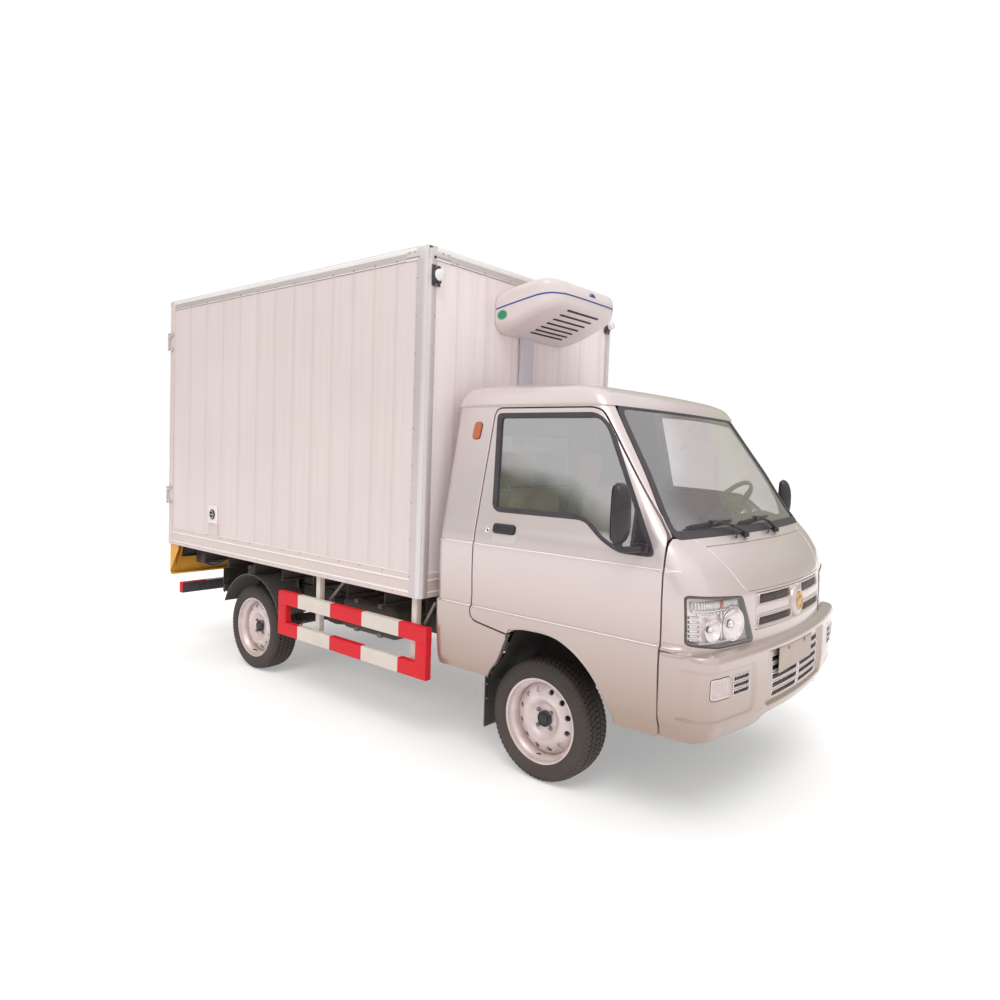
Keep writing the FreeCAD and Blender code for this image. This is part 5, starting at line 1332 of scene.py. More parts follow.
def make_bumper():
    lower_slots = []
    for k in range(5):
        z0 = 0.492 + k * 0.038
        for side in (RIGHT, LEFT):
            corners = [(side * 12, z0 * 1000), (side * (296 - 4 * (4 - k)), z0 * 1000),
                       (side * (298 - 4 * (4 - k)), z0 * 1000 + 24), (side * 12, z0 * 1000 + 24)]
            lower_slots.append(BUMPER.front(corners, 6))
    fog = {side: BUMPER.front([(side * y, z) for y, z in ((745, 571), (745, 651), (640, 651), (634, 571))],
                              12)
           for side in (RIGHT, LEFT)}
    side_slots = []
    for side in (RIGHT, LEFT):
        for k in range(3):
            z0 = 574 + k * 27
            corners = [(side * 615, z0), (side * 502, z0), (side * 502, z0 + 17), (side * 615, z0 + 17)]
            side_slots.append(BUMPER.front(corners, 6))
    holes = lower_slots + side_slots + [moved_out(f, 0.002) for f in fog.values()]
    rows = (0.462, 0.470, 0.478, 0.485, 0.690, 0.698, 0.706, 0.712, 0.716, 0.726, 0.730)
    shell = sheet(BUMPER, bumper_outline(), "paint", holes, 0.020, 0.0, 0.004, 0.016, rows,
                  lining="seam", curl=4)
    # ledge between the bumper's top and the panel behind it
    span = BUMPER.s_at([0.6225], [0.735], "x")[0]
    s = np.linspace(-span, span, 200)
    outer, _ = BUMPER.point(s * 0.9995, np.full(200, 0.7345), -0.002)
    inner_s = s * (CAB.s_at([0.6225], [0.735], "x")[0] / span)
    inner, _ = CAB.point(inner_s, np.full(200, 0.745), -0.006)
    shell.add(np.concatenate([outer, inner]), [(i, i + 1, 200 + i + 1, 200 + i) for i in range(199)], "paint")
    # dark sheet behind the openings: painted shade
    back = sheet(BUMPER, moved_out(bumper_outline(), -0.02), "slot", [], 0.002, -0.026, 0.001, 0.04)
    shell.join(back)
    for slot in lower_slots:
        shell.join(strip(BUMPER, slot, "satin", 0.006, 0.006, -0.001, 0.000, 8))
    for slot in side_slots:
        shell.join(strip(BUMPER, slot, "satin", 0.005, 0.005, -0.001, -0.001, 6))
        low, high = np.array(slot).min(0), np.array(slot).max(0)
        for t in np.linspace(0.08, 0.92, 9):
            s = low[0] + (high[0] - low[0]) * t
            p, _ = BUMPER.point(np.full(3, s), np.linspace(low[1], high[1], 3), -0.010)
            shell.join(tube([tuple(q) for q in p], 0.0022, "satin", 6))
    for side, outline in fog.items():
        shell.join(fog_lamp(outline))
    shell.join(number_plate())
    shell.make("bumper_shell", "chassis", "cab_paint", "front_bumper")


def fog_lamp(outline):
    """Clear cover over a fluted reflector."""
    shape = sheet(BUMPER, outline, "fog", [], 0.003, 0.001, 0.003, 0.016)
    shape.join(strip(BUMPER, outline, "satin", 0.005, 0.005, 0.002, 0.002, 6))
    low, high = np.array(outline).min(0), np.array(outline).max(0)
    for t in np.linspace(0.1, 0.9, 7):
        s = low[0] + (high[0] - low[0]) * t
        z = np.linspace(low[1] + 0.010, high[1] - 0.010, 6)
        p, _ = BUMPER.point(np.full(6, s), z, 0.0008)
        shape.join(tube([tuple(q) for q in p], 0.0032, "fog", 6))
    return shape


def number_plate():
    """Blank plate on two screws, a little off the middle."""
    shape = Shape()
    y0, y1, z0, z1 = -0.253, 0.161, 0.590, 0.700
    p, _ = BUMPER.point(BUMPER.s_at([0.046], [0.645], "y") * -1, [0.645], 0.002)
    x = float(p[0][0]) + 0.004
    shape.join(block((x - 0.003, y0, z0), (x, y1, z1), "plate", 0.0012))
    shape.join(block((x - 0.001, y0 + 0.006, z0 + 0.006), (x + 0.0012, y1 - 0.006, z1 - 0.006), "plate",
                     0.001))
    for y in (y0 + 0.105, y1 - 0.105):
        bolt = lathe([(0.009, 0.0), (0.009, 0.003), (0.006, 0.004), (0.0005, 0.004)], "steel", 6, "X",
                     (x, y, z1 - 0.017), smooth=False)
        shape.join(bolt)
        shape.join(block((x - 0.030, y - 0.012, z1 - 0.030), (x - 0.003, y + 0.012, z1 - 0.006), "steel",
                         0.002))
    return shape


# ---------------------------------------------------------------- wheels

def tyre_profile():
    """Half section of the tyre: (radius, distance from the wheel's middle) from bead to tread edge."""
    half = 0.084
    return [(0.1835, 0.066), (0.188, 0.072), (0.196, 0.0755), (0.205, 0.079), (0.2055, 0.0800),
            (0.2075, 0.0800), (0.208, 0.0795), (0.220, 0.0822), (0.2305, half), (0.231, 0.0848),
            (0.2325, 0.0848), (0.233, half), (0.245, 0.0815), (0.2475, 0.0808), (0.248, 0.0798),
            (0.256, 0.0765), (0.262, 0.073), (0.2665, 0.0675), (0.2695, 0.062)]


def make_tyre(name, body, axle_x, side):
    """Carcass with ribs on the sidewall, and a tread of zigzag grooves and shoulder lugs."""
    shape = Shape()
    centre = (axle_x, side * WHEEL_Y, WHEEL_Z)
    right_half = tyre_profile()
    profile = right_half + [(0.2655, 0.060), (0.2655, -0.060)] + [(r, -a) for r, a in right_half[::-1]]
    shape.join(lathe(profile, "tyre", 96, "Y", centre))
    inner = [(0.1835, -0.066), (0.180, -0.060), (0.180, 0.060), (0.1835, 0.066)]
    shape.join(lathe(inner, "tyre", 48, "Y", centre))
    pitches = 72
    rows = ((-0.0705, -0.0490), (-0.0445, -0.0175), (-0.0130, 0.0130), (0.0175, 0.0445), (0.0490, 0.0705))
    radius_of = {0: (0.2665, 0.2722), 1: (0.2735, 0.2744), 2: (0.2748, 0.2748), 3: (0.2744, 0.2735),
                 4: (0.2722, 0.2665)}
    for row, (a0, a1) in enumerate(rows):
        lean = (0.35, 0.5, 0.0, -0.5, -0.35)[row]
        for k in range(pitches):
            start = 2 * math.pi * (k + (0.5 if row % 2 else 0)) / pitches
            span = 2 * math.pi / pitches * (0.80 if row in (0, 4) else 0.86)
            shape.join(tread_block(centre, start, span, a0, a1, radius_of[row], lean))
    # shoulder buttresses that run down from the lugs
    for k in range(pitches):
        for sgn in (-1, 1):
            start = 2 * math.pi * k / pitches
            span = 2 * math.pi / pitches * 0.62
            shape.join(buttress(centre, start, span, sgn))
    shape.make(f"{name}_looks", body, "tyre", name, sharp=40)


def polar(centre, radius, angle, along):
    return (centre[0] + radius * math.cos(angle), centre[1] + along, centre[2] + radius * math.sin(angle))


def tread_block(centre, start, span, a0, a1, radii, lean):
    shape = Shape()
    shift = span * lean
    low = 0.2650
    inset, drop = 0.0012, 0.0012
    points = []
    for (a, r, s) in ((a0, radii[0], 0.0), (a1, radii[1], shift)):
        points += [polar(centre, low, start + s, a), polar(centre, r - drop, start + s, a),
                   polar(centre, r, start + s + inset / r, a + (inset if a == a0 else -inset)),
                   polar(centre, r, start + s + span - inset / r, a + (inset if a == a0 else -inset)),
                   polar(centre, r - drop, start + s + span, a), polar(centre, low, start + s + span, a)]
    faces = [(i, i + 1, 6 + i + 1, 6 + i) for i in range(5)]
    faces += [(0, 5, 4, 1), (1, 4, 3, 2), (6, 7, 10, 11), (7, 8, 9, 10)]
    shape.add(points, faces, "tyre", False)
    return shape


def buttress(centre, start, span, sgn):
    shape = Shape()
    stations = ((0.2660, 0.0700), (0.2560, 0.0775), (0.2500, 0.0800))
    points = []
    for r, a in stations:
        lift = 0.0016 if r > 0.2505 else 0.0
        points += [polar(centre, r, start, sgn * a), polar(centre, r + lift * 0.5, start + 0.003,
                                                           sgn * (a + lift)),
                   polar(centre, r + lift * 0.5, start + span - 0.003, sgn * (a + lift)),
                   polar(centre, r, start + span, sgn * a)]
    faces = []
    for i in range(2):
        for k in range(3):
            faces.append((i * 4 + k, i * 4 + k + 1, (i + 1) * 4 + k + 1, (i + 1) * 4 + k))
    if sgn < 0:
        faces = [f[::-1] for f in faces]
    shape.add(points, faces, "tyre", False)
    return shape


def make_rim(name, body, axle_x, side):
    """Pressed steel wheel: barrel, dished disc with twelve vents, four nuts and a hub cap."""
    shape = Shape()
    centre = Vector((axle_x, side * WHEEL_Y, WHEEL_Z))
    place = Matrix.Translation(centre) @ Matrix.Scale(side, 4, (0, 1, 0))
    barrel = [(0.1900, 0.0700), (0.1925, 0.0725), (0.1920, 0.0755), (0.1880, 0.0765), (0.1835, 0.0735),
              (0.1815, 0.0640), (0.1780, 0.0560), (0.1740, 0.0500), (0.1660, 0.0420), (0.1640, 0.0300),
              (0.1640, -0.0400), (0.1700, -0.0520), (0.1800, -0.0600), (0.1835, -0.0720), (0.1900, -0.0740),
              (0.1905, -0.0700), (0.1840, -0.0560), (0.1690, -0.0480), (0.1680, 0.0300), (0.1690, 0.0400),
              (0.1800, 0.0520), (0.1840, 0.0620), (0.1900, 0.0700)]
    shape.join(lathe(barrel, "rim", 96), place)
    shape.join(disc_with_vents(), place)
    # valve, nuts and cap
    for k in range(4):
        a = math.pi / 4 + k * math.pi / 2
        at = Matrix.Translation((0.050 * math.cos(a), 0.0235, 0.050 * math.sin(a)))
        cone = [(0.0125, -0.003), (0.0115, 0.003), (0.0095, 0.003), (0.0095, 0.004)]
        shape.join(lathe(cone, "rim", 20), place @ at)
        shape.join(lathe([(0.0098, 0.002), (0.0098, 0.013), (0.0085, 0.0145), (0.0075, 0.0150),
                          (0.0005, 0.0155)], "steel", 6, smooth=False), place @ at)
    cap = [(0.0360, 0.020), (0.0360, 0.036), (0.0335, 0.0385), (0.0300, 0.0390), (0.0290, 0.0350),
           (0.0260, 0.0350), (0.0250, 0.0400), (0.0220, 0.0425), (0.0005, 0.0435)]
    shape.join(lathe(cap, "plastic", 40), place)
    for k in range(8):
        a = k * math.pi / 4
        rib = block((-0.003, 0.034, 0.014), (0.003, 0.0445, 0.0235), "plastic", 0.001)
        shape.join(rib, place @ Matrix.Rotation(a, 4, "Y"))
    valve = tube([(0.0, 0.050, -0.160), (0.0, 0.060, -0.152), (0.0, 0.078, -0.147)], 0.0035, "rubber", 8)
    shape.join(valve, place)
    shape.make(f"{name}_looks", body, "rim_silver", name, sharp=40)


def disc_with_vents():
    """Dished disc: circular bands, with twelve round windows near the rim."""
    shape = Shape()
    vents, vent_at, vent_r = 12, 0.1330, 0.0125
    def depth(r):
        table = [(0.030, 0.022), (0.036, 0.0225), (0.062, 0.0225), (0.070, 0.0265), (0.078, 0.0345),
                 (0.088, 0.0420), (0.098, 0.0455), (0.108, 0.0450), (0.118, 0.0415), (0.128, 0.0370),
                 (0.140, 0.0300), (0.152, 0.0215), (0.160, 0.0150), (0.1660, 0.0080)]
        xs, ys = zip(*table)
        return float(np.interp(r, xs, ys))
    # inner bands up to the vent ring
    bands = [0.030, 0.034, 0.040, 0.050, 0.060, 0.066, 0.071, 0.077, 0.083, 0.090, 0.097, 0.104, 0.110,
             0.1145]
    steps = 96
    shape.join(lathe([(r, depth(r)) for r in bands], "rim", steps))
    outer = [0.1515, 0.156, 0.160, 0.1645]
    shape.join(lathe([(r, depth(r)) for r in outer], "rim", steps))
    # vent ring: a plane triangulation with holes
    loops = [[(0.1515 * math.cos(2 * math.pi * i / steps), 0.1515 * math.sin(2 * math.pi * i / steps))
              for i in range(steps)],
             [(0.1145 * math.cos(-2 * math.pi * i / steps), 0.1145 * math.sin(-2 * math.pi * i / steps))
              for i in range(steps)]]
    for k in range(vents):
        a = 2 * math.pi * (k + 0.5) / vents
        cx, cz = vent_at * math.cos(a), vent_at * math.sin(a)
        loops.append([(cx + (vent_r * 1.0 * math.cos(b) * math.cos(a) - vent_r * 1.12 * math.sin(b) * math.sin(a)),
                       cz + (vent_r * 1.0 * math.cos(b) * math.sin(a) + vent_r * 1.12 * math.sin(b) * math.cos(a)))
                      for b in (-2 * math.pi * i / 28 for i in range(28))])
    flat, triangles, _ = filled(loops, 0.0075)
    points = [(x, depth(math.hypot(x, z)), z) for x, z in flat]
    shape.add(points, [tuple(t[::-1]) for t in triangles.tolist()], "rim")
    for loop in loops[2:]:
        count = len(loop)
        top = [(x, depth(math.hypot(x, z)), z) for x, z in loop]
        centre = np.mean(np.array(loop), axis=0)
        rings = [top]
        for shrink, drop in ((0.97, 0.0018), (0.93, 0.0030), (0.93, 0.0100)):
            rings.append([(centre[0] + (x - centre[0]) * shrink,
                           depth(math.hypot(x, z)) - drop, centre[1] + (z - centre[1]) * shrink)
                          for x, z in loop])
        faces = [(r * count + i, r * count + (i + 1) % count, (r + 1) * count + (i + 1) % count,
                  (r + 1) * count + i) for r in range(3) for i in range(count)]
        shape.add([p for ring in rings for p in ring], faces, "rim")
    back = [(0.1645, 0.004), (0.150, 0.012), (0.1475, 0.0195)]
    shape.join(lathe(back, "rim", 48))
    # brake drum seen through the vents
    shape.join(lathe([(0.0300, 0.0), (0.1080, -0.004), (0.1120, -0.012), (0.1120, -0.060), (0.030, -0.062)],
                     "steel", 48))
    shape.join(lathe([(0.0005, 0.0225), (0.031, 0.0222)], "rim", 24))
    return shape


# ---------------------------------------------------------------- cargo box

def rivets_along(shape, start, end, pitch, outward, finish="alloy", radius=0.0042):
    """A row of domed rivets."""
    start, end, outward = Vector(start), Vector(end), Vector(outward)
    count = max(1, int((end - start).length / pitch))
    turn = Vector((0, 1, 0)).rotation_difference(outward).to_matrix().to_4x4()
    dome = lathe([(radius, 0.0), (radius * 0.85, radius * 0.38), (radius * 0.45, radius * 0.6),
                  (0.0003, radius * 0.66)], finish, 8)
    for i in range(count + 1):
        place = start + (end - start) * i / count
        shape.join(dome, Matrix.Translation(place) @ turn)


def panel_ribs(where, terms, deep=0.0014):
    """Shallow flute of the moulded panel at each rib: outward offset across its width."""
    count = sum(term * where ** power for power, term in enumerate(terms))
    return deep * (0.5 + 0.5 * np.cos(2 * math.pi * count)) ** 6


def wave_sheet(across, heights, place, finish, flip):
    """A panel of straight columns: place gives the point for a column and a height."""
    n = len(across)
    shape = Shape()
    faces = [(i * n + j, i * n + j + 1, (i + 1) * n + j + 1, (i + 1) * n + j)
             for i in range(len(heights) - 1) for j in range(n - 1)]
    shape.add([place(j, z) for z in heights for j in range(n)],
              [f[::-1] for f in faces] if flip else faces, finish)
    return shape


def make_box_walls():
    """Side and front panels with shallow flutes."""
    x0, x1 = BOX_BACK + 0.060, BOX_FRONT - 0.004
    z0, z1 = BOX_BASE + 0.002, BOX_TOP - 0.004
    out = BOX_HALF - 0.004
    heights = np.linspace(z0, z1, 9)
    xs = np.linspace(x0, x1, 300)
    flutes = panel_ribs(xs, SIDE_RIBS)
    for name, side in SIDES:
        shape = wave_sheet(xs, heights, lambda j, z: (xs[j], side * (out - 0.0022 + flutes[j]), z),
                           "box", side > 0)
        ya, yb = sorted((side * (out - 0.0045), side * (out - 0.060)))
        shape.join(block((x0, ya, z0), (x1, yb, z1), "box_plain", 0.001, 1))
        if side < 0:
            shape.join(side_fitting())
        shape.make(f"box_wall_{name}", "chassis", "box_white", f"cargo_wall_{name}")
    ys = np.linspace(-BOX_HALF + 0.064, BOX_HALF - 0.064, 220)
    waves = panel_ribs(ys, FRONT_RIBS)
    shape = wave_sheet(ys, heights, lambda j, z: (x1 - 0.0022 + waves[j], ys[j], z), "box_front", False)
    shape.join(block((x1 - 0.060, ys[0], z0), (x1 - 0.0045, ys[-1], z1 - 0.06), "box_plain", 0.001, 1))
    shape.make("box_front_wall", "chassis", "box_white", "cargo_front_wall")


def side_fitting():
    """Small framed latch plate low on the right wall, with a strip below it."""
    shape = Shape()
    y = -(BOX_HALF - 0.004)
    x, z = BOX_BACK + 0.640, BOX_BASE + 0.262
    shape.join(block((x - 0.056, y - 0.006, z - 0.060), (x + 0.056, y + 0.002, z + 0.060), "bright_rail",
                     0.003))
    shape.join(block((x - 0.046, y - 0.0075, z - 0.050), (x + 0.046, y - 0.003, z + 0.050), "box_plain",
                     0.002))
    ring = [(0.034, 0.0), (0.034, 0.006), (0.028, 0.009), (0.022, 0.009), (0.019, 0.002), (0.0004, 0.002)]
    # the ring's middle is near-black painted shade in its hole
    shape.join(lathe(ring, ["plastic", "plastic", "alloy", "plastic", "seam"], 32),
               Matrix.Translation((x, y - 0.007, z)) @ Matrix.Rotation(math.pi, 4, "Z"))
    shape.join(block((x - 0.012, y - 0.017, z - 0.005), (x + 0.012, y - 0.008, z + 0.005), "alloy", 0.003))
    shape.join(block((x - 0.066, y - 0.003, BOX_BASE + 0.122), (x + 0.066, y + 0.001, z - 0.061), "rail",
                     0.001))
    return shape


def make_box_roof():
    shape = block((BOX_BACK + 0.060, -BOX_HALF + 0.008, BOX_TOP - 0.064),
                  (BOX_FRONT - 0.004, BOX_HALF - 0.008, BOX_TOP - 0.004), "box_plain", 0.002)
    for k in range(6):
        x = BOX_BACK + 0.35 + k * 0.40
        shape.join(block((x - 0.014, -BOX_HALF + 0.07, BOX_TOP - 0.006), (x + 0.014, BOX_HALF - 0.07,
                                                                          BOX_TOP - 0.001),
                         "box_plain", 0.002))
    shape.make("box_roof", "chassis", "box_white", "cargo_roof")
    base = block((BOX_BACK + 0.060, -BOX_HALF + 0.064, BOX_BASE + 0.0005),
                 (BOX_FRONT - 0.064, BOX_HALF - 0.064, BOX_BASE + 0.066), "box_plain", 0.002)
    for k in range(19):
        y = -BOX_HALF + 0.10 + k * (2 * BOX_HALF - 0.20) / 18
        base.join(block((BOX_BACK + 0.075, y - 0.016, BOX_BASE + 0.065), (BOX_FRONT - 0.080, y + 0.016,
                                                                          BOX_BASE + 0.070),
                        "alloy", 0.0015, 1))
    base.make("box_floor", "chassis", "box_white", "cargo_floor")


def make_trims():
    """Extruded rails, corner posts, corner caps and their rivets."""
    shape = Shape()
    back, front = BOX_BACK + 0.058, BOX_FRONT
    base, top, half = BOX_BASE, BOX_TOP, BOX_HALF
    # heights of a rail's bands, how far each lies below the outer face, finish and edge radius
    low_bands = ((0.000, 0.125, 0.0050, "rail", 0.001), (0.000, 0.024, 0.0015, "rail", 0.003),
                 (0.023, 0.032, 0.0000, "bright_rail", 0.003), (0.084, 0.094, 0.0000, "bright_rail", 0.003),
                 (0.093, 0.125, 0.0022, "rail", 0.002), (0.122, 0.126, 0.0014, "bright_rail", 0.0015))
    # the lowest band is a painted shadow line under the top rail
    high_bands = ((-0.0670, -0.060, 0.0034, "line", 0.0005), (-0.0635, 0.000, 0.0030, "alloy", 0.002),
                  (-0.0635, -0.0590, 0.0016, "bright_rail", 0.002), (-0.0290, 0.000, 0.0000, "bright_rail",
                                                                     0.010))
    for s in (RIGHT, LEFT):
        def slab(x0, x1, y_in, y_out, z0, z1, finish="alloy", edge=0.0015):
            y0, y1 = sorted((s * y_in, s * y_out))
            shape.join(block((x0, y0, z0), (x1, y1, z1), finish, edge, 3))
        def on_side(x0, x1, z0, z1, pitch, radius=0.0042):
            rivets_along(shape, (x0, s * (half - 0.0018), z0), (x1, s * (half - 0.0018), z1), pitch,
                    (0, s, 0),
                         "rivet", radius)
        for z0, z1, deep, finish, edge in low_bands:
            slab(back, front - 0.080, half - 0.008, half - deep, base + z0, base + z1, finish, edge)
        for z0, z1, deep, finish, edge in high_bands:
            slab(back, front - 0.076, half - 0.024, half - deep, top + z0, top + z1, finish, edge)
        slab(back, front, half - 0.068, half - 0.006, top - 0.004, top - 0.0005, "bright_rail")
        # corner post: a flange on each wall and a rolled bead between them
        slab(front - 0.084, front - 0.020, half - 0.006, half - 0.0018, base, top - 0.060, "alloy")
        slab(front - 0.006, front - 0.0018, half - 0.060, half - 0.020, base, top - 0.060, "alloy")
        shape.join(tube([(front - 0.0265, s * (half - 0.0265), base + 0.001),
                         (front - 0.0265, s * (half - 0.0265), top - 0.060)], 0.0262, "bead", 36))
        on_side(front - 0.079, front - 0.079, base + 0.105, top - 0.155, 0.172)
        rivets_along(shape, (front - 0.0018, s * (half - 0.053), base + 0.105),
                     (front - 0.0018, s * (half - 0.053), top - 0.155), 0.172, (1, 0, 0), "rivet")
        corner_cap(shape, front, s, half, top)
        for x in rib_places(SIDE_RIBS, back + 0.04, front - 0.14):
            on_side(x, x, top - 0.0555, top - 0.0555, 1, 0.0048)
        on_side(front - 2.482, front - 0.286, base + 0.114, base + 0.114, 0.18299)
        on_side(front - 2.397, front - 0.201, base + 0.016, base + 0.016, 0.18299)
    def across(z0, z1, deep, finish, edge, inset=0.056):
        shape.join(block((front - 0.010, -half + inset, z0), (front - deep, half - inset, z1), finish, edge))
    for z0, z1, deep, finish, edge in low_bands:
        across(base + z0, base + z1, deep, finish, edge)
    for z0, z1, deep, finish, edge in high_bands:
        across(top + z0, top + z1, deep, finish, edge)
    shape.join(block((front - 0.068, -half + 0.01, top - 0.004), (front - 0.006, half - 0.01, top - 0.0005),
                     "bright_rail", 0.0015))
    rivets_along(shape, (front - 0.0018, -half + 0.20, top - 0.0555), (front - 0.0018, half - 0.20,
                                                                       top - 0.0555),
                 0.205, (1, 0, 0), "rivet", 0.0048)
    shape.make("box_trims", "chassis", "rail_aluminium", "cargo_trims")


def rib_places(terms, start, end):
    """Where whole ribs fall between two stations along a wall."""
    fine = np.linspace(start, end, 4000)
    count = sum(term * fine ** power for power, term in enumerate(terms))
    return [float(fine[i]) for i in np.nonzero(np.floor(count[1:]) > np.floor(count[:-1]))[0]]


def corner_cap(shape, front, s, half, top):
    """Cast cap over a top corner, with a tongue along each rail, lips below them and a painted shadow line under
    each tongue.
    """
    def lump(x0, x1, ya, yb, z0, z1, edge, finish="bead"):
        y0, y1 = sorted((s * ya, s * yb))
        shape.join(block((x0, y0, z0), (x1, y1, z1), finish, edge, 6))
    lump(front - 0.078, front - 0.0002, half - 0.054, half - 0.0002, top - 0.079, top - 0.0002, 0.024)
    lump(front - 0.165, front - 0.030, half - 0.070, half - 0.0004, top - 0.049, top - 0.0006, 0.009)
    lump(front - 0.070, front - 0.0004, half - 0.156, half - 0.030, top - 0.049, top - 0.0006, 0.009)
    lump(front - 0.163, front - 0.080, half - 0.010, half - 0.0010, top - 0.066, top - 0.058, 0.002,
         "bright_rail")
    lump(front - 0.010, front - 0.0010, half - 0.154, half - 0.056, top - 0.066, top - 0.058, 0.002,
         "bright_rail")
    lump(front - 0.163, front - 0.070, half - 0.010, half - 0.0016, top - 0.052, top - 0.0492, 0.001, "line")
    lump(front - 0.010, front - 0.0016, half - 0.154, half - 0.050, top - 0.052, top - 0.0492, 0.001, "line")
    for deep in (0.098, 0.140):
        rivets_along(shape, (front - deep, s * (half - 0.0004), top - 0.026),
                     (front - deep, s * (half - 0.0004), top - 0.026), 1, (0, s, 0), "alloy", 0.005)
        rivets_along(shape, (front - 0.0004, s * (half - deep), top - 0.026),
                     (front - 0.0004, s * (half - deep), top - 0.026), 1, (1, 0, 0), "alloy", 0.005)


def make_rear_frame():
    """Rear portal with hinge ears and a sill plate."""
    shape = Shape()
    x0, x1 = BOX_BACK + 0.002, BOX_BACK + 0.060
    half, base, top, post = BOX_HALF, BOX_BASE, BOX_TOP, 0.045
    for s in (RIGHT, LEFT):
        y0, y1 = sorted((s * (half - post), s * half))
        shape.join(block((x0, y0, base), (x1, y1, top), "rail", 0.003))
        rivets_along(shape, (x0 + 0.030, s * half, base + 0.10), (x0 + 0.030, s * half, top - 0.10), 0.15,
                     (0, s, 0))
        rivets_along(shape, (x0, s * (half - 0.022), base + 0.08), (x0, s * (half - 0.022), top - 0.08),
                     0.15, (-1, 0, 0))
    for z0, z1 in ((base, base + post), (top - post, top)):
        shape.join(block((x0, -half + 0.002, z0), (x1, half - 0.002, z1), "alloy", 0.003))
    shape.join(block((BOX_BACK - 0.016, -half + 0.001, top - 0.038), (x1 + 0.006, half - 0.001, top - 0.0008),
                     "bright_rail", 0.008))
    for z in HINGES:
        for s in (RIGHT, LEFT):
            for a, b in ((z - 0.023, z - 0.001), (z + 0.081, z + 0.103)):
                y0, y1 = sorted((s * half, s * (half + 0.013)))
                shape.join(block((BOX_BACK - 0.015, y0, a), (BOX_BACK + 0.050, y1, b), "alloy", 0.004))
                for x in (0.015, 0.038):
                    rivets_along(shape, (BOX_BACK + x, s * (half + 0.013), (a + b) / 2),
                                 (BOX_BACK + x, s * (half + 0.013), (a + b) / 2), 1, (0, s, 0))
    shape.make("rear_portal", "chassis", "rail_aluminium", "cargo_rear_frame")


HINGES = (BOX_BASE + 0.316, BOX_TOP - 0.328)


def make_cargo_doors():
    """Two insulated leaves with gaskets, bars, cams, handles and strap hinges."""
    for name, s in SIDES:
        shape = Shape()
        outer = BOX_HALF - 0.045 - 0.008
        z0, z1 = BOX_BASE + 0.053, BOX_TOP - 0.053
        def slab(x0, x1, ya, yb, za, zb, finish, edge=0.003):
            y0, y1 = sorted((s * ya, s * yb))
            shape.join(block((x0, y0, za), (x1, y1, zb), finish, edge))
        slab(BOX_BACK, BOX_BACK + 0.060, 0.004, outer, z0, z1, "box_plain", 0.004)
        for ya, yb, za, zb in ((0.004, 0.034, z0, z1), (outer - 0.030, outer, z0, z1),
                (0.004, outer, z0, z0 + 0.030),
                               (0.004, outer, z1 - 0.030, z1)):
            slab(BOX_BACK - 0.0025, BOX_BACK + 0.004, ya, yb, za, zb, "alloy", 0.001)
        # gasket round the leaf
        slab(BOX_BACK + 0.012, BOX_BACK + 0.030, outer - 0.002, outer + 0.004, z0, z1, "rubber", 0.002)
        slab(BOX_BACK + 0.012, BOX_BACK + 0.030, 0.004, outer, z1 - 0.002, z1 + 0.004, "rubber", 0.002)
        slab(BOX_BACK + 0.012, BOX_BACK + 0.030, 0.004, outer, z0 - 0.004, z0 + 0.002, "rubber", 0.002)
        slab(BOX_BACK + 0.010, BOX_BACK + 0.026, 0.0012, 0.006, z0, z1, "rubber", 0.001)
        bar_y, bar_x = BOX_HALF - 0.330, BOX_BACK - 0.015
        shape.join(tube([(bar_x, s * bar_y, z0 - 0.008), (bar_x, s * bar_y, z1 + 0.008)], 0.0105, "alloy",
                        18))
        for z in (BOX_BASE + 0.090, BOX_BASE + 0.560, BOX_BASE + 1.250, BOX_TOP - 0.110):
            slab(BOX_BACK - 0.006, BOX_BACK, bar_y - 0.032, bar_y + 0.032, z, z + 0.036, "alloy", 0.002)
            slab(BOX_BACK - 0.029, BOX_BACK - 0.004, bar_y - 0.016, bar_y + 0.016, z + 0.004, z + 0.032,
                 "alloy", 0.005)
            for dy in (-0.024, 0.024):
                rivets_along(shape, (BOX_BACK - 0.006, s * (bar_y + dy), z + 0.018),
                             (BOX_BACK - 0.006, s * (bar_y + dy), z + 0.018), 1, (-1, 0, 0))
        zh = BOX_BASE + 0.566
        slab(BOX_BACK - 0.026, BOX_BACK - 0.014, 0.062, bar_y, zh + 0.002, zh + 0.024, "alloy", 0.004)
        slab(BOX_BACK - 0.028, BOX_BACK - 0.010, 0.062, 0.170, zh - 0.001, zh + 0.027, "rubber", 0.008)
        slab(BOX_BACK - 0.026, BOX_BACK, 0.180, 0.215, zh - 0.006, zh + 0.032, "alloy", 0.003)
        for z in HINGES:
            slab(BOX_BACK - 0.010, BOX_BACK - 0.0026, BOX_HALF - 0.180, BOX_HALF - 0.004, z + 0.003,
                 z + 0.077, "alloy", 0.004)
            shape.join(tube([(BOX_BACK - 0.008, s * (BOX_HALF + 0.006), z + 0.001),
                             (BOX_BACK - 0.008, s * (BOX_HALF + 0.006), z + 0.079)], 0.008, "alloy", 18))
            for dy in (0.030, 0.090, 0.150):
                for dz in (0.020, 0.060):
                    place = (BOX_BACK - 0.010, s * (BOX_HALF - 0.175 + dy), z + dz)
                    rivets_along(shape, place, place, 1, (-1, 0, 0), "steel", 0.006)
        shape.make(f"box_door_{name}", f"cargo_door_{name}", "box_white", f"cargo_door_{name}")


# ---------------------------------------------------------------- cooling unit

def unit_outline(x):
    """Top and bottom heights of the unit's case at a distance from the wall."""
    top = np.interp(x, [0.0, 0.10, 0.20, 0.30, 0.345, 0.372, 0.388], [2.345, 2.362, 2.378, 2.389, 2.386,
                                                                      2.372, 2.335])
    low = np.interp(x, [0.0, 0.05, 0.15, 0.25, 0.32, 0.355, 0.378, 0.388],
                    [2.120, 2.126, 2.160, 2.200, 2.228, 2.242, 2.264, 2.290])
    return top, low


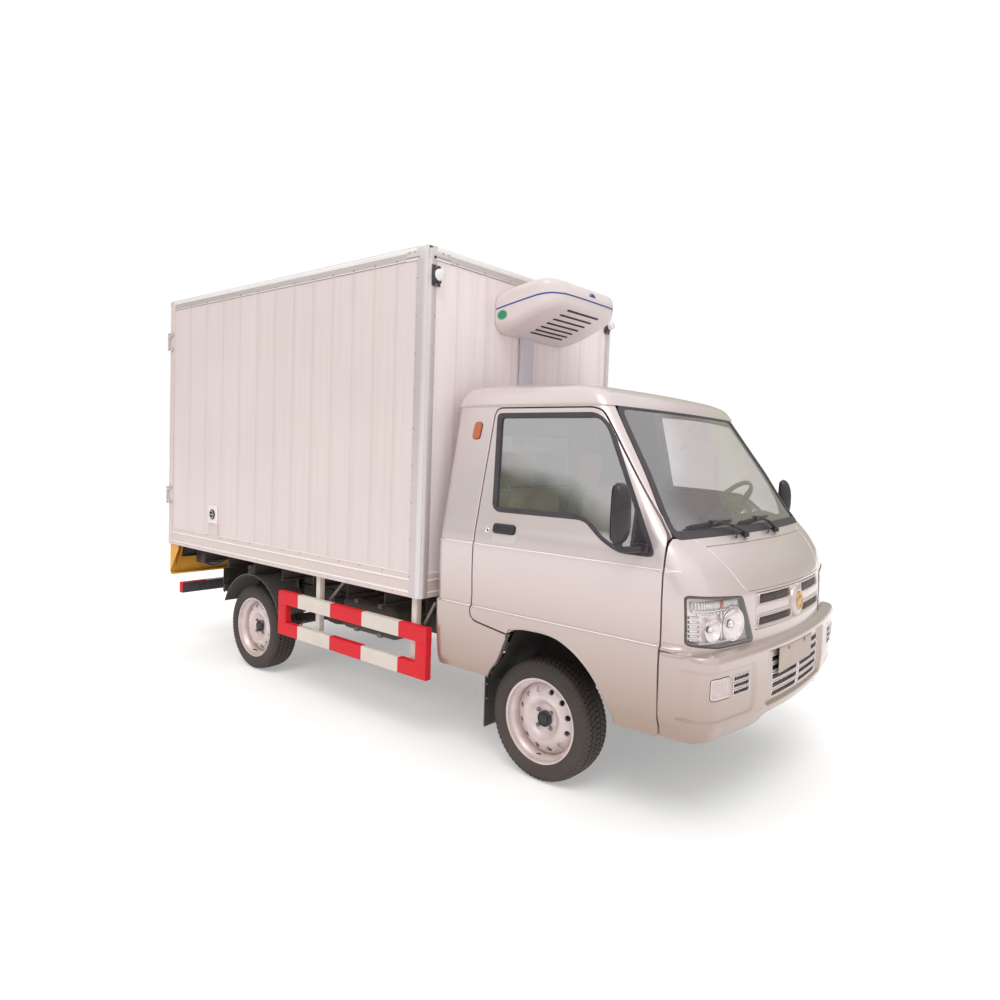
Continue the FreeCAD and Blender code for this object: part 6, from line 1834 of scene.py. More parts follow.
def make_cooling_unit():
    """Moulded case: sections from the wall to the nose, each a rounded rectangle."""
    shape = Shape()
    wall = BOX_FRONT - 0.004
    stations = [0.0, 0.02, 0.06, 0.10, 0.14, 0.18, 0.22, 0.26, 0.29, 0.315, 0.335, 0.350, 0.362, 0.371, 0.378,
                0.383, 0.3865, 0.388]
    def half_at(x):
        return 0.325 - 0.090 * max(0.0, (x - 0.255) / 0.133) ** 2.6
    rings = []
    n = 88
    for x in stations:
        top, low = (float(v) for v in unit_outline(x))
        half = half_at(x)
        if x > 0.385:
            mid = (top + low) / 2
            top, low, half = mid + (top - mid) * 0.9, mid + (low - mid) * 0.9, half * 0.96
        corner = 0.045 + 0.030 * max(0.0, 1 - x / 0.10)
        rings.append([(wall + x, y, z) for y, z in superellipse(half, low, top, n, corner)])
    points = [p for ring in rings for p in ring]
    faces = []
    for r in range(len(rings) - 1):
        for i in range(n):
            j = (i + 1) % n
            faces.append((r * n + i, r * n + j, (r + 1) * n + j, (r + 1) * n + i))
    last = (len(rings) - 1) * n
    centre = len(points)
    points.append(tuple(np.mean(np.array(rings[-1]), axis=0) + np.array([0.0002, 0, 0])))
    for i in range(n):
        faces.append((last + i, last + (i + 1) % n, centre))
    shape.add(points, faces, "unit")
    # blue line that rises toward the nose, on both sides and round the front
    stripe_path = []
    for x in np.linspace(0.004, 0.352, 40):
        stripe_path.append((x, 2.247 + 0.059 * (x / 0.352) ** 0.92))
    stripe_path += [(x, stripe_path[-1][1]) for x in np.linspace(0.354, 0.3866, 16)]
    shape.join(unit_band(stripe_path, 0.0040, 0.0, half_at, wall, "blue"))
    for k in range(7):
        shape.join(louvre(wall, 0.104 + k * 0.0335 + 0.0012 * k * k))
    # plain discs where badges would be
    for side in (RIGHT, LEFT):
        y = side * 0.3246
        turn = Matrix.Rotation(math.pi if side < 0 else 0, 4, "Z")
        badge = lathe([(0.0245, -0.002), (0.0245, 0.0010), (0.0228, 0.0016), (0.0212, 0.0016),
                (0.0004, 0.0017)],
                      ["green", "green", "unit", "green"], 32)
        scale = Matrix.Diagonal((1.45, 1, 1.1, 1))
        shape.join(badge, Matrix.Translation((wall + 0.049, y, 2.214)) @ turn @ scale)
    disc = lathe([(0.026, -0.004), (0.026, 0.0015), (0.0235, 0.0024), (0.0220, 0.0024), (0.0215, 0.0018),
                  (0.0004, 0.0018)], ["blue", "blue", "white_lens", "blue", "blue"], 36)
    shape.join(disc, Matrix.Translation((wall + 0.3855, 0.030, 2.330)) @ Matrix.Rotation(-math.pi / 2, 4, "Z")
               @ Matrix.Diagonal((1.25, 1, 1, 1)))
    duct(shape)
    shape.make("cooling_case", "chassis", "unit_white", "cooling_unit")


def superellipse(half, low, top, n, corner=0.045):
    """A rounded rectangle as n points, anticlockwise seen from the front."""
    corner = min(corner, (top - low) * 0.42, half * 0.6)
    points = []
    per = n // 4
    for quarter, (cy, cz) in enumerate(((half - corner, top - corner), (-half + corner, top - corner),
                                        (-half + corner, low + corner), (half - corner, low + corner))):
        for i in range(per):
            a = math.pi / 2 * (quarter + i / (per - 1))
            points.append((cy + corner * math.cos(a), cz + corner * math.sin(a)))
    return points


def unit_band(path, wide, shift, half_at, wall, finish):
    shape = Shape()
    for side in (RIGHT, LEFT):
        points = []
        for x, z in path:
            for dz in (-wide, wide):
                points.append((wall + x, side * (half_at(x) + 0.0008), z + shift + dz))
        faces = []
        for i in range(len(path) - 1):
            f = (2 * i, 2 * i + 2, 2 * i + 3, 2 * i + 1)
            faces.append(f if side < 0 else f[::-1])
        shape.add(points, faces, finish)
    # across the nose
    front = []
    x_end = path[-1][0]
    for t in np.linspace(0, 1, 40):
        a = math.pi * t
        y = -half_at(x_end) * math.cos(a)
        x = x_end + (0.3882 - x_end) * (1 - (abs(y) / half_at(x_end)) ** 6) ** 0.5
        front.append((x, y, path[-1][1] + 0.004 * math.sin(a)))
    points = []
    for x, y, z in front:
        for dz in (-wide, wide):
            points.append((wall + x + 0.0006, y, z + shift + dz))
    faces = [(2 * i, 2 * i + 2, 2 * i + 3, 2 * i + 1) for i in range(len(front) - 1)]
    shape.add(points, faces, finish)
    return shape


def louvre(wall, x):
    """One slot of the discharge grille under the nose."""
    low = float(unit_outline(x)[1])
    slope = math.atan2(float(unit_outline(x + 0.02)[1] - unit_outline(x - 0.02)[1]), 0.04)
    # the slot's inside is near-black painted shade
    both = block((-0.0062, -0.146, -0.006), (0.0062, 0.146, 0.0015), "seam", 0.0035)
    both.join(block((-0.0105, -0.150, -0.003), (-0.0068, 0.150, 0.003), "unit", 0.0015))
    out = Shape()
    out.join(both, Matrix.Translation((wall + x, 0, low + 0.002)) @ Matrix.Rotation(-slope, 4, "Y"))
    return out


def duct(shape):
    """Cover of the pipes and cables down the front wall; its grey is painted shade."""
    x0, x1 = BOX_FRONT - 0.003, BOX_FRONT + 0.018
    shape.join(block((x0, -0.1175, BOX_BASE + 0.126), (x1, -0.0025, 2.15), "duct", 0.006, 3))
    for z in (0.95, 1.35, 1.75):
        shape.join(block((x0, -0.124, z), (x1 + 0.001, 0.004, z + 0.022), "alloy", 0.002))


def make_marker_lamps():
    """Round clear lamps on black brackets at the box's top corners."""
    shape = Shape()
    for side in (RIGHT, LEFT):
        y, z = side * (BOX_HALF - 0.051), BOX_TOP - 0.143
        y0, y1 = sorted((side * (BOX_HALF - 0.080), side * (BOX_HALF - 0.024)))
        shape.join(block((BOX_FRONT - 0.001, y0, z - 0.052), (BOX_FRONT + 0.006, y1, z + 0.050), "rubber",
                         0.003, 3))
        shape.join(block((BOX_FRONT - 0.001, y0, z - 0.036), (BOX_FRONT + 0.015, y1, z + 0.036), "rubber",
                         0.006, 3))
        for z_screw in (z - 0.044, z + 0.043):
            rivets_along(shape, (BOX_FRONT + 0.006, y, z_screw), (BOX_FRONT + 0.006, y, z_screw), 1,
                    (1, 0, 0),
                         "white", 0.005)
        profile = [(0.031, 0.010), (0.031, 0.020), (0.0285, 0.025), (0.0285, 0.036), (0.0250, 0.045),
                   (0.015, 0.0495), (0.0004, 0.0500)]
        shape.join(lathe(profile, ["rubber", "rubber", "white_lens", "white_lens", "white_lens",
                                   "white_lens"],
                         28, "X", (BOX_FRONT, y, z)))
    shape.make("marker_lamp_pair", "chassis", "lamp_clear", "marker_lamps")




# ---------------------------------------------------------------- inside the cab

def make_cab_floor():
    """Floor pan with mats, a seat box, a toe board, pedals and levers."""
    shape = Shape()
    a, back = FRONT_AXLE, CAB_BACK + 0.045
    for half, start, end in ((0.715, back, a - 0.345), (0.400, a - 0.345, a + 0.45),
            (0.66, a + 0.45, a + 0.60)):
        shape.join(block((start, -half, 0.548), (end, half, 0.556), "floor_mat", 0.002))
        shape.join(block((start, -half, 0.532), (end, half, 0.549), "chassis", 0.002))
    for side in (RIGHT, LEFT):
        shape.join(liner(side))
    shape.join(block((back + 0.01, -0.62, 0.556), (a - 0.345, 0.62, 0.688), "interior", 0.02, 3))
    shape.join(block((a - 0.36, -0.400, 0.556), (a + 0.10, 0.400, 0.688), "interior", 0.01, 3))
    shape.join(block((a + 0.59, -0.45, 0.55), (a + 0.62, 0.45, 0.96), "interior", 0.008))
    for y in (0.24, 0.37, 0.50):
        foot_y = min(y, 0.38)
        shape.join(tube([(a + 0.59, foot_y, 0.84), (a + 0.50, foot_y, 0.70)], 0.008, "chassis", 8))
        shape.join(block((a + 0.480, foot_y - 0.030, 0.670), (a + 0.505, foot_y + 0.030, 0.725), "rubber",
                         0.006))
    shape.join(tube([(a + 0.12, 0.0, 0.69), (a + 0.15, 0.0, 0.86), (a + 0.13, 0.0, 0.97)], 0.009, "steel",
                    10))
    knob = [(0.0005, -0.030), (0.020, -0.022), (0.027, 0.0), (0.022, 0.020), (0.0005, 0.028)]
    shape.join(lathe(knob, "plastic", 20, "Z", (a + 0.13, 0, 0.98)))
    boot = [(0.07, 0), (0.055, 0.03), (0.02, 0.09)]
    shape.join(lathe(boot, "rubber", 24, "Z", (a + 0.125, 0, 0.688)))
    shape.join(tube([(a - 0.28, 0.02, 0.69), (a - 0.12, 0.02, 0.76), (a - 0.02, 0.02, 0.79)], 0.012,
                    "plastic", 10))
    shape.make("cab_floor_pan", "chassis", "cab_floor_paint", "cab_floor")


def liner(side):
    """Plastic liner over the front wheel, with its inner wall."""
    corners = softened([(-296, 372), (-258, 462), (-200, 530), (-162, 612), (-128, 688), (-56, 706),
            (58, 709),
                        (142, 699), (236, 654), (308, 594), (368, 517), (421, 420)], 40, 6)[4:-4]
    path = [(FRONT_AXLE + x / 1000, z / 1000) for x, z in corners]
    y_out, y_in, n = side * 0.742, side * 0.425, len(path)
    shape = Shape()
    for near, far, drop in ((y_out, y_in, False), (y_in, y_in, True)):
        points = [(x, near, z) for x, z in path] + [(x, far, 0.40 if drop else z) for x, z in path]
        faces = [(i, i + 1, n + i + 1, n + i) for i in range(n - 1)]
        shape.add(points, [f[::-1] for f in faces] if (side < 0) != drop else faces, "seam")
    return shape


def make_dashboard():
    """Moulded dashboard with vents, radio, glove lid and the hood over the dials."""
    shape = Shape()
    half = 0.688
    a = FRONT_AXLE
    section = [(0.440, 1.000), (0.452, 1.075), (0.470, 1.132), (0.500, 1.152), (0.535, 1.157), (0.590, 1.152),
               (0.592, 1.030), (0.600, 1.012), (0.600, 1.000)]
    smooth_section = softened([(x * 1000, z * 1000) for x, z in section], 14, 4)
    ring = [(a + x / 1000, z / 1000) for x, z in smooth_section]
    n = len(ring)
    ys = (-half, -half + 0.012, half - 0.012, half)
    points = []
    for y, shrink in zip(ys, (0.985, 1.0, 1.0, 0.985)):
        for x, z in ring:
            points.append((a + 0.53 + (x - a - 0.53) * shrink, y, 1.08 + (z - 1.08) * shrink))
    faces = [(r * n + i, r * n + (i + 1) % n, (r + 1) * n + (i + 1) % n, (r + 1) * n + i)
             for r in range(3) for i in range(n)]
    faces += [tuple(range(n))[::-1], tuple(3 * n + i for i in range(n))]
    shape.add(points, faces, "interior")
    # hood and dials ahead of the driver
    shape.join(block((a + 0.462, 0.225, 1.125), (a + 0.575, 0.515, 1.192), "plastic", 0.022, 4))
    for y in (0.305, 0.435):
        dial = lathe([(0.048, 0), (0.050, 0.004), (0.045, 0.006), (0.044, 0.002), (0.0005, 0.002)],
                     ["chrome", "chrome", "plastic", "white_lens"], 32, "X", (0, 0, 0))
        shape.join(dial, Matrix.Translation((a + 0.4615, y, 1.155)) @ Matrix.Rotation(math.pi, 4, "Z"))
    # the last block is near-black painted shade in the radio's opening
    for y0, y1, z0, z1, finish in ((-0.62, -0.20, 1.02, 1.11, "interior"), (-0.10, 0.12, 1.03, 1.10,
                                                                            "plastic"),
                                   (-0.09, 0.11, 1.045, 1.085, "seam")):
        x = a + 0.448
        shape.join(block((x - 0.006, y0, z0), (x + 0.02, y1, z1), finish, 0.006, 3))
    for y in (-0.62, -0.05, 0.06, 0.62):
        for k in range(5):
            z = 1.112 + k * 0.007
            shape.join(block((a + 0.455, y - 0.045, z), (a + 0.478, y + 0.045, z + 0.003), "plastic", 0.001,
                             1))
    shape.join(block((a + 0.52, -0.06, 0.556), (a + 0.58, 0.06, 1.00), "interior", 0.01))
    # column sleeve
    axis = Vector((-math.sin(math.radians(48)), 0, math.cos(math.radians(48))))
    hub = Vector((a + 0.330, 0.370, 1.212))
    start, end = hub - axis * 0.108, hub - axis * 0.228
    shape.join(tube([start, end], 0.030, "plastic", 20))
    shape.join(tube([end, hub - axis * 0.62], 0.017, "steel", 12))
    shape.make("dash_moulding", "chassis", "trim_grey", "dashboard")


def make_steering_wheel():
    shape = Shape()
    axis = Vector((-math.sin(math.radians(48)), 0, math.cos(math.radians(48))))
    hub = Vector((FRONT_AXLE + 0.330, 0.370, 1.212))
    turn = Vector((0, 0, 1)).rotation_difference(axis).to_matrix().to_4x4()
    place = Matrix.Translation(hub) @ turn
    rim = [(0.178 * math.cos(t), 0.178 * math.sin(t),
            0.006) for t in (2 * math.pi * k / 72 for k in range(72))]
    shape.join(tube(rim, 0.0120, "plastic", 14, closed=True), place)
    pad = [(0.060, -0.034), (0.064, -0.020), (0.062, -0.004), (0.050, 0.004), (0.022, 0.008), (0.0005, 0.009)]
    shape.join(lathe(pad, "plastic", 40, "Z"), place)
    shape.join(lathe([(0.030, -0.060), (0.044, -0.034), (0.060, -0.034)], "plastic", 32, "Z"), place)
    for angle in (math.pi * 0.5 - 0.85, math.pi * 0.5 + 0.85, -math.pi / 2):
        path = [(r * math.cos(angle), r * math.sin(angle), z)
                for r, z in ((0.045, -0.018), (0.090, -0.014), (0.140, -0.004), (0.172, 0.004))]
        shape.join(tube(path, 0.014, "plastic", 12, flat=0.55), place)
    shape.join(lathe([(0.018, 0.008), (0.018, 0.011), (0.0005, 0.012)], "chrome", 24, "Z"), place)
    shape.join(tube([(0, 0, -0.03), (0, 0, -0.30)], 0.0098, "steel", 12), place)
    shape.make("steering_wheel_looks", "steering_wheel", "trim_black", "steering_wheel")


def cushion(centre, size, lean=0.0, crown=0.018, finish="fabric", seams=3):
    """A padded block: subdivided faces puffed outward, with sewn channels pressed in."""
    work = bmesh.new()
    bmesh.ops.create_cube(work, size=1)
    bmesh.ops.subdivide_edges(work, edges=work.edges[:], cuts=18, use_grid_fill=True)
    sx, sy, sz = size
    for v in work.verts:
        x, y, z = v.co * 2
        power = 7.0
        norm = (abs(x) ** power + abs(y) ** power + abs(z) ** power) ** (1 / power)
        soft = Vector((x, y, z)) / max(norm, 1e-6)
        p = Vector((x, y, z)).lerp(soft, 0.9)
        bulge = (1 - x * x) * (1 - y * y)
        groove = 0.0
        for k in range(1, seams + 1):
            at = -1 + 2 * k / (seams + 1)
            groove += math.exp(-((y - at) / 0.035) ** 2)
        lift = crown * bulge - 0.010 * groove * (1 - x ** 4)
        v.co = Vector((p.x * sx / 2, p.y * sy / 2,
                       p.z * sz / 2 + (lift if z > 0 else 0) * (1 if z > 0.3 else 0)))
    shape = from_bmesh(work, finish)
    turned_shape = Shape()
    turned_shape.join(shape, Matrix.Translation(centre) @ Matrix.Rotation(lean, 4, "Y"))
    return turned_shape


def make_seats():
    """Two padded seats with backrests, headrests and bolsters."""
    low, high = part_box("seats")
    shape = Shape()
    for y in (-0.350, 0.350):
        x = CAB_BACK + 0.235
        base_z = 0.700
        shape.join(block((x - 0.02, y - 0.20, 0.688), (x + 0.40, y + 0.20, 0.712), "plastic", 0.006))
        shape.join(cushion((x + 0.200, y, base_z + 0.062), (0.47, 0.470, 0.120), 0.0))
        shape.join(cushion((x - 0.030, y, 1.030), (0.52, 0.450, 0.120), math.radians(-79), 0.016))
        shape.join(cushion((x - 0.085, y, 1.385), (0.175, 0.260, 0.090), math.radians(-82), 0.012, seams=1))
        for dy in (-0.06, 0.06):
            shape.join(tube([(x - 0.065, y + dy, 1.24), (x - 0.082, y + dy, 1.36)], 0.006, "chrome", 8))
        for dy in (-0.205, 0.205):
            shape.join(cushion((x + 0.205, y + dy, base_z + 0.088), (0.44, 0.070, 0.075), 0.0, 0.006,
                               seams=0))
            shape.join(cushion((x - 0.010, y + dy * 0.98, 1.02), (0.44, 0.060, 0.075), math.radians(-79),
                               0.006, seams=0))
        shape.join(block((x + 0.02, y + 0.236, 0.735), (x + 0.06, y + 0.250, 0.800), "plastic", 0.004))
    piece = shape.make("seat_pads", "chassis", "seat_fabric", "seats", sharp=60)


def make_mirrors():
    """Door mirrors: shell, glass, clamp and arm."""
    for name, side in SIDES:
        shape = Shape()
        mirror_x, y = FRONT_AXLE + 0.478, side * 0.892
        place = Matrix.Translation((mirror_x, y, 1.258)) @ Matrix.Rotation(side * math.radians(3), 4, "Z")
        shape.join(mirror_head(), place)
        s = CAB.s_at([0.515], [1.118], "x") * side
        p, _ = CAB.point(s, [1.118], 0.0)
        foot = Vector(p[0])
        shape.join(block((foot.x - 0.030, min(foot.y, foot.y + side * 0.020), 1.100),
                         (foot.x + 0.038, max(foot.y, foot.y + side * 0.020), 1.140), "plastic", 0.008, 3))
        arm = [foot + Vector((0.010, side * 0.004, 0)), foot + Vector((0.004, side * 0.040, 0.000)),
               Vector((FRONT_AXLE + 0.490, y - side * 0.020, 1.118)), Vector((mirror_x, y, 1.130)),
               Vector((mirror_x, y, 1.156))]
        shape.join(tube(curve_through(arm, 18), 0.0125, "plastic", 14))
        shape.join(lathe([(0.018, -0.014), (0.020, -0.004), (0.020, 0.008), (0.016, 0.016)], "plastic", 24,
                         "Z",
                         (mirror_x, y, 1.140)))
        shape.make(f"mirror_{name}_looks", f"cab_door_{name}", "trim_black", f"mirror_{name}")


def mirror_head():
    """Rounded tall shell that faces back, with an inset glass."""
    shape = Shape()
    def egg(depth, wide, tall, power, finish, along, flat=-9.0):
        work = bmesh.new()
        bmesh.ops.create_uvsphere(work, u_segments=40, v_segments=28, radius=1)
        for v in work.verts:
            x, y, z = v.co
            norm = (abs(y) ** power + abs(z) ** power) ** (1 / power)
            grow = math.hypot(y, z) / norm if norm > 1e-6 else 1
            x = max(along + x * (depth if x > 0 else depth * 0.35), flat)
            v.co = Vector((x, y * grow * wide * (1 - 0.06 * z), z * grow * tall))
        shape.join(from_bmesh(work, finish))
    egg(0.050, 0.0435, 0.118, 4.2, "plastic", 0.0, -0.012)
    egg(0.0012, 0.0375, 0.109, 4.8, "chrome", -0.0126)
    return shape


def curve_through(points, count):
    """A smooth path through points (Catmull-Rom)."""
    points = [Vector(p) for p in points]
    padded = [points[0] * 2 - points[1]] + points + [points[-1] * 2 - points[-2]]
    out = []
    spans = len(points) - 1
    for k in range(count + 1):
        t = k / count * spans
        i = min(int(t), spans - 1)
        u = t - i
        a, b, c, d = padded[i:i + 4]
        out.append(0.5 * ((2 * b) + (c - a) * u + (2 * a - 5 * b + 4 * c - d) * u ** 2
                          + (3 * b - a - 3 * c + d) * u ** 3))
    return out


def make_wipers():
    """Arms on their spindles, blades with frames, and washer jets."""
    shape = Shape()
    def on_glass(y, z, lift):
        s = CAB.s_at([abs(y)], [z], "y") * (1 if y >= 0 else -1)
        p, _ = CAB.point(s, [z], lift)
        return Vector(p[0])
    for pivot, tip in ((-0.195, -0.60), (0.165, -0.17)):
        root = on_glass(pivot, 1.150, 0.016)
        shape.join(lathe([(0.017, -0.016), (0.017, -0.002), (0.013, 0.006), (0.0005, 0.008)], "plastic", 24,
                         "Z",
                         root))
        middle_y = tip + 0.19
        mid = on_glass(middle_y, 1.204, 0.020)
        arm = curve_through([root + Vector((0, 0, 0.003)), root.lerp(mid, 0.35) + Vector((0.006, 0, 0.010)),
                             root.lerp(mid, 0.75) + Vector((0.004, 0, 0.008)), mid], 16)
        shape.join(tube(arm[:8], 0.0100, "plastic", 8, flat=0.6))
        shape.join(tube(arm[7:], 0.0058, "plastic", 8))
        rubber = [on_glass(tip + 0.38 * t, 1.196 + 0.010 * t, 0.007) for t in np.linspace(0, 1, 22)]
        shape.join(tube(rubber, 0.0042, "rubber", 8))
        frame_path = [on_glass(tip + 0.02 + 0.34 * t, 1.197 + 0.010 * t,
                               0.013 + 0.007 * math.sin(math.pi * t))
                      for t in np.linspace(0, 1, 16)]
        shape.join(tube(frame_path, 0.0040, "plastic", 8))
        shape.join(block(mid - Vector((0.012, 0.022, 0.010)), mid + Vector((0.012, 0.022, 0.006)), "plastic",
                         0.004))
    for y in (-0.285, 0.060):
        base = on_glass(y, 1.142, 0.006)
        shape.join(tube([base, base + Vector((0.004, 0, 0.014)), base + Vector((-0.012, 0, 0.022))], 0.006,
                        "plastic", 10))
    shape.make("wiper_pair_looks", "chassis", "trim_black", "wipers")


# ---------------------------------------------------------------- chassis

def make_chassis():
    low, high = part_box("ladder_frame")
    shape = Shape()
    for side in (RIGHT, LEFT):
        y0, y1 = 0.315, 0.365
        for za, zb, ya, yb in ((0.440, 0.446, y0, y1), (0.524, 0.530, y0, y1), (0.440, 0.530, y1 - 0.006,
                                                                                y1)):
            a, b = sorted((side * ya, side * yb))
            shape.join(block((low.x, a, za), (high.x, b, zb), "chassis", 0.0025))
        for x in np.arange(low.x + 0.15, high.x - 0.1, 0.24):
            turn = Matrix.Rotation(math.pi if side < 0 else 0, 4, "Z")
            bolt = lathe([(0.011, -0.001), (0.011, 0.006), (0.0005, 0.007)], "steel", 6, smooth=False)
            shape.join(bolt, Matrix.Translation((x, side * y1, 0.485)) @ turn)
    for node_x in cross_stations(low, high):
        shape.join(block((node_x - 0.030, -0.32, 0.455), (node_x + 0.030, 0.32, 0.512), "chassis", 0.01))
    shape.make("ladder_rails", "chassis", "chassis_black", "ladder_frame")
    shape = Shape()
    low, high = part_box("subframe")
    for side in (RIGHT, LEFT):
        y0, y1 = sorted((side * 0.318, side * 0.362))
        shape.join(block((BOX_BACK + 0.02, y0, 0.531), (BOX_FRONT - 0.03, y1, 0.632), "chassis", 0.004))
        for x in np.arange(BOX_BACK + 0.35, BOX_FRONT - 0.2, 0.62):
            ya, yb = sorted((side * 0.363, side * 0.371))
            shape.join(block((x - 0.035, ya, 0.455), (x + 0.035, yb, 0.600), "chassis", 0.003))
            for z in (0.478, 0.505, 0.560, 0.585):
                turn = Matrix.Rotation(math.pi if side < 0 else 0, 4, "Z")
                shape.join(lathe([(0.009, -0.001), (0.009, 0.006), (0.0005, 0.007)], "steel", 6,
                                 smooth=False),
                           Matrix.Translation((x, side * 0.371, z)) @ turn)
    stations = np.linspace(BOX_BACK + 0.03, BOX_FRONT - 0.045, 9)
    for x in stations:
        half = BOX_HALF - 0.095
        shape.join(block((x - 0.022, -half, 0.634), (x + 0.022, half, 0.640), "chassis", 0.002))
        shape.join(block((x - 0.004, -half, 0.640), (x + 0.004, half, 0.728), "chassis", 0.002))
        shape.join(block((x - 0.022, -half, 0.727), (x + 0.022, half, 0.7335), "chassis", 0.002))
    shape.make("box_bearers", "chassis", "chassis_black", "subframe")


def cross_stations(low, high):
    return [low.x + 0.03, -1.60, -0.70, -0.05, 0.55, high.x - 0.03]


def make_running_gear():
    """Engine, shafts, axle, springs, dampers and arms."""
    low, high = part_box("engine_block")
    shape = block((low.x + 0.02, -0.19, 0.36), (high.x - 0.03, 0.19, 0.60), "steel", 0.03, 3)
    shape.join(block((low.x + 0.06, -0.13, 0.335), (high.x - 0.12, 0.13, 0.42), "chassis", 0.03, 3))
    shape.join(block((low.x + 0.05, -0.20, 0.56), (high.x - 0.08, 0.16, 0.638), "chassis", 0.02, 3))
    gear = lathe([(0.13, 0.0), (0.12, -0.10), (0.075, -0.20), (0.06, -0.24), (0.045, -0.26)], "steel", 32,
                 "X",
                 (low.x + 0.10, 0, 0.45))
    shape.join(gear)
    for k in range(7):
        x = low.x + 0.10 + k * 0.045
        shape.join(block((x, -0.200, 0.40), (x + 0.010, 0.200, 0.56), "steel", 0.002, 1))
    for s in (RIGHT, LEFT):
        y0, y1 = sorted((s * 0.18, s * 0.318))
        shape.join(block((FRONT_AXLE - 0.350, y0, 0.460), (FRONT_AXLE - 0.300, y1, 0.500), "chassis", 0.006))
    shape.make("engine_looks", "chassis", "chassis_black", "engine_block")
    low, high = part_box("propeller_shaft")
    z = (low.z + high.z) / 2
    shape = tube([(low.x + 0.06, 0, z), (high.x - 0.04, 0, z)], 0.030, "chassis", 24)
    for x in (low.x + 0.045, high.x - 0.045):
        for turn in (0, math.pi / 2):
            shape.join(block((-0.030, -0.012, -0.036), (0.030, 0.012, 0.036), "steel", 0.006),
                       Matrix.Translation((x, 0, z)) @ Matrix.Rotation(turn, 4, "X"))
    shape.join(lathe([(0.05, -0.012), (0.05, 0.0), (0.03, 0.006)], "steel", 24, "X", (low.x + 0.012, 0, z)))
    shape.make("shaft_looks", "chassis", "chassis_black", "propeller_shaft")
    # rear axle: tube, banjo, drums, leaves, U-bolts and dampers
    shape = tube([(REAR_AXLE, -0.60, WHEEL_Z), (REAR_AXLE, 0.60, WHEEL_Z)], 0.036, "chassis", 28)
    banjo = [(0.036, -0.20), (0.055, -0.14), (0.095, -0.07), (0.110, 0.0), (0.095, 0.07), (0.055, 0.14),
             (0.036, 0.20)]
    shape.join(lathe(banjo, "chassis", 40, "Y", (REAR_AXLE, 0, WHEEL_Z + 0.010)))
    cover = [(0.100, 0.0), (0.096, -0.045), (0.080, -0.075), (0.045, -0.090), (0.0005, -0.094)]
    shape.join(lathe(cover, "chassis", 40, "X", (REAR_AXLE - 0.02, 0, WHEEL_Z + 0.02)))
    for k in range(10):
        a = 2 * math.pi * k / 10
        place = (REAR_AXLE - 0.030, 0.090 * math.cos(a), WHEEL_Z + 0.02 + 0.090 * math.sin(a))
        shape.join(lathe([(0.007, 0.006), (0.007, -0.006), (0.0005, -0.007)], "steel", 6, "X", place,
                         smooth=False))
    nose = [(0.075, 0.06), (0.060, 0.10), (0.045, 0.11), (0.045, 0.115)]
    shape.join(lathe(nose, "chassis", 28, "X", (REAR_AXLE, 0, WHEEL_Z + 0.045)))
    for side in (RIGHT, LEFT):
        drum = [(0.030, 0.0), (0.100, 0.0), (0.112, 0.006), (0.112, 0.040), (0.105, 0.044), (0.030, 0.044)]
        place = Matrix.Translation((REAR_AXLE, side * 0.578, WHEEL_Z)) @ Matrix.Scale(side, 4, (0, 1, 0))
        shape.join(lathe(drum, "steel", 44), place)
        shape.join(tube([(REAR_AXLE, side * 0.60, WHEEL_Z), (REAR_AXLE, side * 0.68, WHEEL_Z)], 0.020,
                        "steel", 16))
        y = side * 0.420
        for leaf in range(5):
            reach = 0.50 - leaf * 0.085
            path = []
            for t in np.linspace(-1, 1, 15):
                x = REAR_AXLE - 0.020 + reach * t
                full = (reach * t / 0.50) ** 2
                path.append((x, y, WHEEL_Z + 0.048 + 0.050 * full - leaf * 0.0085 + 0.006))
            shape.join(leaf_bar(path, 0.058, 0.0075))
        for x in (REAR_AXLE - 0.045, REAR_AXLE + 0.045):
            for dy in (-0.034, 0.034):
                shape.join(tube([(x, y + dy, WHEEL_Z - 0.055), (x, y + dy, WHEEL_Z + 0.068)], 0.0055,
                                "steel", 8))
        shape.join(block((REAR_AXLE - 0.062, y - 0.042, WHEEL_Z + 0.058), (REAR_AXLE + 0.062, y + 0.042,
                                                                           WHEEL_Z + 0.068),
                         "chassis", 0.003))
        shape.join(block((REAR_AXLE - 0.062, y - 0.042, WHEEL_Z - 0.058), (REAR_AXLE + 0.062, y + 0.042,
                                                                           WHEEL_Z - 0.046),
                         "chassis", 0.003))
        for x, top in ((REAR_AXLE - 0.515, 0.510), (REAR_AXLE + 0.480, 0.510)):
            for dy in (-0.036, 0.036):
                shape.join(block((x - 0.024, y + dy - 0.003, WHEEL_Z + 0.075), (x + 0.024, y + dy + 0.003,
                                                                                top), "chassis", 0.002))
            shape.join(tube([(x, y - 0.045, WHEEL_Z + 0.104), (x, y + 0.045, WHEEL_Z + 0.104)], 0.010,
                            "steel", 12))
            shape.join(block((x - 0.03, min(side * RAIL_FACE, y + side * 0.04), 0.470),
                    (x + 0.03, max(side * RAIL_FACE, y + side * 0.04), 0.510),
                             "chassis", 0.004))
        damper(shape, (REAR_AXLE - 0.06, side * 0.365, WHEEL_Z - 0.02), (REAR_AXLE - 0.20, side * 0.300,
                                                                         0.47))
    shape.make("rear_axle_looks", "chassis", "chassis_black", "rear_axle")


